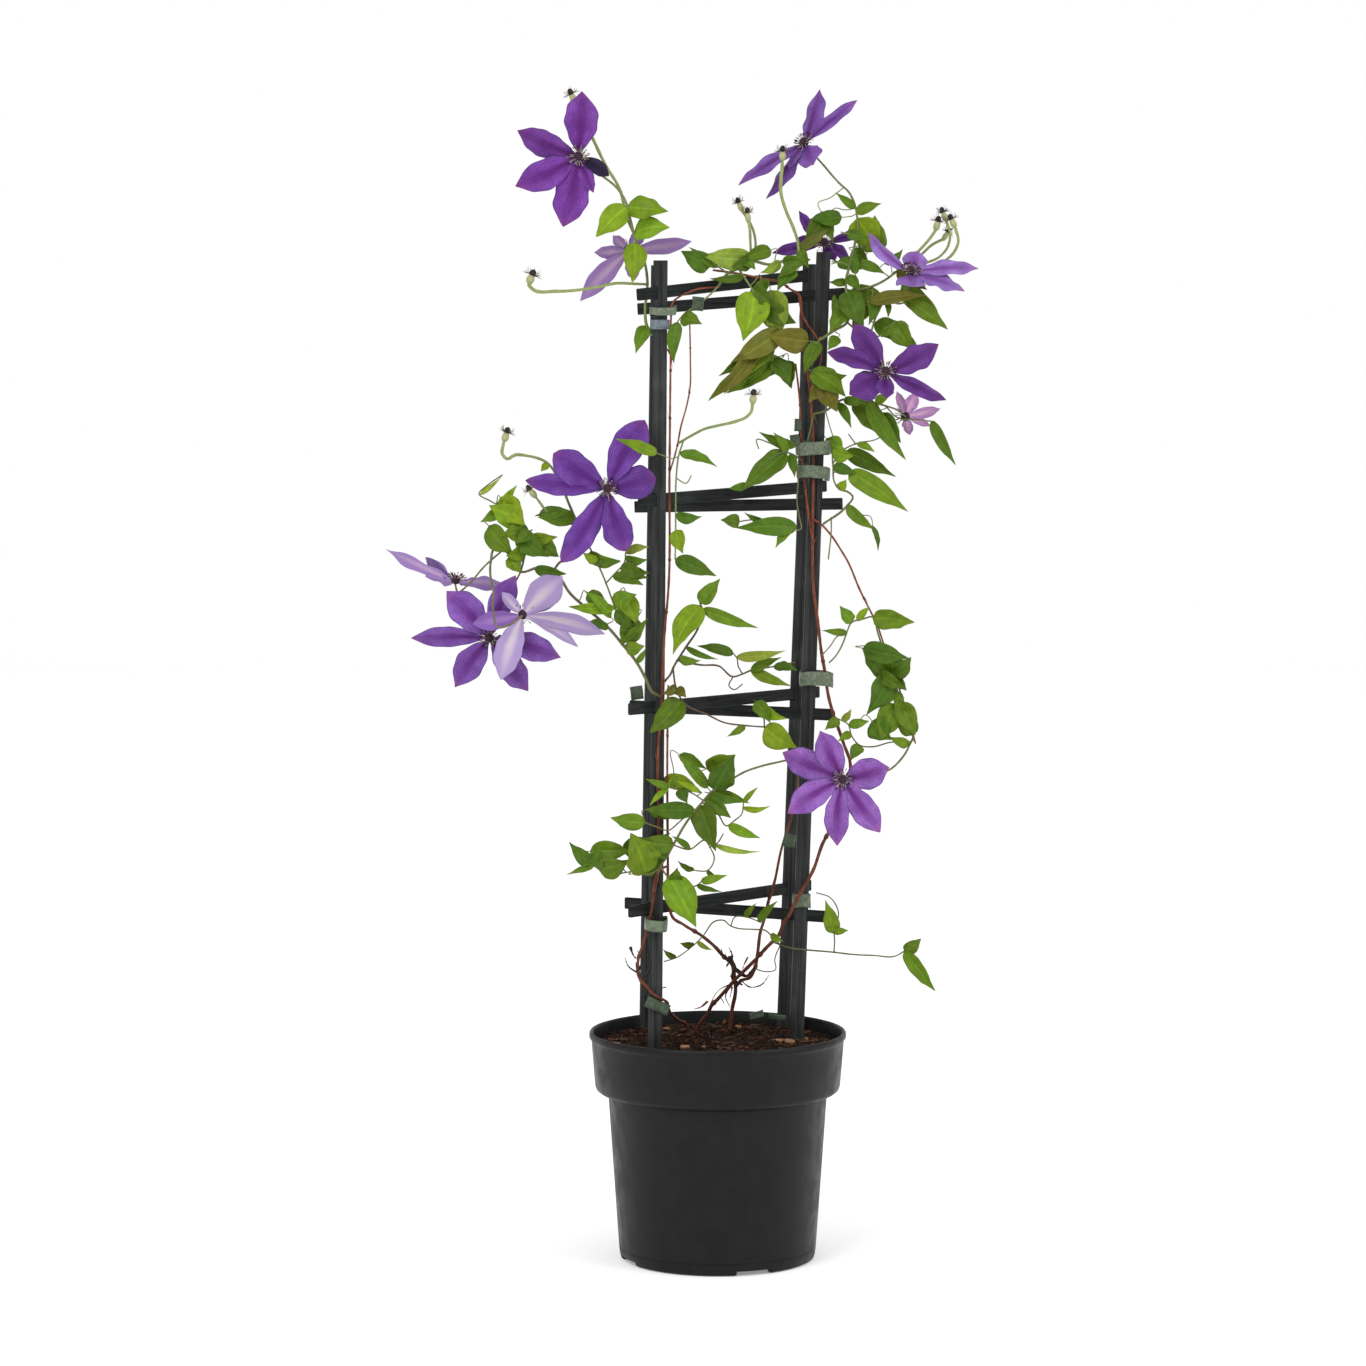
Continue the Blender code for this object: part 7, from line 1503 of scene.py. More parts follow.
class Effects:
    """Shader node groups that more than one finish uses."""

    def __init__(self) -> None:
        """Builds the groups once."""
        self.mottle = self.build_mottle()
        self.grain = self.build_grain()
        self.veins = self.build_veins()
        self.bar = self.build_bar()

    @staticmethod
    def start(
        name: str, inputs: dict[str, float], outputs: tuple[str, ...]
    ) -> tuple[Wires, dict, dict]:
        """Starts a node group.

        Args:
            name: The group's name.
            inputs: Named values with their defaults.
            outputs: Names of the masks that it gives.

        Returns:
            The wires of its tree, its input sockets and its output sockets.
        """
        tree = bpy.data.node_groups.new(name, "ShaderNodeTree")
        for key, value in inputs.items():
            socket = tree.interface.new_socket(key, in_out="INPUT", socket_type="NodeSocketFloat")
            socket.default_value = value
        for key in outputs:
            tree.interface.new_socket(key, in_out="OUTPUT", socket_type="NodeSocketFloat")
        entry = tree.nodes.new("NodeGroupInput")
        leave = tree.nodes.new("NodeGroupOutput")
        return Wires(tree), entry.outputs, leave.inputs

    def build_mottle(self) -> bpy.types.NodeTree:
        """Builds the group that gives soft patches over an object.

        Returns:
            The node group.
        """
        wires, entry, leave = self.start("Mottle", MOTTLE_INPUTS, ("Mask",))
        spot = wires.node("TexCoord").outputs["Object"]
        sockets = {"Vector": spot, "Scale": entry["Scale"], "Detail": MOTTLE_DETAIL}
        cloud = wires.node("TexNoise", sockets)
        wires.feed(leave["Mask"], wires.ramp(cloud.outputs[0], entry["Low"], entry["High"], 0.0, 1.0))
        return wires.tree

    def build_grain(self) -> bpy.types.NodeTree:
        """Builds the group that gives fine streaks, drawn out along the axes of small factors.

        Returns:
            The node group.
        """
        wires, entry, leave = self.start("Grain", GRAIN_INPUTS, ("Streaks",))
        spot = wires.node("TexCoord").outputs["Object"]
        parts = wires.node("SeparateXYZ", {0: spot})
        drawn = {}
        for index, axis in enumerate("XYZ"):
            drawn[index] = wires.math("MULTIPLY", parts.outputs[index], entry["Along " + axis])
        long_spot = wires.node("CombineXYZ", drawn)
        sockets = {"Vector": long_spot.outputs[0], "Scale": entry["Scale"], "Detail": FINE_DETAIL}
        cloud = wires.node("TexNoise", sockets)
        wires.feed(leave["Streaks"], wires.step(cloud.outputs[0], STREAK))
        return wires.tree

    def build_veins(self) -> bpy.types.NodeTree:
        """Builds the group that gives the midrib and side veins of a leaf on its UV map.

        Returns:
            The node group.
        """
        wires, entry, leave = self.start("Leaf veins", VEIN_INPUTS, ("Veins", "Midrib"))
        parts = wires.node("SeparateXYZ", {0: wires.node("UVMap").outputs[0]})
        across = wires.across(parts.outputs[0])
        along = wires.math("MULTIPLY", parts.outputs[1], entry["Count"])
        bend = wires.math("MULTIPLY", wires.math("POWER", across, VEIN_BEND), entry["Slant"])
        cycle = wires.math("FRACT", wires.math("SUBTRACT", along, bend))
        side = wires.step(wires.folded(cycle, 0.5), SIDE_VEIN)
        outer = wires.step(wires.folded(across, 0.5), OUTER_VEIN)
        middle = wires.step(across, MIDRIB)
        wires.feed(leave["Midrib"], middle)
        wires.feed(leave["Veins"], wires.math("MAXIMUM", wires.math("MAXIMUM", side, outer), middle))
        return wires.tree

    def build_bar(self) -> bpy.types.NodeTree:
        """Builds the group that gives the middle bar and the lengthwise veins of a tepal.

        Returns:
            The node group.
        """
        wires, entry, leave = self.start("Tepal bar", BAR_INPUTS, ("Bar", "Lines", "Edge", "Tip"))
        place = wires.node("UVMap").outputs[0]
        parts = wires.node("SeparateXYZ", {0: place})
        sockets = {"Vector": place, "Scale": BAR_DRIFT_SCALE, "Detail": FINE_DETAIL}
        cloud = wires.node("TexNoise", sockets)
        drift = wires.math("MULTIPLY_ADD", cloud.outputs[0], BAR_DRIFT, -BAR_DRIFT / 2)
        across = wires.across(parts.outputs[0])
        loose = wires.math("ADD", across, drift)
        bar = wires.ramp(loose, BAR_CORE, entry["Width"], 1.0, 0.0)
        fade = wires.step(parts.outputs[1], BAR_FADE)
        cycle = wires.math("FRACT", wires.math("MULTIPLY", loose, entry["Veins"]))
        wires.feed(leave["Bar"], wires.math("MULTIPLY", bar, fade))
        wires.feed(leave["Lines"], wires.step(wires.folded(cycle, 0.5), TEPAL_LINE))
        wires.feed(leave["Edge"], wires.step(across, TEPAL_EDGE))
        wires.feed(leave["Tip"], wires.step(parts.outputs[1], TEPAL_TIP))
        return wires.tree


class Finishes:
    """Makes the plant's materials."""

    def __init__(self, effects: Effects) -> None:
        """Builds every finish from the shared effects.

        Args:
            effects: The shared node groups.
        """
        self.effects = effects
        self.pot = self.moulded(POT_PLASTIC)
        self.post = self.extruded(CANE_PLASTIC)
        # The rungs get the darker copy of the cane plastic, which is painted shade.
        self.rung = self.extruded(SHADED_RUNG_PLASTIC)
        self.tape = self.moulded(TAPE_PLASTIC)
        # The scraps get the darker tape, which is painted shade.
        self.scrap = self.moulded(SHADED_SCRAP_PLASTIC)
        self.clip = self.moulded(CLIP_PLASTIC)
        self.soil = self.compost()
        self.crumb = self.tinted(CRUMB_GROWN)
        self.wood = self.bark()
        self.stalk = self.tinted(STALK_GROWN)
        self.leaf_top = self.leaf(LEAF_TOP)
        self.leaf_under = self.leaf(LEAF_UNDER)
        self.tepal_top = self.tepal("tepal top")
        self.tepal_under = self.tepal_back("tepal under")
        self.stamen = self.tinted(STAMEN_GROWN)

    def group(self, wires: Wires, tree: bpy.types.NodeTree, **sockets: float) -> bpy.types.Node:
        """Places a shared effect in a material with its own values.

        Args:
            wires: The material's wires.
            tree: The shared effect.
            sockets: Values of its inputs.

        Returns:
            The effect's node.
        """
        made = wires.node("Group")
        made.node_tree = tree
        for key, value in sockets.items():
            made.inputs[key].default_value = value
        return made

    def mottle(self, wires: Wires, patches: Patches) -> bpy.types.NodeSocket:
        """Returns the mask of soft patches."""
        values = {"Scale": patches.scale, "Low": patches.low, "High": patches.high}
        return self.group(wires, self.effects.mottle, **values).outputs["Mask"]

    def streaks(self, wires: Wires, scale: float, drawn: tuple) -> bpy.types.NodeSocket:
        """Returns the mask of streaks, drawn out by a factor along each axis."""
        values = {"Along " + axis: factor for axis, factor in zip("XYZ", drawn)}
        return self.group(wires, self.effects.grain, Scale=scale, **values).outputs["Streaks"]

    @staticmethod
    def start(name: str, gloss: Gloss) -> tuple[bpy.types.Material, Wires, bpy.types.Node]:
        """Starts a material.

        Args:
            name: The material's name.
            gloss: How it shines.

        Returns:
            The material, its wires and its Principled shader.
        """
        material = bpy.data.materials.new(name)
        material.use_nodes = True
        shader = material.node_tree.nodes["Principled BSDF"]
        shader.inputs["Roughness"].default_value = gloss.roughness
        shader.inputs["Specular IOR Level"].default_value = gloss.specular
        return material, Wires(material.node_tree), shader

    @staticmethod
    def finish(
        wires: Wires, shader: bpy.types.Node, colour: object, height: object, relief: Relief
    ) -> None:
        """Feeds a shader its colour, and its normal from a height.

        Args:
            wires: The material's wires.
            shader: Its Principled shader.
            colour: Its colour.
            height: A mask of its height.
            relief: How the height shows.
        """
        wires.feed(shader.inputs["Base Color"], colour)
        sockets = {"Strength": relief.strength, "Distance": relief.distance, "Height": height}
        wires.feed(shader.inputs["Normal"], wires.node("Bump", sockets).outputs[0])

    def moulded(self, plastic: Plastic) -> bpy.types.Material:
        """Makes moulded plastic with faint patches in its colour and gloss.

        Args:
            plastic: Which plastic it is.

        Returns:
            The material.
        """
        material, wires, shader = self.start(plastic.name, plastic.gloss)
        patches = self.mottle(wires, Patches(plastic.scale))
        fine = self.mottle(wires, Patches(plastic.scale * PITS_FINER, *PITS_RANGE))
        dull, clear = [(*shaded(plastic.colour, tone), 1.0) for tone in MOULDED_TONES]
        rough, half = plastic.gloss.roughness, plastic.uneven / 2
        wires.feed(shader.inputs["Roughness"], wires.ramp(patches, 0.0, 1.0, rough - half, rough + half))
        self.finish(wires, shader, wires.mix(patches, dull, clear), fine, MOULDED_RELIEF)
        return material

    def extruded(self, plastic: Plastic) -> bpy.types.Material:
        """Makes drawn plastic with lengthwise streaks and scuffs.

        Args:
            plastic: Which plastic it is.

        Returns:
            The material.
        """
        material, wires, shader = self.start(plastic.name, plastic.gloss)
        streaks = self.streaks(wires, DRAWN_SCALE, plastic.drawn)
        scuffs = self.mottle(wires, SCUFFS)
        dull, clear = [(*shaded(plastic.colour, tone), 1.0) for tone in DRAWN_TONES]
        base = wires.mix(streaks, dull, clear)
        worn = wires.cover(scuffs, SCUFF_SHARE, base, (*shaded(plastic.colour, SCUFF_TONE), 1.0))
        ends = [plastic.gloss.roughness + change for change in SCUFF_ROUGHNESS]
        wires.feed(shader.inputs["Roughness"], wires.ramp(scuffs, 0.0, 1.0, *ends))
        self.finish(wires, shader, worn, streaks, DRAWN_RELIEF)
        return material

    def compost(self) -> bpy.types.Material:
        """Makes dark fibrous peat.

        Returns:
            The material.
        """
        material, wires, shader = self.start("compost", PEAT_GLOSS)
        lumps = self.mottle(wires, PEAT_LUMPS)
        fine = self.mottle(wires, PEAT_GRAINS)
        dark, earth, light = [(*tone, 1.0) for tone in PEAT_TONES]
        colour = wires.mix(fine, wires.mix(lumps, dark, earth), light)
        self.finish(wires, shader, colour, wires.math("ADD", lumps, fine), PEAT_RELIEF)
        return material

    def tinted(self, grown: Grown) -> bpy.types.Material:
        """Makes a finish that takes its colour from the piece's tint.

        Args:
            grown: Which grown surface it is.

        Returns:
            The material.
        """
        material, wires, shader = self.start(grown.name, grown.gloss)
        tint = wires.attribute("tint")
        patches = self.mottle(wires, Patches(grown.scale))
        dark = wires.scaled(tint, (1.0 - grown.uneven,) * 3)
        colour = wires.mix(patches, dark, tint)
        self.finish(wires, shader, colour, patches, Relief(GROWN_RELIEF, grown.height))
        return material

    def bark(self) -> bpy.types.Material:
        """Makes stringy red-brown bark on the stems' tint.

        Returns:
            The material.
        """
        material, wires, shader = self.start("stem bark", BARK_GLOSS)
        tint = wires.attribute("tint")
        strings = self.streaks(wires, BARK_SCALE, BARK_DRAWN)
        patches = self.mottle(wires, BARK_PATCHES)
        base = wires.mix(strings, wires.scaled(tint, BARK_DARK), tint)
        colour = wires.cover(patches, BARK_PATCH_SHARE, base, wires.scaled(tint, BARK_PALE))
        self.finish(wires, shader, colour, strings, BARK_RELIEF)
        return material

    def leaf(self, leaf: LeafSide) -> bpy.types.Material:
        """Makes one side of a leaf, with its veins, clouds of shade and rusty specks.

        Args:
            leaf: Which side of a leaf it is.

        Returns:
            The material.
        """
        material, wires, shader = self.start(leaf.name, leaf.gloss)
        veins = self.group(wires, self.effects.veins)
        specks = self.mottle(wires, LEAF_SPECKS)
        lifted = wires.scaled(wires.attribute("tint"), (leaf.lift, leaf.lift, leaf.lift * LIFT_BLUE))
        base = wires.mix(self.mottle(wires, LEAF_CLOUDS), wires.scaled(lifted, LEAF_SHADE), lifted)
        ribs = wires.scaled(base, (leaf.vein, leaf.vein, leaf.vein * VEIN_BLUE))
        drawn = wires.cover(veins.outputs["Veins"], VEIN_SHARE, base, ribs)
        drawn = wires.cover(veins.outputs["Midrib"], MIDRIB_SHARE, drawn, ribs)
        spotted = wires.cover(specks, SPECK_SHARE, drawn, RUST)
        raised = wires.math("MULTIPLY", veins.outputs["Veins"], -1.0 if leaf.vein > 1.0 else 1.0)
        self.finish(wires, shader, spotted, raised, LEAF_RELIEF)
        return material

    def tepal(self, name: str) -> bpy.types.Material:
        """Makes the velvety upper side of a tepal with its darker bar and paler edge.

        Args:
            name: The material's name.

        Returns:
            The material.
        """
        material, wires, shader = self.start(name, TEPAL_GLOSS)
        shader.inputs["Sheen Weight"].default_value = TEPAL_SHEEN
        tint = wires.attribute("tint")
        bar_tint = wires.attribute("bar")
        marks = self.group(wires, self.effects.bar).outputs
        pale = wires.scaled(tint, EDGE_PALE)
        base = wires.cover(marks["Edge"], EDGE_SHARE, tint, pale)
        base = wires.cover(self.mottle(wires, TEPAL_PATCHES), PATCH_SHARE, base, pale)
        base = wires.mix(self.mottle(wires, TEPAL_CLOUDS), base, wires.scaled(base, DUSK))
        lines = wires.math("MULTIPLY", marks["Lines"], self.mottle(wires, TEPAL_FLECKS))
        base = wires.cover(lines, LINE_SHARE, base, bar_tint)
        base = wires.cover(marks["Bar"], BAR_SHARE, base, bar_tint)
        base = wires.cover(marks["Tip"], TIP_SHARE, base, wires.scaled(tint, TIP_PINK))
        self.finish(wires, shader, base, marks["Lines"], TEPAL_RELIEF)
        return material

    def tepal_back(self, name: str) -> bpy.types.Material:
        """Makes the pale underside of a tepal with its whitish bar.

        Args:
            name: The material's name.

        Returns:
            The material.
        """
        material, wires, shader = self.start(name, BACK_GLOSS)
        shader.inputs["Sheen Weight"].default_value = TEPAL_SHEEN
        tint = wires.attribute("back")
        marks = self.group(wires, self.effects.bar, Width=BACK_WIDTH).outputs
        base = wires.cover(marks["Lines"], BACK_LINE_SHARE, tint, wires.scaled(tint, BACK_DARK))
        colour = wires.cover(marks["Bar"], BACK_BAR_SHARE, base, wires.scaled(tint, BACK_PALE))
        self.finish(wires, shader, colour, marks["Lines"], BACK_RELIEF)
        return material


@dataclass
class Studio:
    """Floor, light and the camera at the photograph's angle.

    Args:
        eye: Camera place in metres.
        pitch: How far the camera looks down, in degrees.
        lens: Focal length in millimetres.
        sensor: Sensor width in millimetres.
        floor_size: Side of the floor in metres.
        floor_tones: Darkest and palest grey of the floor.
        floor_cloud: How fine the clouds on the floor are.
        floor_gloss: How the floor shines.
        floor_glow: Strength of the floor's own light.
        key: Place, side and power of the main lamp.
        fill: Place, side and power of the lamp that softens the shadows.
        aim: Height in metres that the lamps face.
        world_light: Strength of the light from all round.
        world_seen: Brightness of the background in the view.
    """

    eye: tuple[float, float, float] = (-0.031, -3.80, 0.824)
    pitch: float = 4.62
    lens: float = 112.95
    sensor: float = 36.0
    floor_size: float = 14.0
    floor_tones: tuple[float, float] = (0.93, 0.96)
    floor_cloud: float = 3.0
    floor_gloss: Gloss = Gloss(0.8, 0.2)
    floor_glow: float = 0.24
    key: tuple = ((-2.0, -3.0, 3.0), 2.0, 70.0)
    fill: tuple = ((2.6, -1.6, 2.2), 2.0, 40.0)
    aim: float = 0.6
    world_light: float = 0.78
    world_seen: float = 1.0

    def build(self) -> None:
        """Builds the floor, the lights, the world and the camera."""
        bpy.ops.object.select_all(action="DESELECT")
        bpy.ops.mesh.primitive_plane_add(size=self.floor_size)
        floor = bpy.context.active_object
        floor.name = "studio_floor"
        floor.data.materials.append(self.floor_finish())
        for name, (spot, size, power) in (("key", self.key), ("fill", self.fill)):
            self.lamp(name, spot, size, power)
        self.camera()
        world = bpy.data.worlds.new("studio")
        world.use_nodes = True
        wires = Wires(world.node_tree)
        sky = world.node_tree.nodes["Background"]
        sky.inputs["Color"].default_value = (1.0, 1.0, 1.0, 1.0)
        direct = wires.node("LightPath").outputs["Is Camera Ray"]
        wires.feed(sky.inputs["Strength"], wires.ramp(direct, 0.0, 1.0, self.world_light, self.world_seen))
        bpy.context.scene.world = world
        bpy.context.scene.view_settings.view_transform = "Standard"

    def floor_finish(self) -> bpy.types.Material:
        """Makes the pale floor's finish.

        Returns:
            The material.
        """
        material, wires, shader = Finishes.start("floor", self.floor_gloss)
        cloud = wires.node("TexNoise", {"Scale": self.floor_cloud})
        greys = [(tone, tone, tone, 1.0) for tone in self.floor_tones]
        wires.feed(shader.inputs["Base Color"], wires.mix(cloud.outputs[0], *greys))
        shader.inputs["Emission Color"].default_value = (1.0, 1.0, 1.0, 1.0)
        shader.inputs["Emission Strength"].default_value = self.floor_glow
        return material

    def lamp(
        self, name: str, spot: tuple[float, float, float], size: float, power: float
    ) -> bpy.types.Object:
        """Makes a soft square lamp that faces the plant.

        Args:
            name: The lamp's name.
            spot: Its place in metres.
            size: Side of the lamp.
            power: Its power in watts.

        Returns:
            The lamp.
        """
        light = bpy.data.lights.new(name, "AREA")
        light.size = size
        light.energy = power
        thing = bpy.data.objects.new(name, light)
        thing.location = spot
        aim = Vector((0.0, 0.0, self.aim)) - Vector(spot)
        thing.rotation_euler = aim.to_track_quat("-Z", "Y").to_euler()
        bpy.context.scene.collection.objects.link(thing)
        return thing

    def camera(self) -> bpy.types.Object:
        """Makes the scene's camera.

        Returns:
            The camera.
        """
        lens = bpy.data.cameras.new("camera")
        lens.lens = self.lens
        lens.sensor_width = self.sensor
        thing = bpy.data.objects.new("camera", lens)
        thing.location = self.eye
        thing.rotation_euler = Euler((math.radians(90.0 - self.pitch), 0.0, 0.0))
        bpy.context.scene.collection.objects.link(thing)
        bpy.context.scene.camera = thing
        return thing


@dataclass
class Pot:
    """The black nursery pot.

    Args:
        profile: Radius and height of each ring in centimetres, from the foot out, up and back in.
        segments: Sides round the pot.
        notches: Angles of the notches in the foot ring, in degrees.
        notch_size: Length, width and height of the block that cuts a notch.
        notch_radius: How far from the axis the notches are.
        drain_turn: Turn from a notch to the next drain hole, in degrees.
        drain_radius: Radius of a drain hole.
        drain_reach: How far from the axis the drain holes are.
        drain_level: Height of the middle of the rod that cuts a drain hole.
        drain_depth: Length of that rod.
        drain_sides: Sides of that rod.
        bevel: Width of the bevel along the edges.
        bevel_from: Least angle of an edge that gets a bevel, in degrees.
        smooth_below: Largest angle that is shaded smooth, in degrees.
    """

    profile: tuple = (
        (1.5, 0.0), (1.75, 0.5), (7.5, 0.5), (7.7, 0.0), (8.38, 0.0), (8.68, 0.14), (8.77, 0.4),
        (8.84, 1.0), (8.8, 1.04), (8.8, 1.12), (8.85, 1.16), (9.3, 7.6), (9.78, 14.6), (9.84, 14.85),
        (10.0, 14.98), (10.62, 15.13), (10.86, 15.32), (10.97, 15.62), (11.2, 18.4), (11.29, 19.62),
        (11.38, 19.84), (11.49, 19.97), (11.5, 20.16), (11.48, 20.36), (11.4, 20.47), (11.3, 20.5),
        (11.19, 20.44), (11.12, 20.3), (11.02, 18.9), (10.8, 15.75), (10.7, 15.52), (9.6, 15.25),
        (8.55, 0.75),
    )
    segments: int = 128
    notches: tuple = (-68.0, 22.0, 112.0, 202.0)
    notch_size: tuple = (2.2, 3.4, 0.9)
    notch_radius: float = 8.4
    drain_turn: float = 45.0
    drain_radius: float = 0.5
    drain_reach: float = 6.0
    drain_level: float = 0.6
    drain_depth: float = 1.0
    drain_sides: int = 24
    bevel: float = 0.03
    bevel_from: float = 50.0
    smooth_below: float = 35.0

    def build(self, finishes: Finishes) -> None:
        """Builds the pot and dresses it.

        Args:
            finishes: The materials to choose from.
        """
        bpy.ops.object.select_all(action="DESELECT")
        radius, height = self.profile[0]
        bpy.ops.mesh.primitive_circle_add(
            vertices=self.segments, radius=radius * CM, fill_type="NGON", location=(0.0, 0.0, height * CM)
        )
        pot = bpy.context.active_object
        pot.name = "pot_shell"
        bpy.ops.object.mode_set(mode="EDIT")
        bpy.ops.mesh.select_all(action="SELECT")
        for (before, low), (radius, height) in zip(self.profile, self.profile[1:]):
            bpy.ops.mesh.extrude_region_move(
                TRANSFORM_OT_translate={"value": (0.0, 0.0, (height - low) * CM)}
            )
            share = radius / before
            bpy.ops.transform.resize(value=(share, share, 1.0), center_override=(0.0, 0.0, 0.0))
        bpy.ops.mesh.select_all(action="SELECT")
        bpy.ops.mesh.normals_make_consistent(inside=False)
        bpy.ops.object.mode_set(mode="OBJECT")
        bpy.ops.object.transform_apply(location=True, rotation=True, scale=True)
        for angle in self.notches:
            self.cut(pot, self.notch(angle))
            self.cut(pot, self.drain(angle + self.drain_turn))
        bevel = pot.modifiers.new("Bevel", "BEVEL")
        bevel.limit_method = "ANGLE"
        bevel.angle_limit = math.radians(self.bevel_from)
        bevel.width = self.bevel * CM
        bevel.segments = 2
        apply_all(pot)
        bpy.ops.object.shade_smooth_by_angle(angle=math.radians(self.smooth_below))
        pot.data.materials.clear()
        pot.data.materials.append(finishes.pot)
        hand_over(pot, "pot_plastic", "pot")

    @staticmethod
    def around(turn: float, radius: float, height: float) -> tuple[float, float, float]:
        """Returns the place in metres at a turn about the pot's axis."""
        return (radius * CM * math.cos(turn), radius * CM * math.sin(turn), height * CM)

    def notch(self, angle: float) -> bpy.types.Object:
        """Makes the block that cuts one notch in the foot ring.

        Args:
            angle: Turn about the pot's axis, in degrees.

        Returns:
            The block.
        """
        turn = math.radians(angle)
        spot = self.around(turn, self.notch_radius, 0.0)
        bpy.ops.object.select_all(action="DESELECT")
        bpy.ops.mesh.primitive_cube_add(size=1.0, location=spot, rotation=(0.0, 0.0, turn))
        block = bpy.context.active_object
        block.scale = [side * CM for side in self.notch_size]
        return block

    def drain(self, angle: float) -> bpy.types.Object:
        """Makes the rod that cuts one drain hole.

        Args:
            angle: Turn about the pot's axis, in degrees.

        Returns:
            The rod.
        """
        bpy.ops.object.select_all(action="DESELECT")
        bpy.ops.mesh.primitive_cylinder_add(
            vertices=self.drain_sides, radius=self.drain_radius * CM, depth=self.drain_depth * CM,
            location=self.around(math.radians(angle), self.drain_reach, self.drain_level),
        )
        return bpy.context.active_object

    @staticmethod
    def cut(pot: bpy.types.Object, tool: bpy.types.Object) -> None:
        """Cuts a tool out of the pot and removes the tool.

        Args:
            pot: The pot.
            tool: The block or rod.
        """
        cutter = pot.modifiers.new("Cut", "BOOLEAN")
        cutter.operation = "DIFFERENCE"
        cutter.solver = "EXACT"
        cutter.object = tool
        apply_all(pot)
        bpy.data.objects.remove(tool)


@dataclass
class Compost:
    """The peat in the pot with its crumbs, fibres and bark chips.

    Args:
        level: Height of the surface at the wall.
        crown: How much higher the middle is.
        reach: Radius of the surface.
        wall: Radius and height of the pot's inside, from the surface down.
        gap: Space between the peat and the pot.
        waves: Height, fineness and layer of each noise in the surface.
        rim: Width of the band at the wall, how much calmer it is, and how far it dips.
        rings: Rings of points on the surface.
        sectors: Points in a ring.
        crumbs: How many crumbs there are.
        crumb_size: Least and largest crumb.
        coarse: Share of coarse crumbs, and how much larger they are.
        crumb_form: Radius and height of a crumb of size one.
        fibres: How many fibres there are.
        fibre_length: Shortest and longest fibre.
        fibre_rise: Least and largest slope of a fibre.
        fibre_bow: Largest bow of a fibre as a share of its length.
        fibre_radius: Least and largest radius of a fibre's start.
        fibre_end: Radius of its end.
        chips: How many small chips there are.
        chip_length: Shortest and longest small chip.
        chip_width: Narrowest and widest small chip.
        chip_tilt: Largest tilt of a chip in radians.
        chip_sides: Corners of a chip.
        chip_thick: Half the thickness of a small chip and of a large one.
        chip_rough: Least and largest share of a chip's size at a corner.
        chip_light: Least and largest factor on its colour at a corner.
    """

    level: float = 19.45
    crown: float = 0.4
    reach: float = 10.92
    wall: tuple = ((10.95, 19.2), (10.74, 15.83), (9.52, 15.33), (8.5, 0.8))
    gap: float = 0.03
    waves: tuple = ((0.3, 0.75, 3.0), (0.16, 2.6, 7.0), (0.05, 7.0, 11.0))
    rim: tuple = (0.5, 0.6, 0.1)
    rings: int = 46
    sectors: int = 150
    crumbs: int = 2600
    crumb_size: tuple = (0.06, 0.2)
    coarse: tuple = (0.08, 1.8)
    crumb_form: tuple = (0.6, 1.5)
    fibres: int = 420
    fibre_length: tuple = (0.5, 1.7)
    fibre_rise: tuple = (-0.1, 0.25)
    fibre_bow: float = 0.25
    fibre_radius: tuple = (0.018, 0.045)
    fibre_end: float = 0.012
    chips: int = 170
    chip_length: tuple = (0.35, 1.1)
    chip_width: tuple = (0.14, 0.38)
    chip_tilt: float = 0.3
    chip_sides: int = 8
    chip_thick: tuple = (0.09, 0.16)
    chip_rough: tuple = (0.8, 1.1)
    chip_light: tuple = (0.7, 1.2)

    def height(self, x: float, y: float) -> float:
        """Works out the height of the surface at a place.

        Args:
            x: Place across, in centimetres.
            y: Place in depth.

        Returns:
            The height in centimetres.
        """
        radius = math.hypot(x, y)
        mound = self.crown * (1.0 - radius / self.reach)
        rough = 0.0
        for high, fine, layer in self.waves:
            rough += high * noise.noise(Vector((x * fine, y * fine, layer)))
        width, calm, dip = self.rim
        rim = max(0.0, 1.0 - (self.reach - radius) / width)
        return self.level + mound + rough * (1.0 - calm * rim) - dip * rim

    def build(self, finishes: Finishes) -> None:
        """Builds the peat bed and what lies on it.

        Args:
            finishes: The materials to choose from.
        """
        self.bed(finishes)
        draw = random.Random(SEED)
        self.loose_crumbs(finishes, draw)
        self.shreds(finishes, draw)

    def bed(self, finishes: Finishes) -> None:
        """Builds the closed bed of peat.

        Args:
            finishes: The materials to choose from.
        """
        sheaf = Sheaf()
        middle = sheaf.point(Vector((0.0, 0.0, self.height(0.0, 0.0))), (0.0, 0.0), PEAT)
        levels = [(self.reach * (ring + 1) / self.rings, None) for ring in range(self.rings)]
        levels += [(radius - self.gap, height) for radius, height in self.wall]
        for radius, height in levels:
            for step in range(self.sectors):
                angle = math.tau * step / self.sectors
                x, y = radius * math.cos(angle), radius * math.sin(angle)
                spot = Vector((x, y, self.height(x, y) if height is None else height))
                sheaf.point(spot, (step / self.sectors, radius), PEAT)
        foot = sheaf.point(Vector((0.0, 0.0, self.wall[-1][1])), (0.0, 0.0), PEAT)
        for step in range(self.sectors):
            after = (step + 1) % self.sectors
            sheaf.face(middle, 1 + step, 1 + after)
            last = 1 + (len(levels) - 1) * self.sectors
            sheaf.face(last + after, last + step, foot)
            for ring in range(len(levels) - 1):
                low = 1 + ring * self.sectors
                high = low + self.sectors
                sheaf.face(low + step, high + step, high + after, low + after)
        hand_over(sheaf.piece("soil_bed", [finishes.soil]), "soil", "soil")

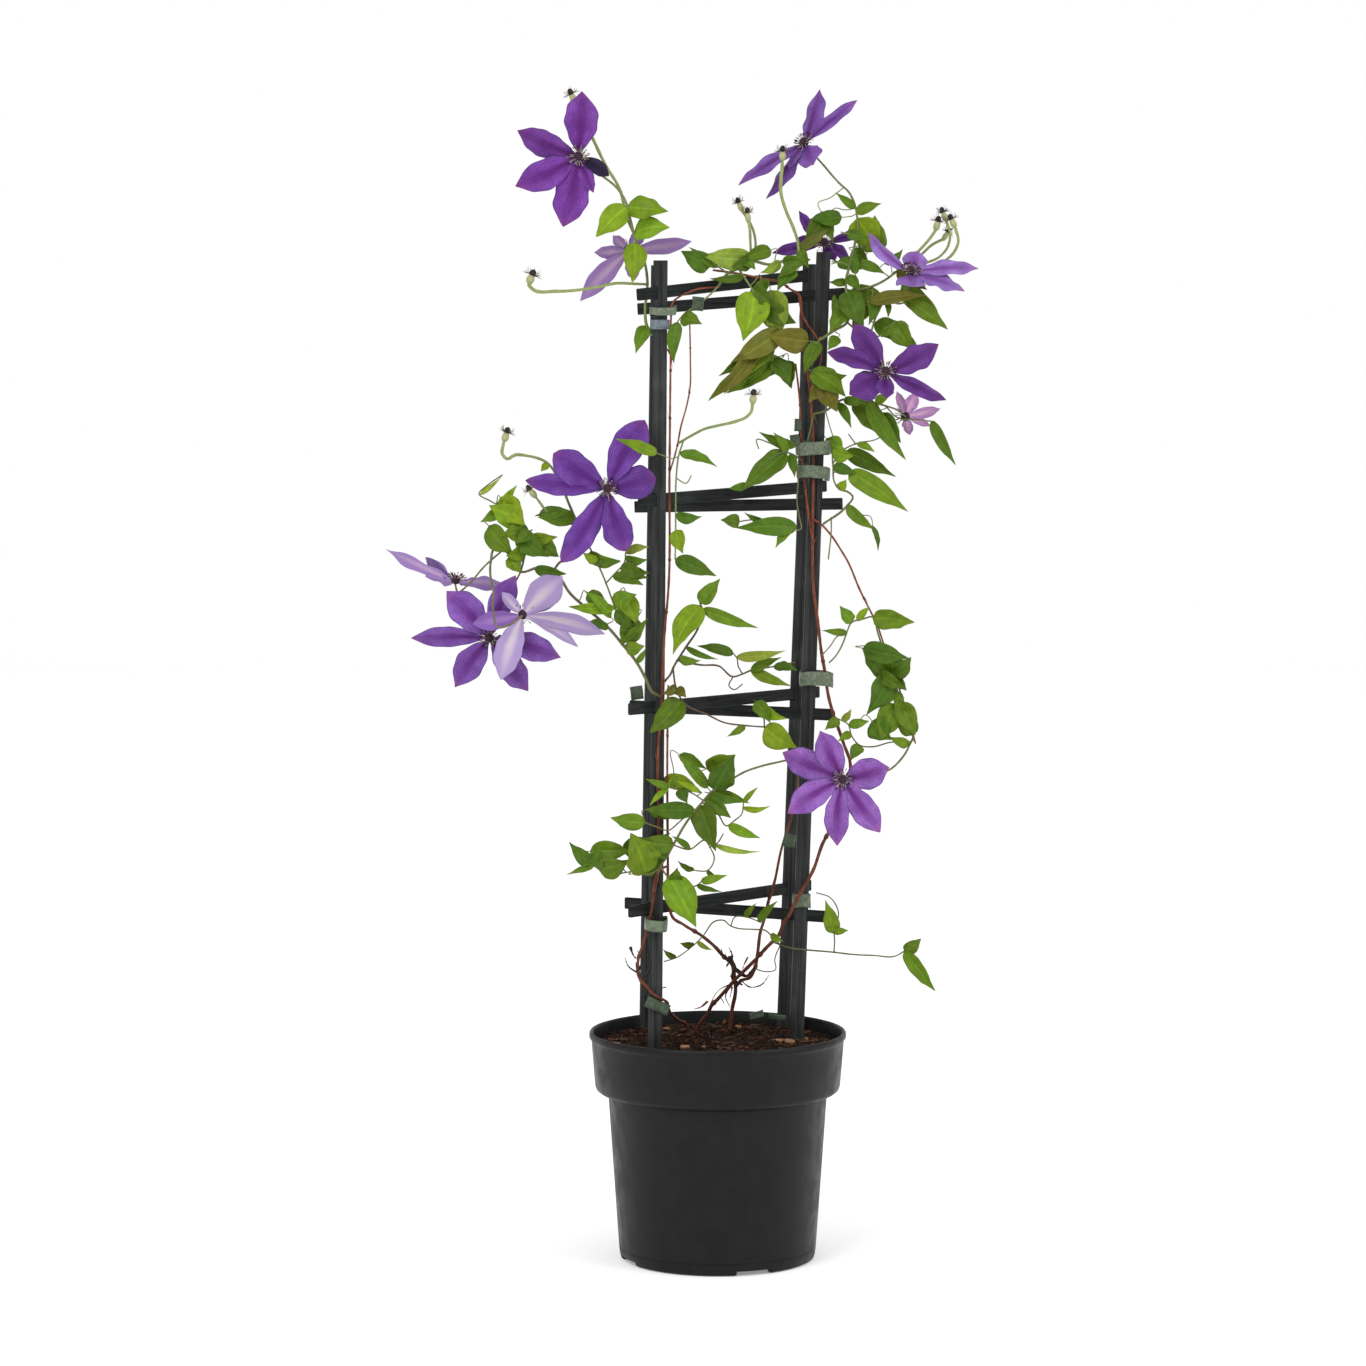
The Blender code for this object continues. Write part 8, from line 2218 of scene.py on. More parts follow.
    def loose_crumbs(self, finishes: Finishes, draw: random.Random) -> None:
        """Scatters crumbs on the bed.

        Args:
            finishes: The materials to choose from.
            draw: Source of the random values.
        """
        crumbs = Sheaf()
        for _ in range(self.crumbs):
            spot = self.place(draw, self.reach - CRUMB_MARGIN)
            size = draw.uniform(*self.crumb_size)
            size *= self.coarse[1] if draw.random() < self.coarse[0] else 1.0
            way = Vector((draw.uniform(-1, 1), draw.uniform(-1, 1), draw.uniform(LEAST_RISE, 1)))
            tint = draw.choice(EARTH_TONES)
            radius, height = [size * share for share in self.crumb_form]
            crumbs.bead(spot, way, radius, height, tint, CRUMB_SIDES, 2)
        hand_over(crumbs.piece("soil_crumbs", [finishes.crumb]), "soil")

    def shreds(self, finishes: Finishes, draw: random.Random) -> None:
        """Scatters fibres and chips of bark on the bed.

        Args:
            finishes: The materials to choose from.
            draw: Source of the random values.
        """
        shreds = Sheaf()
        for _ in range(self.fibres):
            spot = self.place(draw, self.reach - FIBRE_MARGIN)
            angle = draw.uniform(0.0, math.tau)
            long = draw.uniform(*self.fibre_length)
            way = Vector((math.cos(angle), math.sin(angle), draw.uniform(*self.fibre_rise)))
            bow = Vector((-way.y, way.x, BOW_RISE)) * draw.uniform(-self.fibre_bow, self.fibre_bow) * long
            line = smooth_route([spot, spot + way * long / 2 + bow, spot + way * long], FINE_STEP)
            tint = draw.choice(FIBRE_TONES)
            shreds.strand(line, draw.uniform(*self.fibre_radius), self.fibre_end, tint, HAIR_SIDES)
        for _ in range(self.chips):
            x, y = self.place(draw, self.reach - CHIP_MARGIN).xy
            long, wide = draw.uniform(*self.chip_length), draw.uniform(*self.chip_width)
            self.chip(shreds, draw, (x, y, long, wide, draw.uniform(0.0, 360.0)))
        for row in BARK_CHIPS:
            self.chip(shreds, draw, row)
        hand_over(shreds.piece("soil_shreds", [finishes.crumb]), "soil")

    def place(self, draw: random.Random, reach: float) -> Vector:
        """Draws a random place on the surface within a radius.

        Args:
            draw: Source of the random values.
            reach: Largest distance from the pot's axis.

        Returns:
            The place, just above the surface.
        """
        angle = draw.uniform(0.0, math.tau)
        radius = reach * math.sqrt(draw.random())
        x, y = radius * math.cos(angle), radius * math.sin(angle)
        return Vector((x, y, self.height(x, y) + CRUMB_LIFT))

    def chip(self, sheaf: Sheaf, draw: random.Random, row: tuple) -> None:
        """Adds one rough chip of bark.

        Args:
            sheaf: Where it goes.
            draw: Source of its roughness.
            row: Place (x, y), length, width and turn in degrees.
        """
        x, y, long, wide, angle = row
        large = row in BARK_CHIPS
        tint = BARK_TONE if large else draw.choice(CHIP_TONES)
        tilts = [draw.uniform(-self.chip_tilt, self.chip_tilt) for _ in range(2)]
        turn = Euler((*tilts, math.radians(angle))).to_matrix()
        centre = Vector((x, y, self.height(x, y) + CHIP_LIFT))
        low = len(sheaf.points)
        sides = self.chip_sides
        thick = self.chip_thick[large]
        for level in (-thick, thick):
            for step in range(sides):
                way = math.tau * step / sides
                reach = draw.uniform(*self.chip_rough)
                spot = Vector((math.cos(way) * long / 2 * reach, math.sin(way) * wide / 2 * reach, level))
                shade = shaded(tint, draw.uniform(*self.chip_light))
                sheaf.point(centre + turn @ spot, (step / sides, 0.5), shade)
        sheaf.face(*[low + sides - 1 - step for step in range(sides)])
        sheaf.face(*[low + sides + step for step in range(sides)])
        for step in range(sides):
            after = (step + 1) % sides
            sheaf.face(low + step, low + after, low + sides + after, low + sides + step)


@dataclass
class Trellis:
    """The four canes and their rungs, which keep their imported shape."""

    posts: tuple = ("post_front_left", "post_front_right", "post_back_left", "post_back_right")
    rungs: tuple = tuple(f"rung_{side}{index}" for side in "ab" for index in range(1, 5))

    def dress(self, finishes: Finishes) -> None:
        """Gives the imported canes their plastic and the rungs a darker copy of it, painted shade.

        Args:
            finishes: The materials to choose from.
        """
        for name in self.posts + self.rungs:
            for slot in bpy.data.objects[name].material_slots:
                slot.material = finishes.post if name in self.posts else finishes.rung
            LOG.info("%s: packed shape", name)


@dataclass
class Ties:
    """Soft tape and the clip that tie the stems to the canes.

    Args:
        steps: Points round a band.
        rows: Steps across a band.
        thickness: Thickness of a band.
        slack: How much wider than its packed form the band is drawn.
        squareness: How square the band runs, from one for round to nothing for square.
        wave: Height of the wave of soft tape, and how much of it the middle keeps.
        ripple: Share by which soft tape ripples out and in, and how many ripples it has.
        hollow: Share by which the edges of soft tape draw in.
    """

    steps: int = 56
    rows: int = 6
    thickness: float = 0.06
    slack: float = 0.07
    squareness: float = 0.55
    wave: tuple = (0.07, 0.4)
    ripple: tuple = (0.02, 5)
    hollow: float = 0.015

    def build(self, finishes: Finishes) -> None:
        """Builds every tie.

        Args:
            finishes: The materials to choose from.
        """
        for name, row in BANDS.items():
            soft = "tape" in name
            sheaf = self.loop(name, row, soft)
            finish = finishes.tape if soft else finishes.clip
            thing = sheaf.piece(name + "_band", [finish, finish], self.thickness)
            hand_over(thing, "tie_tape" if soft else "tie_clip", name)

    def squared(self, value: float, half: float) -> float:
        """Returns a sine or cosine drawn out towards a square of this half size."""
        return math.copysign(abs(value) ** self.squareness, value) * (half + self.slack)

    def loop(self, name: str, row: tuple, soft: bool) -> Sheaf:
        """Makes a band round a cane, waved where it is soft tape.

        Args:
            name: The tie's name.
            row: Its centre, half sizes and turns.
            soft: Whether it is tape.

        Returns:
            The band as one sheet.
        """
        draw = random.Random(f"{name} {SEED}")
        centre, half, turns = row
        turn = Euler([math.radians(angle) for angle in turns]).to_matrix()
        phase = draw.uniform(0.0, math.tau)
        sheaf = Sheaf()
        (wave, kept), (ripple, ripples) = self.wave, self.ripple
        for step in range(self.steps):
            angle = math.tau * step / self.steps
            x = self.squared(math.cos(angle), half[0])
            y = self.squared(math.sin(angle), half[1])
            for k in range(self.rows + 1):
                share = 2.0 * k / self.rows - 1.0
                level = share * half[2]
                push = 1.0
                if soft:
                    level += wave * math.sin(2 * angle + phase) * (kept + abs(share))
                    waved = ripple * math.sin(ripples * angle + phase + 2.0 * share)
                    push += waved - self.hollow * share * share
                spot = Vector((x * push, y * push, level))
                sheaf.point(Vector(centre) + turn @ spot, (step / self.steps, k / self.rows), TAPE_TINT)
        width = self.rows + 1
        for step in range(self.steps):
            low = step * width
            high = (step + 1) % self.steps * width
            for k in range(self.rows):
                sheaf.face(low + k, high + k, high + k + 1, low + k + 1)
        return sheaf


@dataclass
class Scraps:
    """Loose ends and scraps of tape on the canes and on the peat, in a darker tape that is painted shade.

    Args:
        thickness: Thickness of a scrap.
        columns: Steps across a scrap.
        rows: Steps up a scrap.
        curls: Depth and fineness of the curl across a scrap, and of the one up it.
    """

    thickness: float = 0.05
    columns: int = 8
    rows: int = 5
    curls: tuple = ((0.12, 3.0), (0.05, 5.0))

    def build(self, finishes: Finishes) -> None:
        """Builds them as one piece.

        Args:
            finishes: The materials to choose from.
        """
        sheaf = Sheaf()
        (deep, wide_curl), (shallow, high_curl) = self.curls
        width = self.columns + 1
        for index, (across, up, depth, wide, high, turn, tilt) in enumerate(SCRAPS):
            facing = Euler((0.0, math.radians(tilt), math.radians(turn))).to_matrix()
            low = len(sheaf.points)
            for row in range(self.rows + 1):
                for column in range(width):
                    x = (column / self.columns - 0.5) * wide
                    z = (row / self.rows - 0.5) * high
                    curl = deep * math.sin(wide_curl * x + index)
                    curl += shallow * math.sin(high_curl * z + 2.0 * index)
                    spot = seen(across, up, depth) + facing @ Vector((x, curl, z))
                    sheaf.point(spot, (column / self.columns, row / self.rows), SCRAP_TINT)
            for row in range(self.rows):
                for column in range(self.columns):
                    corner = low + row * width + column
                    sheaf.face(corner, corner + 1, corner + width + 1, corner + width)
        thing = sheaf.piece("tape_scraps", [finishes.scrap, finishes.scrap], self.thickness)
        hand_over(thing, "tie_tape")


@dataclass
class Woody:
    """The three brown stems with their side branches.

    Args:
        sides: Faces round a stem.
        old_wood: Height below which a stem starts as old dark wood.
        foot_tones: Factor on the colour of old wood and of younger wood at its start.
        radii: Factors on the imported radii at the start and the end, so that knots stay inside.
        knots: Share by which the radius swells and shrinks.
        first_node: Least and largest number of steps to the first node.
        next_node: Least and largest number of steps from one node to the next.
        end_steps: Steps at the end that have no node.
        node_form: Radius and length of a node as factors on the stem's radius.
        node_tone: Factor on the colour of a node.
        strip_rise: Distance of a loose strip's first two points from the middle, in radii.
        strip_end: Least and largest distance of its last point.
        strip_radii: Radius of a strip at its start and end.
    """

    sides: int = 10
    old_wood: float = 24.0
    foot_tones: tuple = (0.45, 0.9)
    radii: tuple = (0.88, 0.9)
    knots: float = 0.22
    first_node: tuple = (4, 12)
    next_node: tuple = (14, 30)
    end_steps: int = 3
    node_form: tuple = (1.3, 3.6)
    node_tone: float = 0.5
    strip_rise: tuple = (1.05, 1.5)
    strip_end: tuple = (1.6, 2.6)
    strip_radii: tuple = (0.03, 0.012)

    def build(self, finishes: Finishes) -> None:
        """Builds every woody stem.

        Args:
            finishes: The materials to choose from.
        """
        for name, routes in WOODY.items():
            draw = random.Random(f"{name} {SEED}")
            sheaf = Sheaf()
            lines = []
            for start, end, points in routes:
                line = route(points)
                if lines:
                    line[0] = nearest(line[0], lines)[0]
                line = smooth_route(line)
                lines.append(line)
                foot = shaded(RED_WOOD, self.foot_tones[line[0].z >= self.old_wood])
                first, last = start * self.radii[0], end * self.radii[1]
                sheaf.strand(line, first, last, foot, self.sides, RED_WOOD, self.knots)
                self.nodes(sheaf, draw, line, start, end)
            hand_over(sheaf.piece(name + "_bark", [finishes.wood]), "stem_wood", name)

    def nodes(
        self, sheaf: Sheaf, draw: random.Random, line: list[Vector], start: float, end: float
    ) -> None:
        """Adds the swollen nodes and loose strips of bark along a stem.

        Args:
            sheaf: Where they go.
            draw: Source of their places.
            line: The stem's middle.
            start: Radius at its foot.
            end: Radius at its end.
        """
        index = draw.randint(*self.first_node)
        while index < len(line) - self.end_steps:
            share = index / len(line)
            radius = start + (end - start) * share
            way = line[index + 1] - line[index - 1]
            wide, long = [radius * factor for factor in self.node_form]
            sheaf.bead(line[index], way, wide, long, shaded(RED_WOOD, self.node_tone), self.sides)
            side = way.orthogonal().normalized()
            side = Matrix.Rotation(draw.uniform(0.0, math.tau), 3, way.normalized()) @ side
            rises = (*self.strip_rise, draw.uniform(*self.strip_end))
            strip = [line[index + step] + side * radius * rise for step, rise in enumerate(rises)]
            sheaf.strand(smooth_route(strip), *self.strip_radii, STRIP_TONE, HAIR_SIDES)
            index += draw.randint(*self.next_node)


@dataclass
class Twigs:
    """Dry twigs, roots and shreds of wood near the foot.

    Args:
        start_factor: Factor on a twig's radius at its start.
        end_tone: Factor on its colour at its end.
        knots: Share by which its radius swells and shrinks.
        sides: Faces round a twig.
        bead_axis: The way the swellings along a twig point.
        bead_form: Radius and length of a swelling as factors on the twig's radius.
    """

    start_factor: float = 1.3
    end_tone: float = 1.2
    knots: float = 0.8
    sides: int = 7
    bead_axis: tuple = (0.3, 0.2, 1.0)
    bead_form: tuple = (1.25, 1.7)

    def build(self, finishes: Finishes) -> None:
        """Builds them as one piece.

        Args:
            finishes: The materials to choose from.
        """
        sheaf = Sheaf()
        for start, end, name, points in TWIGS:
            tone = TWIG_TONES[name]
            line = smooth_route(route(points), FINE_STEP)
            tip_tone = shaded(tone, self.end_tone)
            sheaf.strand(line, start * self.start_factor, end, tone, self.sides, tip_tone, self.knots)
            for spot in line[1:-1:2]:
                wide, long = [start * factor for factor in self.bead_form]
                sheaf.bead(spot, Vector(self.bead_axis), wide, long, tone, self.sides, 3)
        hand_over(sheaf.piece("dry_twigs", [finishes.wood]), "stem_wood")


@dataclass
class Blade:
    """One leaf's frame: where it starts, which way it lies and how it is shaped.

    Args:
        start: Where its stalk leaves the shoot.
        base: Foot of the blade.
        tip: Its pointed end.
        side: Across the blade, to its right.
        normal: The way its upper side faces.
        half: Half its width.
        arch: How far its middle rises.
        lifts: Share of the length and lift of the left and right edge there.
        habit: Colour and form of its age.
    """

    start: Vector
    base: Vector
    tip: Vector
    side: Vector
    normal: Vector
    half: float
    arch: float
    lifts: list[tuple[float, float, float]]
    habit: LeafHabit


def between(stations: list[tuple[float, float, float]], share: float, column: int) -> float:
    """Works out a value that runs straight between stations, from nothing at both ends.

    Args:
        stations: Place and values of each station.
        share: Where along the length the value is wanted.
        column: Which of a station's values is meant.

    Returns:
        The value there.
    """
    full = [(0.0, 0.0, 0.0), *stations, (1.0, 0.0, 0.0)]
    for low, high in zip(full, full[1:]):
        if share <= high[0]:
            part = (share - low[0]) / (high[0] - low[0])
            return low[column] + (high[column] - low[column]) * part
    return 0.0


def shown_share(side: Vector) -> float:
    """Returns how much of a length along this direction shows from the front."""
    return max(LEAST_SHOWN, math.hypot(side.x, side.z))


@dataclass(frozen=True)
class LeafForm:
    """Ranges and shares that shape every leaf.

    Args:
        grids: Rows and columns of a small leaf and of a large one.
        power: Range of how fast a leaf widens from its foot.
        taper: Range of how fast it narrows to its tip.
        sway: Largest sideways bow as a share of the length.
        hook: Range of the droop of its tip as a share of the length.
        hook_from: Share of the length from which the droop goes down.
        twist: Largest twist in radians.
        twist_from: Share of the length where it isn't twisted.
        ripple: Range of the edge waves as a share of the half width.
        cycles: Range of how many waves there are.
        close: Range of the factor on the fold of its age.
        light: Range of the factor on its colour.
        warm: Range of how much redder it is.
        rust: How far the edge turns to rust, and how far it does on a bronze leaf.
        drip_from: Share of the length where the drawn-out tip starts.
        drip_length: The rest of the length.
        drip_pinch: How much narrower the leaf is there.
        least_half: Least half width at the foot, in centimetres.
        fold_power: How the fold rises from the midrib.
        fold_relax: How much of it goes back down at the edge.
        edge_tuck: Share by which the edge draws in.
        tip_power: How late along the leaf its tip turns to the edge's colour.
    """

    grids: tuple = ((13, 8), (20, 12))
    power: tuple = (0.46, 0.6)
    taper: tuple = (0.95, 1.2)
    sway: float = 0.07
    hook: tuple = (0.03, 0.1)
    hook_from: float = 0.2
    twist: float = 0.6
    twist_from: float = 0.35
    ripple: tuple = (0.08, 0.2)
    cycles: tuple = (1.6, 3.0)
    close: tuple = (0.75, 1.35)
    light: tuple = (0.8, 1.18)
    warm: tuple = (-0.1, 0.16)
    rust: tuple = (0.06, 0.25)
    drip_from: float = 0.7
    drip_length: float = 0.3
    drip_pinch: float = 0.4
    least_half: float = 0.05
    fold_power: float = 1.2
    fold_relax: float = 0.35
    edge_tuck: float = 0.05
    tip_power: int = 4


@dataclass(frozen=True)
class SeedHead:
    """A young seed head: a green body, a dark knob and thin whiskers.

    Args:
        centre: Middle of the head.
        axis: The way it points.
        reach: How far the whiskers spread.
        body: Place along the axis, radius in reaches, height and grid of the green body.
        knob: The same of the dark knob.
        whiskers: How many whiskers there are.
        turn: Largest change of a whisker's turn in radians.
        rises: Range of how high along the head a whisker starts.
        foot: Distance of a whisker's foot from the axis in reaches, and its place along the axis.
        spread: Distance of the lowest whisker's tip from the axis in reaches, and how much less
            the topmost one has.
        climb: How far up the topmost whisker ends, and how far below the middle the lowest one.
        bow: How far out a whisker bows, in reaches.
        radii: Radius of a whisker at its foot and tip.
    """

    centre: Vector
    axis: Vector
    reach: float
    body: tuple = (-0.32, 0.74, 0.95, 12, 6)
    knob: tuple = (0.26, 0.62, 0.66, 12, 7)
    whiskers: int = 34
    turn: float = 0.2
    rises: tuple = (0.1, 0.95)
    foot: tuple = (0.45, 0.1)
    spread: tuple = (2.1, 1.0)
    climb: tuple = (0.95, 0.15)
    bow: float = 0.15
    radii: tuple = (0.024, 0.012)

    def add(self, sheaf: Sheaf, draw: random.Random) -> None:
        """Adds the head to a sheaf, with its whiskers spread by a random source.

        Args:
            sheaf: Where it goes.
            draw: Source of the random values.
        """
        side = self.axis.orthogonal().normalized()
        up = self.axis.cross(side)
        green, cream, dark = HEAD_TONES
        beads = ((self.body, green, cream), (self.knob, dark, dark))
        for (place, radius, height, sides, rows), foot, top in beads:
            middle = self.centre + self.axis * place
            sheaf.bead(middle, self.axis, self.reach * radius, height, foot, sides, rows, top)
        for index in range(self.whiskers):
            angle = math.tau * (index * GOLDEN_SHARE) + draw.uniform(-self.turn, self.turn)
            spoke = side * math.cos(angle) + up * math.sin(angle)
            rise = draw.uniform(*self.rises)
            low = self.centre + spoke * self.reach * self.foot[0] + self.axis * self.foot[1]
            top = self.centre + spoke * self.reach * (self.spread[0] - self.spread[1] * rise)
            top += self.axis * (self.climb[0] * rise - self.climb[1])
            bend = low.lerp(top, 0.5) + spoke * self.reach * self.bow
            colour = draw.choice((dark, *WHISKER_TONES))
            sheaf.strand(smooth_route([low, bend, top], FINE_STEP), *self.radii, colour, HAIR_SIDES)


@dataclass
class Shoot:
    """One leafy shoot: its stalks and tendrils, leaves and seed heads.

    Args:
        name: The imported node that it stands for.
        thickness: Thickness of a leaf in centimetres.
        stout: How much thicker than its packed form a stalk is drawn.
        form: What shapes every leaf.
        lines: The middles of the stalks, once they are built.
    """

    name: str
    thickness: float = 0.028
    stout: float = 1.38
    form: LeafForm = LeafForm()
    lines: list[list[Vector]] = field(default_factory=list)

    def build(self, finishes: Finishes) -> None:
        """Builds the shoot's pieces.

        Args:
            finishes: The materials to choose from.
        """
        self.stalks(finishes)
        self.leaves(finishes)
        self.heads(finishes)

    def beside_wood(self, point: Vector, radius: float) -> Vector:
        """Finds where a stalk touches the woody stem nearest to a point.

        Args:
            point: Where to look from.
            radius: The stalk's radius.

        Returns:
            The place.
        """
        best, least = point, math.inf
        for start, end, points in WOODY[ROOTS[self.name]]:
            line = route(points)
            for index, (low, high) in enumerate(zip(line, line[1:])):
                spot, distance = nearest(point, [[low, high]])
                if distance < least:
                    wood = start + (end - start) * (index + 0.5) / (len(line) - 1)
                    best = spot + (point - spot).normalized() * (wood + radius + STALK_GAP)
                    least = distance
        return best

    def stalks(self, finishes: Finishes) -> None:
        """Builds the stalks, tendrils and leaf stalks.

        Args:
            finishes: The materials to choose from.
        """
        colour = SHOOT_STALKS[self.name]
        sheaf = Sheaf()
        straight = []
        for start, end, points, *bloom in STALKS[self.name]:
            line = route(points)
            if straight:
                line[0] = nearest(line[0], straight)[0]
            else:
                line[0] = self.beside_wood(line[0], start)
            if bloom:
                centre, facing, _ = BLOOMS[bloom[0]]
                line.append(seen(*centre) + Vector(facing).normalized() * (HUB_BACK - STALK_CLEARANCE))
            straight.append(line)
            smooth = smooth_route(line)
            smooth[0] = line[0]
            self.lines.append(smooth)
            tip = BLOOM_STALK if bloom else shaded(colour, PETIOLE_TONE)
            knobs = [seen(*row[0:3]) for row in SEED_HEADS.get(self.name, ())]
            if any((knob - line[-1]).length < HEAD_STALK for knob in knobs):
                tip = HEAD_STALK_TONE
                end *= HEAD_STALK_STOUT
                start = max(start, end * HEAD_STALK_TAPER)
            first, last = start * self.stout, end * self.stout
            sheaf.strand(smooth, first, last, colour, STALK_SIDES, tip, STALK_KNOTS)
            if len(straight) > 1:
                wide, long = [start * factor for factor in STALK_NODE]
                sheaf.bead(line[0], line[1] - line[0], wide, long, shaded(colour, STALK_NODE_TONE))
        self.straight = straight
        self.frames = self.leaf_frames(LEAVES[self.name], random.Random(f"{self.name} {SEED}"))
        tiny = random.Random(f"{self.name} tiny {SEED}")
        self.frames += self.leaf_frames(TINY_LEAVES.get(self.name, ()), tiny)
        self.frames += self.leaf_frames(MORE_LEAVES.get(self.name, ()), tiny)
        for blade in self.frames:
            self.petiole(sheaf, blade, shaded(colour, PETIOLE_TONE))
        hand_over(sheaf.piece(self.name + "_stalks", [finishes.stalk]), "leaf", self.name)

    @staticmethod
    def petiole(sheaf: Sheaf, blade: Blade, tint: Colour) -> None:
        """Adds a leaf's own stalk where it is long enough to show.

        Args:
            sheaf: Where it goes.
            blade: The leaf's frame.
            tint: Its colour.
        """
        reach = (blade.base - blade.start).length
        if reach > SHORT_PETIOLE:
            way = (blade.tip - blade.base).normalized()
            bend = blade.base - way * min(reach * PETIOLE_BEND, LONGEST_BEND)
            sag = Vector((0.0, 0.0, PETIOLE_SAG * reach))
            middle = blade.start.lerp(bend, PETIOLE_MIDDLE) - sag
            line = smooth_route([blade.start, middle, bend, blade.base + way * PETIOLE_INTO])
            sheaf.strand(line, *[PETIOLE_RADIUS * factor for factor in PETIOLE_FACTORS], tint)

    def leaf_frames(self, rows: tuple, draw: random.Random) -> list[Blade]:
        """Works out where each leaf lies.

        Args:
            rows: The leaves' base, tip, width and age.
            draw: Source of their turns, arches and edge waves.

        Returns:
            One frame a leaf.
        """
        frames = []
        for *ends, width, age in rows:
            habit = LEAF_HABITS[Age(age)]
            base, tip = seen(*ends[0:3]), seen(*ends[3:6])
            start, distance = nearest(base, self.straight)
            if distance < SHORT_PETIOLE:
                base = start
            along = (tip - base).normalized()
            length = (tip - base).length
            roll = draw.uniform(-MOST_ROLL, MOST_ROLL)
            side = Matrix.Rotation(roll, 3, along) @ along.cross(Vector((0.0, -1.0, 0.0)))
            side.normalize()
            normal = side.cross(along)
            half = width / 2 / shown_share(side)
            arch = length * draw.uniform(*LEAF_ARCH)
            wave = habit.wave * half * WAVE_SHARE
            lifts = []
            for share in LONG_STATIONS if length >= LONG_LEAF else SHORT_STATIONS:
                lifts.append((share, draw.uniform(-wave, wave), draw.uniform(-wave, wave)))
            frames.append(Blade(start, base, tip, side, normal, half, arch, lifts, habit))
        return frames

    def leaves(self, finishes: Finishes) -> None:
        """Builds the shoot's leaves.

        Args:
            finishes: The materials to choose from.
        """
        sheaf = Sheaf()
        draw = random.Random(f"{self.name} leaves {SEED}")
        for blade in self.frames:
            self.leaf(sheaf, blade, draw)
        sides = [finishes.leaf_top, finishes.leaf_under]
        hand_over(sheaf.piece(self.name + "_leaves", sides, self.thickness), "leaf")

    def leaf(self, sheaf: Sheaf, blade: Blade, draw: random.Random) -> None:
        """Adds one folded leaf with waved edges and a drawn-out tip.

        Args:
            sheaf: Where it goes.
            blade: Its frame.
            draw: Source of its small differences.
        """
        form = self.form
        length = (blade.tip - blade.base).length
        along = (blade.tip - blade.base).normalized()
        rows, columns = form.grids[length >= LONG_LEAF]
        power, taper = draw.uniform(*form.power), draw.uniform(*form.taper)
        peak = power / (power + taper)
        full = peak**power * (1.0 - peak) ** taper
        sway = draw.uniform(-form.sway, form.sway) * length
        hook = draw.uniform(*form.hook) * length
        twist = draw.uniform(-form.twist, form.twist)
        ripple = draw.uniform(*form.ripple) * blade.half
        cycles = draw.uniform(*form.cycles)
        phases = (draw.uniform(0.0, math.tau), draw.uniform(0.0, math.tau))
        close = draw.uniform(*form.close)
        light = draw.uniform(*form.light)
        warm = draw.uniform(*form.warm)
        red, green, blue = shaded(blade.habit.colour, light)
        tint = (red * (1.0 + warm), green, blue * (1.0 - warm))
        edge_tint = blended(tint, EDGE_RUST, form.rust[blade.habit is LEAF_HABITS[Age.BRONZE]])
        grid, tints = [], []
        for row in range(rows):
            v = row / rows
            drip = max(0.0, (v - form.drip_from) / form.drip_length)
            breadth = v**power * (1.0 - v) ** taper / full
            breadth *= 1.0 - form.drip_pinch * drip * (1.0 - drip) * 2.0
            breadth = max(breadth, form.least_half / blade.half * (1.0 - v))
            turn = Matrix.Rotation(twist * (v - form.twist_from), 3, along)
            side, normal = turn @ blade.side, turn @ blade.normal
            swell = math.sin(math.pi * v)
            middle = blade.base.lerp(blade.tip, v)
            middle += blade.normal * (blade.arch * swell + hook * swell * (v - form.hook_from))
            middle += blade.side * sway * swell
            line, colours = [], []
            for column in range(columns + 1):
                u = 2.0 * column / columns - 1.0
                reach = abs(u)
                lift = reach**form.fold_power - form.fold_relax * reach**3
                fold = blade.habit.fold * close * blade.half * breadth * lift
                edge = between(blade.lifts, v, 1 if u < 0 else 2) * reach**EDGE_POWER
                curl = ripple * math.sin(math.tau * cycles * v + phases[u < 0]) * reach**2 * breadth
                spot = middle + side * (u * blade.half * breadth * (1.0 - form.edge_tuck * reach))
                spot += normal * (fold + edge + curl)
                line.append(spot)
                colours.append(blended(tint, edge_tint, max(reach**3, v**form.tip_power)))
            grid.append(line)
            tints.append(colours)
        sheaf.blade(grid, blade.tip, tints)

    def heads(self, finishes: Finishes) -> None:
        """Builds the shoot's young seed heads.

        Args:
            finishes: The materials to choose from.
        """
        rows = SEED_HEADS.get(self.name)
        if not rows:
            return
        sheaf = Sheaf()
        draw = random.Random(f"{self.name} heads {SEED}")
        for *knob, reach in rows:
            centre = seen(*knob)
            foot = min((line[-1] for line in self.lines), key=lambda end: (end - centre).length)
            axis = (centre - foot).normalized()
            base = centre - axis * (reach + NECK_GAP)
            neck = smooth_route([foot, foot.lerp(base, 0.5), base], FINE_STEP)
            if (base - foot).length < NECK_LIMIT:
                sheaf.strand(neck, *NECK_RADII, NECK_TONES[0], STALK_SIDES, NECK_TONES[1])
            SeedHead(centre, axis, reach).add(sheaf, draw)
        hand_over(sheaf.piece(self.name + "_seed_heads", [finishes.stamen]), "leaf")


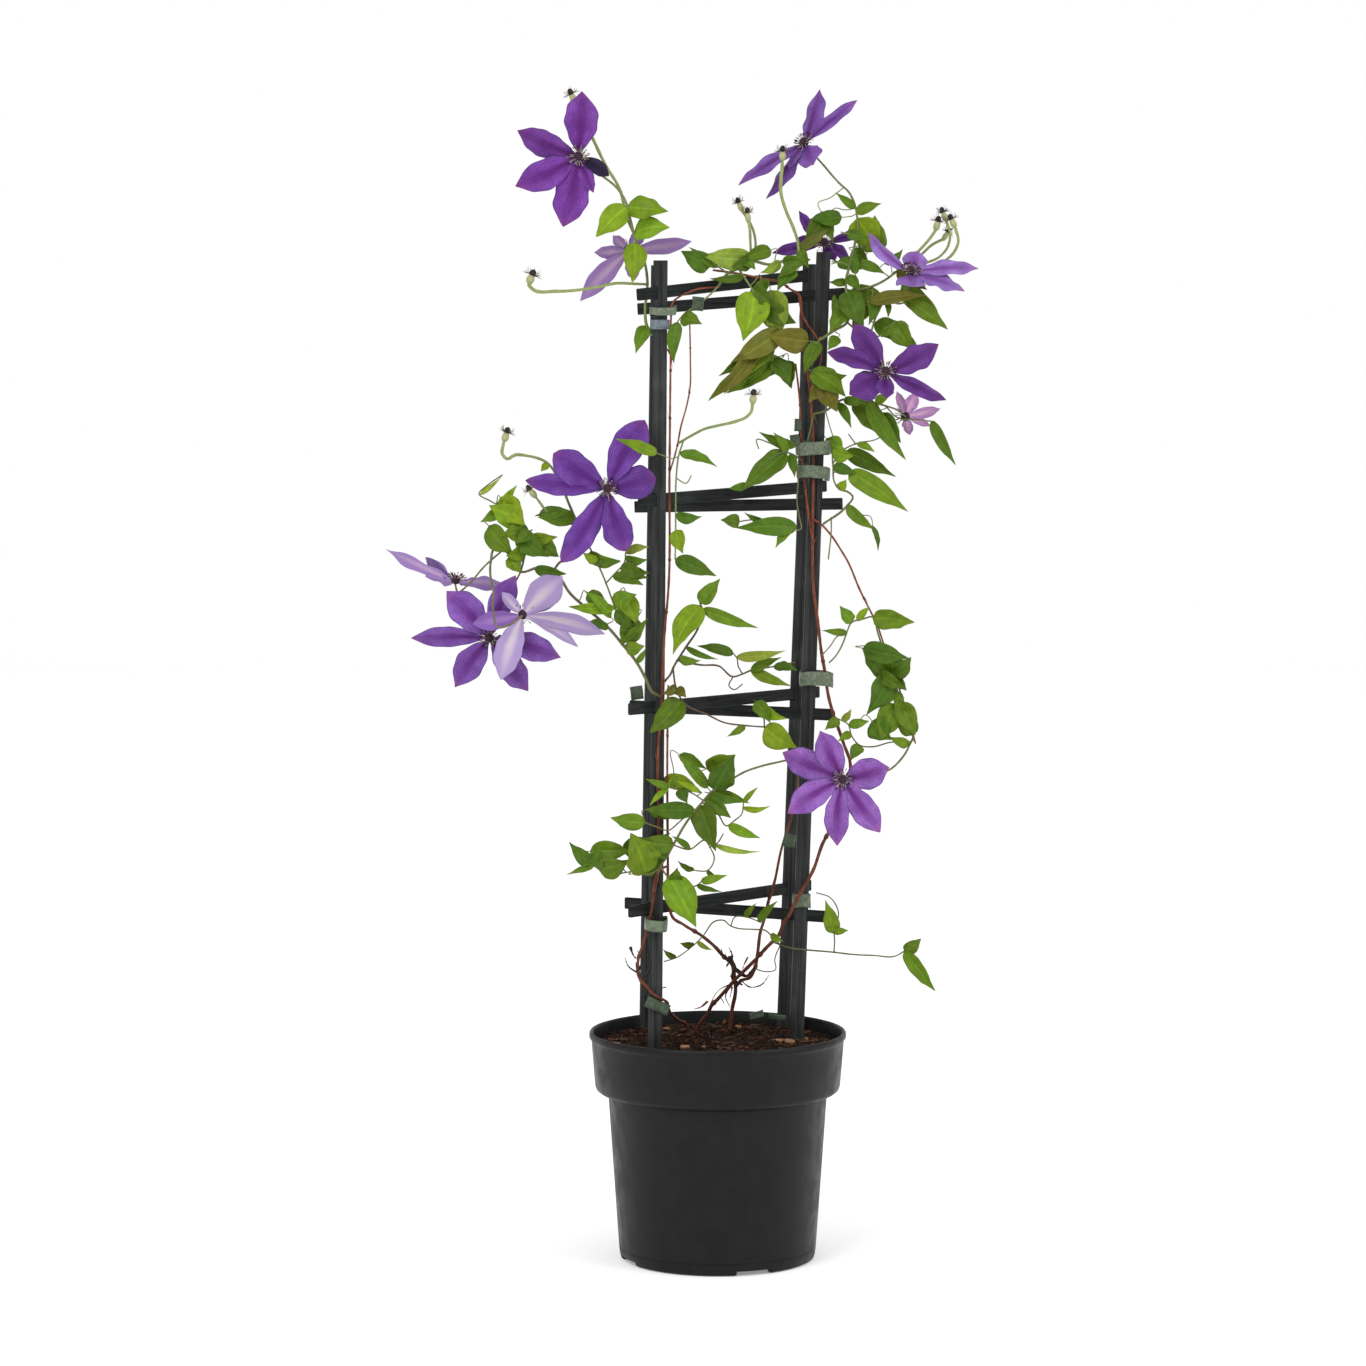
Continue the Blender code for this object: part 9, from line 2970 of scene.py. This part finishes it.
@dataclass(frozen=True)
class TepalForm:
    """Ranges and shares that shape every tepal.

    Args:
        grid: Rows and columns.
        layers: How far tepals lie before and behind the flower's plane by turns.
        stations: Share of the length and share of the wave there.
        edge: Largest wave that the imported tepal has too, as a share of the half width.
        power: Range of how fast a tepal widens from its foot.
        taper: Range of how fast it narrows to its tip.
        sway: Largest sideways bow as a share of the length.
        ripple: Range of the edge waves as a share of the half width.
        dry_ripple: Factor on them where the tepal is withered.
        dry_back: Factor on the colour of a withered tepal's underside.
        cycles: Range of how many waves there are.
        twist: Largest twist in radians.
        twist_from: Share of the length where it isn't twisted.
        crease: Range of the fold along its middle.
        scallop: Range of how far its outline waves.
        more_scallops: How many more waves the outline has than the edge.
        light: Range of the factor on its colour.
        point: How much narrower its pointed end is.
        point_from: Share of the length where that starts.
        point_length: The rest of the length.
        rib: Height of the ribs along its middle.
        rib_turns: How close they lie.
        curl_power: How near to the edge the waves stay.
        cup: How much it is cupped across.
        foot: Half its width at the foot, in centimetres.
        blotch: How far blotches change its colour.
        blotches: How fine they are.
    """

    grid: tuple = (22, 12)
    layers: tuple = (-0.03, 0.02)
    stations: tuple = ((0.22, 0.5), (0.52, 1.0), (0.82, 0.6))
    edge: float = 0.07
    power: tuple = (0.92, 1.1)
    taper: tuple = (0.74, 0.94)
    sway: float = 0.045
    ripple: tuple = (0.09, 0.18)
    dry_ripple: float = 3.0
    dry_back: float = 0.1
    cycles: tuple = (1.6, 3.0)
    twist: float = 0.35
    twist_from: float = 0.4
    crease: tuple = (-0.3, 0.22)
    scallop: tuple = (0.02, 0.05)
    more_scallops: float = 1.3
    light: tuple = (0.88, 1.12)
    point: float = 0.45
    point_from: float = 0.8
    point_length: float = 0.2
    rib: float = 0.06
    rib_turns: float = 4.2
    curl_power: float = 2.2
    cup: float = 0.13
    foot: float = 0.17
    blotch: float = 0.22
    blotches: float = 0.9


@dataclass(frozen=True)
class StamenForm:
    """Counts, sizes and ranges that shape every boss of stamens, in centimetres.

    Args:
        count: How many stamens there are.
        knob_rise: How far in front of the bloom's middle the dark knob is.
        knob_form: Radius and height of the knob.
        knob_grid: Sides and rows of the knob.
        turn: Largest change of a stamen's turn in radians.
        reach: Spread of the lowest stamen, how much less the topmost has, and its change.
        level: Height of the lowest stamen's tip, how much higher the topmost is, and its change.
        foot: Distance of a filament's foot from the axis, and how much higher the topmost starts.
        foot_rise: Height of the lowest foot.
        bend: Share of a filament's length where it bends.
        bend_rise: How far it bends forward.
        shade: Share of maroon in the lowest filament, and how much more the topmost has.
        radii: Radius of a filament at its foot and tip.
        open_share: Share of the lowest anthers that are open and pale.
        anther_reach: Distance from a filament's tip to the middle of its anther.
        anther_form: Radius and length of an anther.
        anther_grid: Sides and rows of an anther.
    """

    count: int = 46
    knob_rise: float = 0.2
    knob_form: tuple = (0.44, 0.85)
    knob_grid: tuple = (14, 6)
    turn: float = 0.15
    reach: tuple = (0.9, 0.5, 0.06)
    level: tuple = (0.22, 0.42, 0.05)
    foot: float = 0.2
    foot_rise: float = 0.08
    bend: float = 0.55
    bend_rise: float = 0.09
    shade: tuple = (0.1, 0.75)
    radii: tuple = (0.03, 0.024)
    open_share: float = 0.3
    anther_reach: float = 0.1
    anther_form: tuple = (0.045, 0.32)
    anther_grid: tuple = (5, 3)


@dataclass
class Bloom:
    """One bloom: its tepals and its boss of stamens.

    Args:
        name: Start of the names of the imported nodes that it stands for.
        thickness: Thickness of a tepal in centimetres.
        form: What shapes every tepal.
        stamens: What shapes the boss of stamens.
        dry: Bloom and number of the one withered tepal.
        folded: Bloom and number of the one darker tepal that lies folded.
    """

    name: str
    thickness: float = 0.03
    form: TepalForm = TepalForm()
    stamens: StamenForm = StamenForm()
    dry: tuple = ("bloom_01", 5)
    folded: tuple = ("bloom_11", 4)

    def build(self, finishes: Finishes) -> None:
        """Builds the bloom's pieces.

        Args:
            finishes: The materials to choose from.
        """
        centre, facing, rows = BLOOMS[self.name]
        self.centre = seen(*centre)
        self.facing = Vector(facing).normalized()
        self.petals(finishes, rows)
        self.boss(finishes)

    def petals(self, finishes: Finishes, rows: tuple) -> None:
        """Builds the tepals.

        Args:
            finishes: The materials to choose from.
            rows: Tip and width of each tepal.
        """
        sheaf = Sheaf()
        draw = random.Random(f"{self.name} {SEED}")
        extra = random.Random(f"{self.name} tepals {SEED}")
        hue = BLOOM_HUES[self.name]
        for index, row in enumerate(rows):
            own = {self.dry: WITHERED, self.folded: FOLDED}.get((self.name, index), hue)
            self.tepal(sheaf, row, self.form.layers[index % 2], draw, extra, own)
        sides = [finishes.tepal_top, finishes.tepal_under]
        thing = sheaf.piece(self.name + "_petals", sides, self.thickness)
        hand_over(thing, "tepal", self.name + "_tepals")

    def tepal(
        self, sheaf: Sheaf, row: tuple, lift: float, draw: random.Random, extra: random.Random,
        hue: BloomHue,
    ) -> None:
        """Adds one pointed tepal with ribs along its middle and waved edges.

        Args:
            sheaf: Where it goes.
            row: Its tip and width.
            lift: How far it lies in front of the flower's plane.
            draw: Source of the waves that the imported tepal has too.
            extra: Source of its finer differences.
            hue: Its colours.
        """
        form = self.form
        tip = seen(*row[0:3])
        along = (tip - self.centre).normalized()
        side = self.facing.cross(along).normalized()
        normal = along.cross(side)
        half = row[3] / 2 / shown_share(side)
        lean = Vector(BLOOM_LEANS.get(self.name, (0.0, 0.0, 0.0)))
        normal = (normal + lean - along * lean.dot(along)).normalized()
        side = normal.cross(along)
        root = self.centre + along * TEPAL_ROOT + normal * lift
        length = (tip - root).length
        arch = TEPAL_ARCH * (1.0 - TEPAL_CUP * max(0.0, along.dot(self.facing)))
        lifts = []
        for share, breadth in form.stations:
            edge = form.edge * half * breadth
            lifts.append((share, draw.uniform(-edge, edge), draw.uniform(-edge, edge)))
        dry = hue is WITHERED
        blunt = BLUNT_TEPALS.get(self.name, 0.0)
        power, taper = extra.uniform(*form.power), extra.uniform(*form.taper) - blunt
        peak = power / (power + taper)
        full = peak**power * (1.0 - peak) ** taper
        sway = extra.uniform(-form.sway, form.sway) * length
        ripple = extra.uniform(*form.ripple) * half * (form.dry_ripple if dry else 1.0)
        cycles = extra.uniform(*form.cycles)
        twist = extra.uniform(-form.twist, form.twist)
        crease = extra.uniform(*form.crease)
        scallop = extra.uniform(*form.scallop)
        phases = (extra.uniform(0.0, math.tau), extra.uniform(0.0, math.tau))
        light = extra.uniform(*form.light)
        face = shaded(hue.face, light)
        sheaf.brush["bar"] = shaded(hue.bar, light)
        sheaf.brush["back"] = shaded(hue.back, form.dry_back if dry else light)
        grid, tints = [], []
        rows, columns = form.grid
        for step in range(rows):
            v = step / rows
            breadth = v**power * (1.0 - v) ** taper / full
            breadth *= 1.0 - (form.point - blunt) * max(0.0, (v - form.point_from) / form.point_length)
            turn = Matrix.Rotation(twist * (v - form.twist_from), 3, along)
            across, rise = turn @ side, turn @ normal
            swell = math.sin(math.pi * v)
            middle = root.lerp(tip, v) + normal * (arch * swell)
            middle += side * sway * swell
            line = []
            for column in range(columns + 1):
                u = 2.0 * column / columns - 1.0
                reach = abs(u)
                ribs = form.rib * math.cos(reach * form.rib_turns * math.pi)
                ribs *= max(0.0, 1.0 - reach * 2.0)
                ribs *= swell
                edge = between(lifts, v, 1 if u < 0 else 2) * reach**EDGE_POWER
                wave = math.sin(math.tau * cycles * v + phases[u < 0])
                curl = ripple * wave * reach**form.curl_power * breadth
                cup = half * breadth * (crease * reach - form.cup * u * u)
                outline = math.sin(math.tau * (cycles + form.more_scallops) * v + phases[u > 0])
                reach_half = max(half * breadth * (1.0 + scallop * outline), form.foot * (1.0 - v) ** 2)
                spot = middle - across * (u * reach_half) + rise * (ribs + edge + curl + cup)
                line.append(spot)
            grid.append(line)
            blotches = [noise.noise(spot * form.blotches) for spot in line]
            tints.append([shaded(face, 1.0 + form.blotch * blotch) for blotch in blotches])
        sheaf.blade(grid, tip, tints)

    def boss(self, finishes: Finishes) -> None:
        """Builds the dark boss of stamens.

        Args:
            finishes: The materials to choose from.
        """
        form = self.stamens
        sheaf = Sheaf()
        draw = random.Random(f"{self.name} boss {SEED}")
        side = self.facing.orthogonal().normalized()
        up = self.facing.cross(side)
        dark, maroon, pale = BOSS_TONES
        knob = self.centre + self.facing * form.knob_rise
        sheaf.bead(knob, self.facing, *form.knob_form, dark, *form.knob_grid, maroon)
        for index in range(form.count):
            angle = math.tau * index * GOLDEN_SHARE + draw.uniform(-form.turn, form.turn)
            rise = (index + 0.5) / form.count
            spoke = side * math.cos(angle) + up * math.sin(angle)
            reach = form.reach[0] - form.reach[1] * rise + draw.uniform(-form.reach[2], form.reach[2])
            level = form.level[0] + form.level[1] * rise + draw.uniform(-form.level[2], form.level[2])
            low = self.centre + spoke * form.foot + self.facing * (form.foot_rise + form.foot * rise)
            top = self.centre + spoke * reach + self.facing * level
            bend = low.lerp(top, form.bend) + self.facing * form.bend_rise
            colour = blended(pale, maroon, form.shade[0] + form.shade[1] * rise)
            line = smooth_route([low, bend, top], FINE_STEP)
            sheaf.strand(line, *form.radii, colour, HAIR_SIDES)
            way = (top - bend).normalized() + self.facing * 0.5
            open_share = form.open_share * (1.0 - rise)
            tint = OPEN_ANTHER if draw.random() < open_share else blended(dark, maroon, draw.random())
            anther = top + way.normalized() * form.anther_reach
            sheaf.bead(anther, way, *form.anther_form, tint, *form.anther_grid)
        hand_over(sheaf.piece(self.name + "_boss", [finishes.stamen]), "stamen", self.name + "_stamens")


def corners(box: tuple) -> list[list[float]]:
    """Returns a box's two corners as plain lists of numbers."""
    return [[float(value) for value in corner] for corner in box]


def main() -> None:
    """Builds the potted plant's looks in order."""
    logging.basicConfig(level=logging.INFO, format="%(message)s")
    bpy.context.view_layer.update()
    finishes = Finishes(Effects())
    Pot().build(finishes)
    Compost().build(finishes)
    Trellis().dress(finishes)
    Ties().build(finishes)
    Woody().build(finishes)
    Twigs().build(finishes)
    Scraps().build(finishes)
    for name in STALKS:
        Shoot(name).build(finishes)
    for name in BLOOMS:
        Bloom(name).build(finishes)
    Studio().build()


if __name__ == "__main__":
    main()
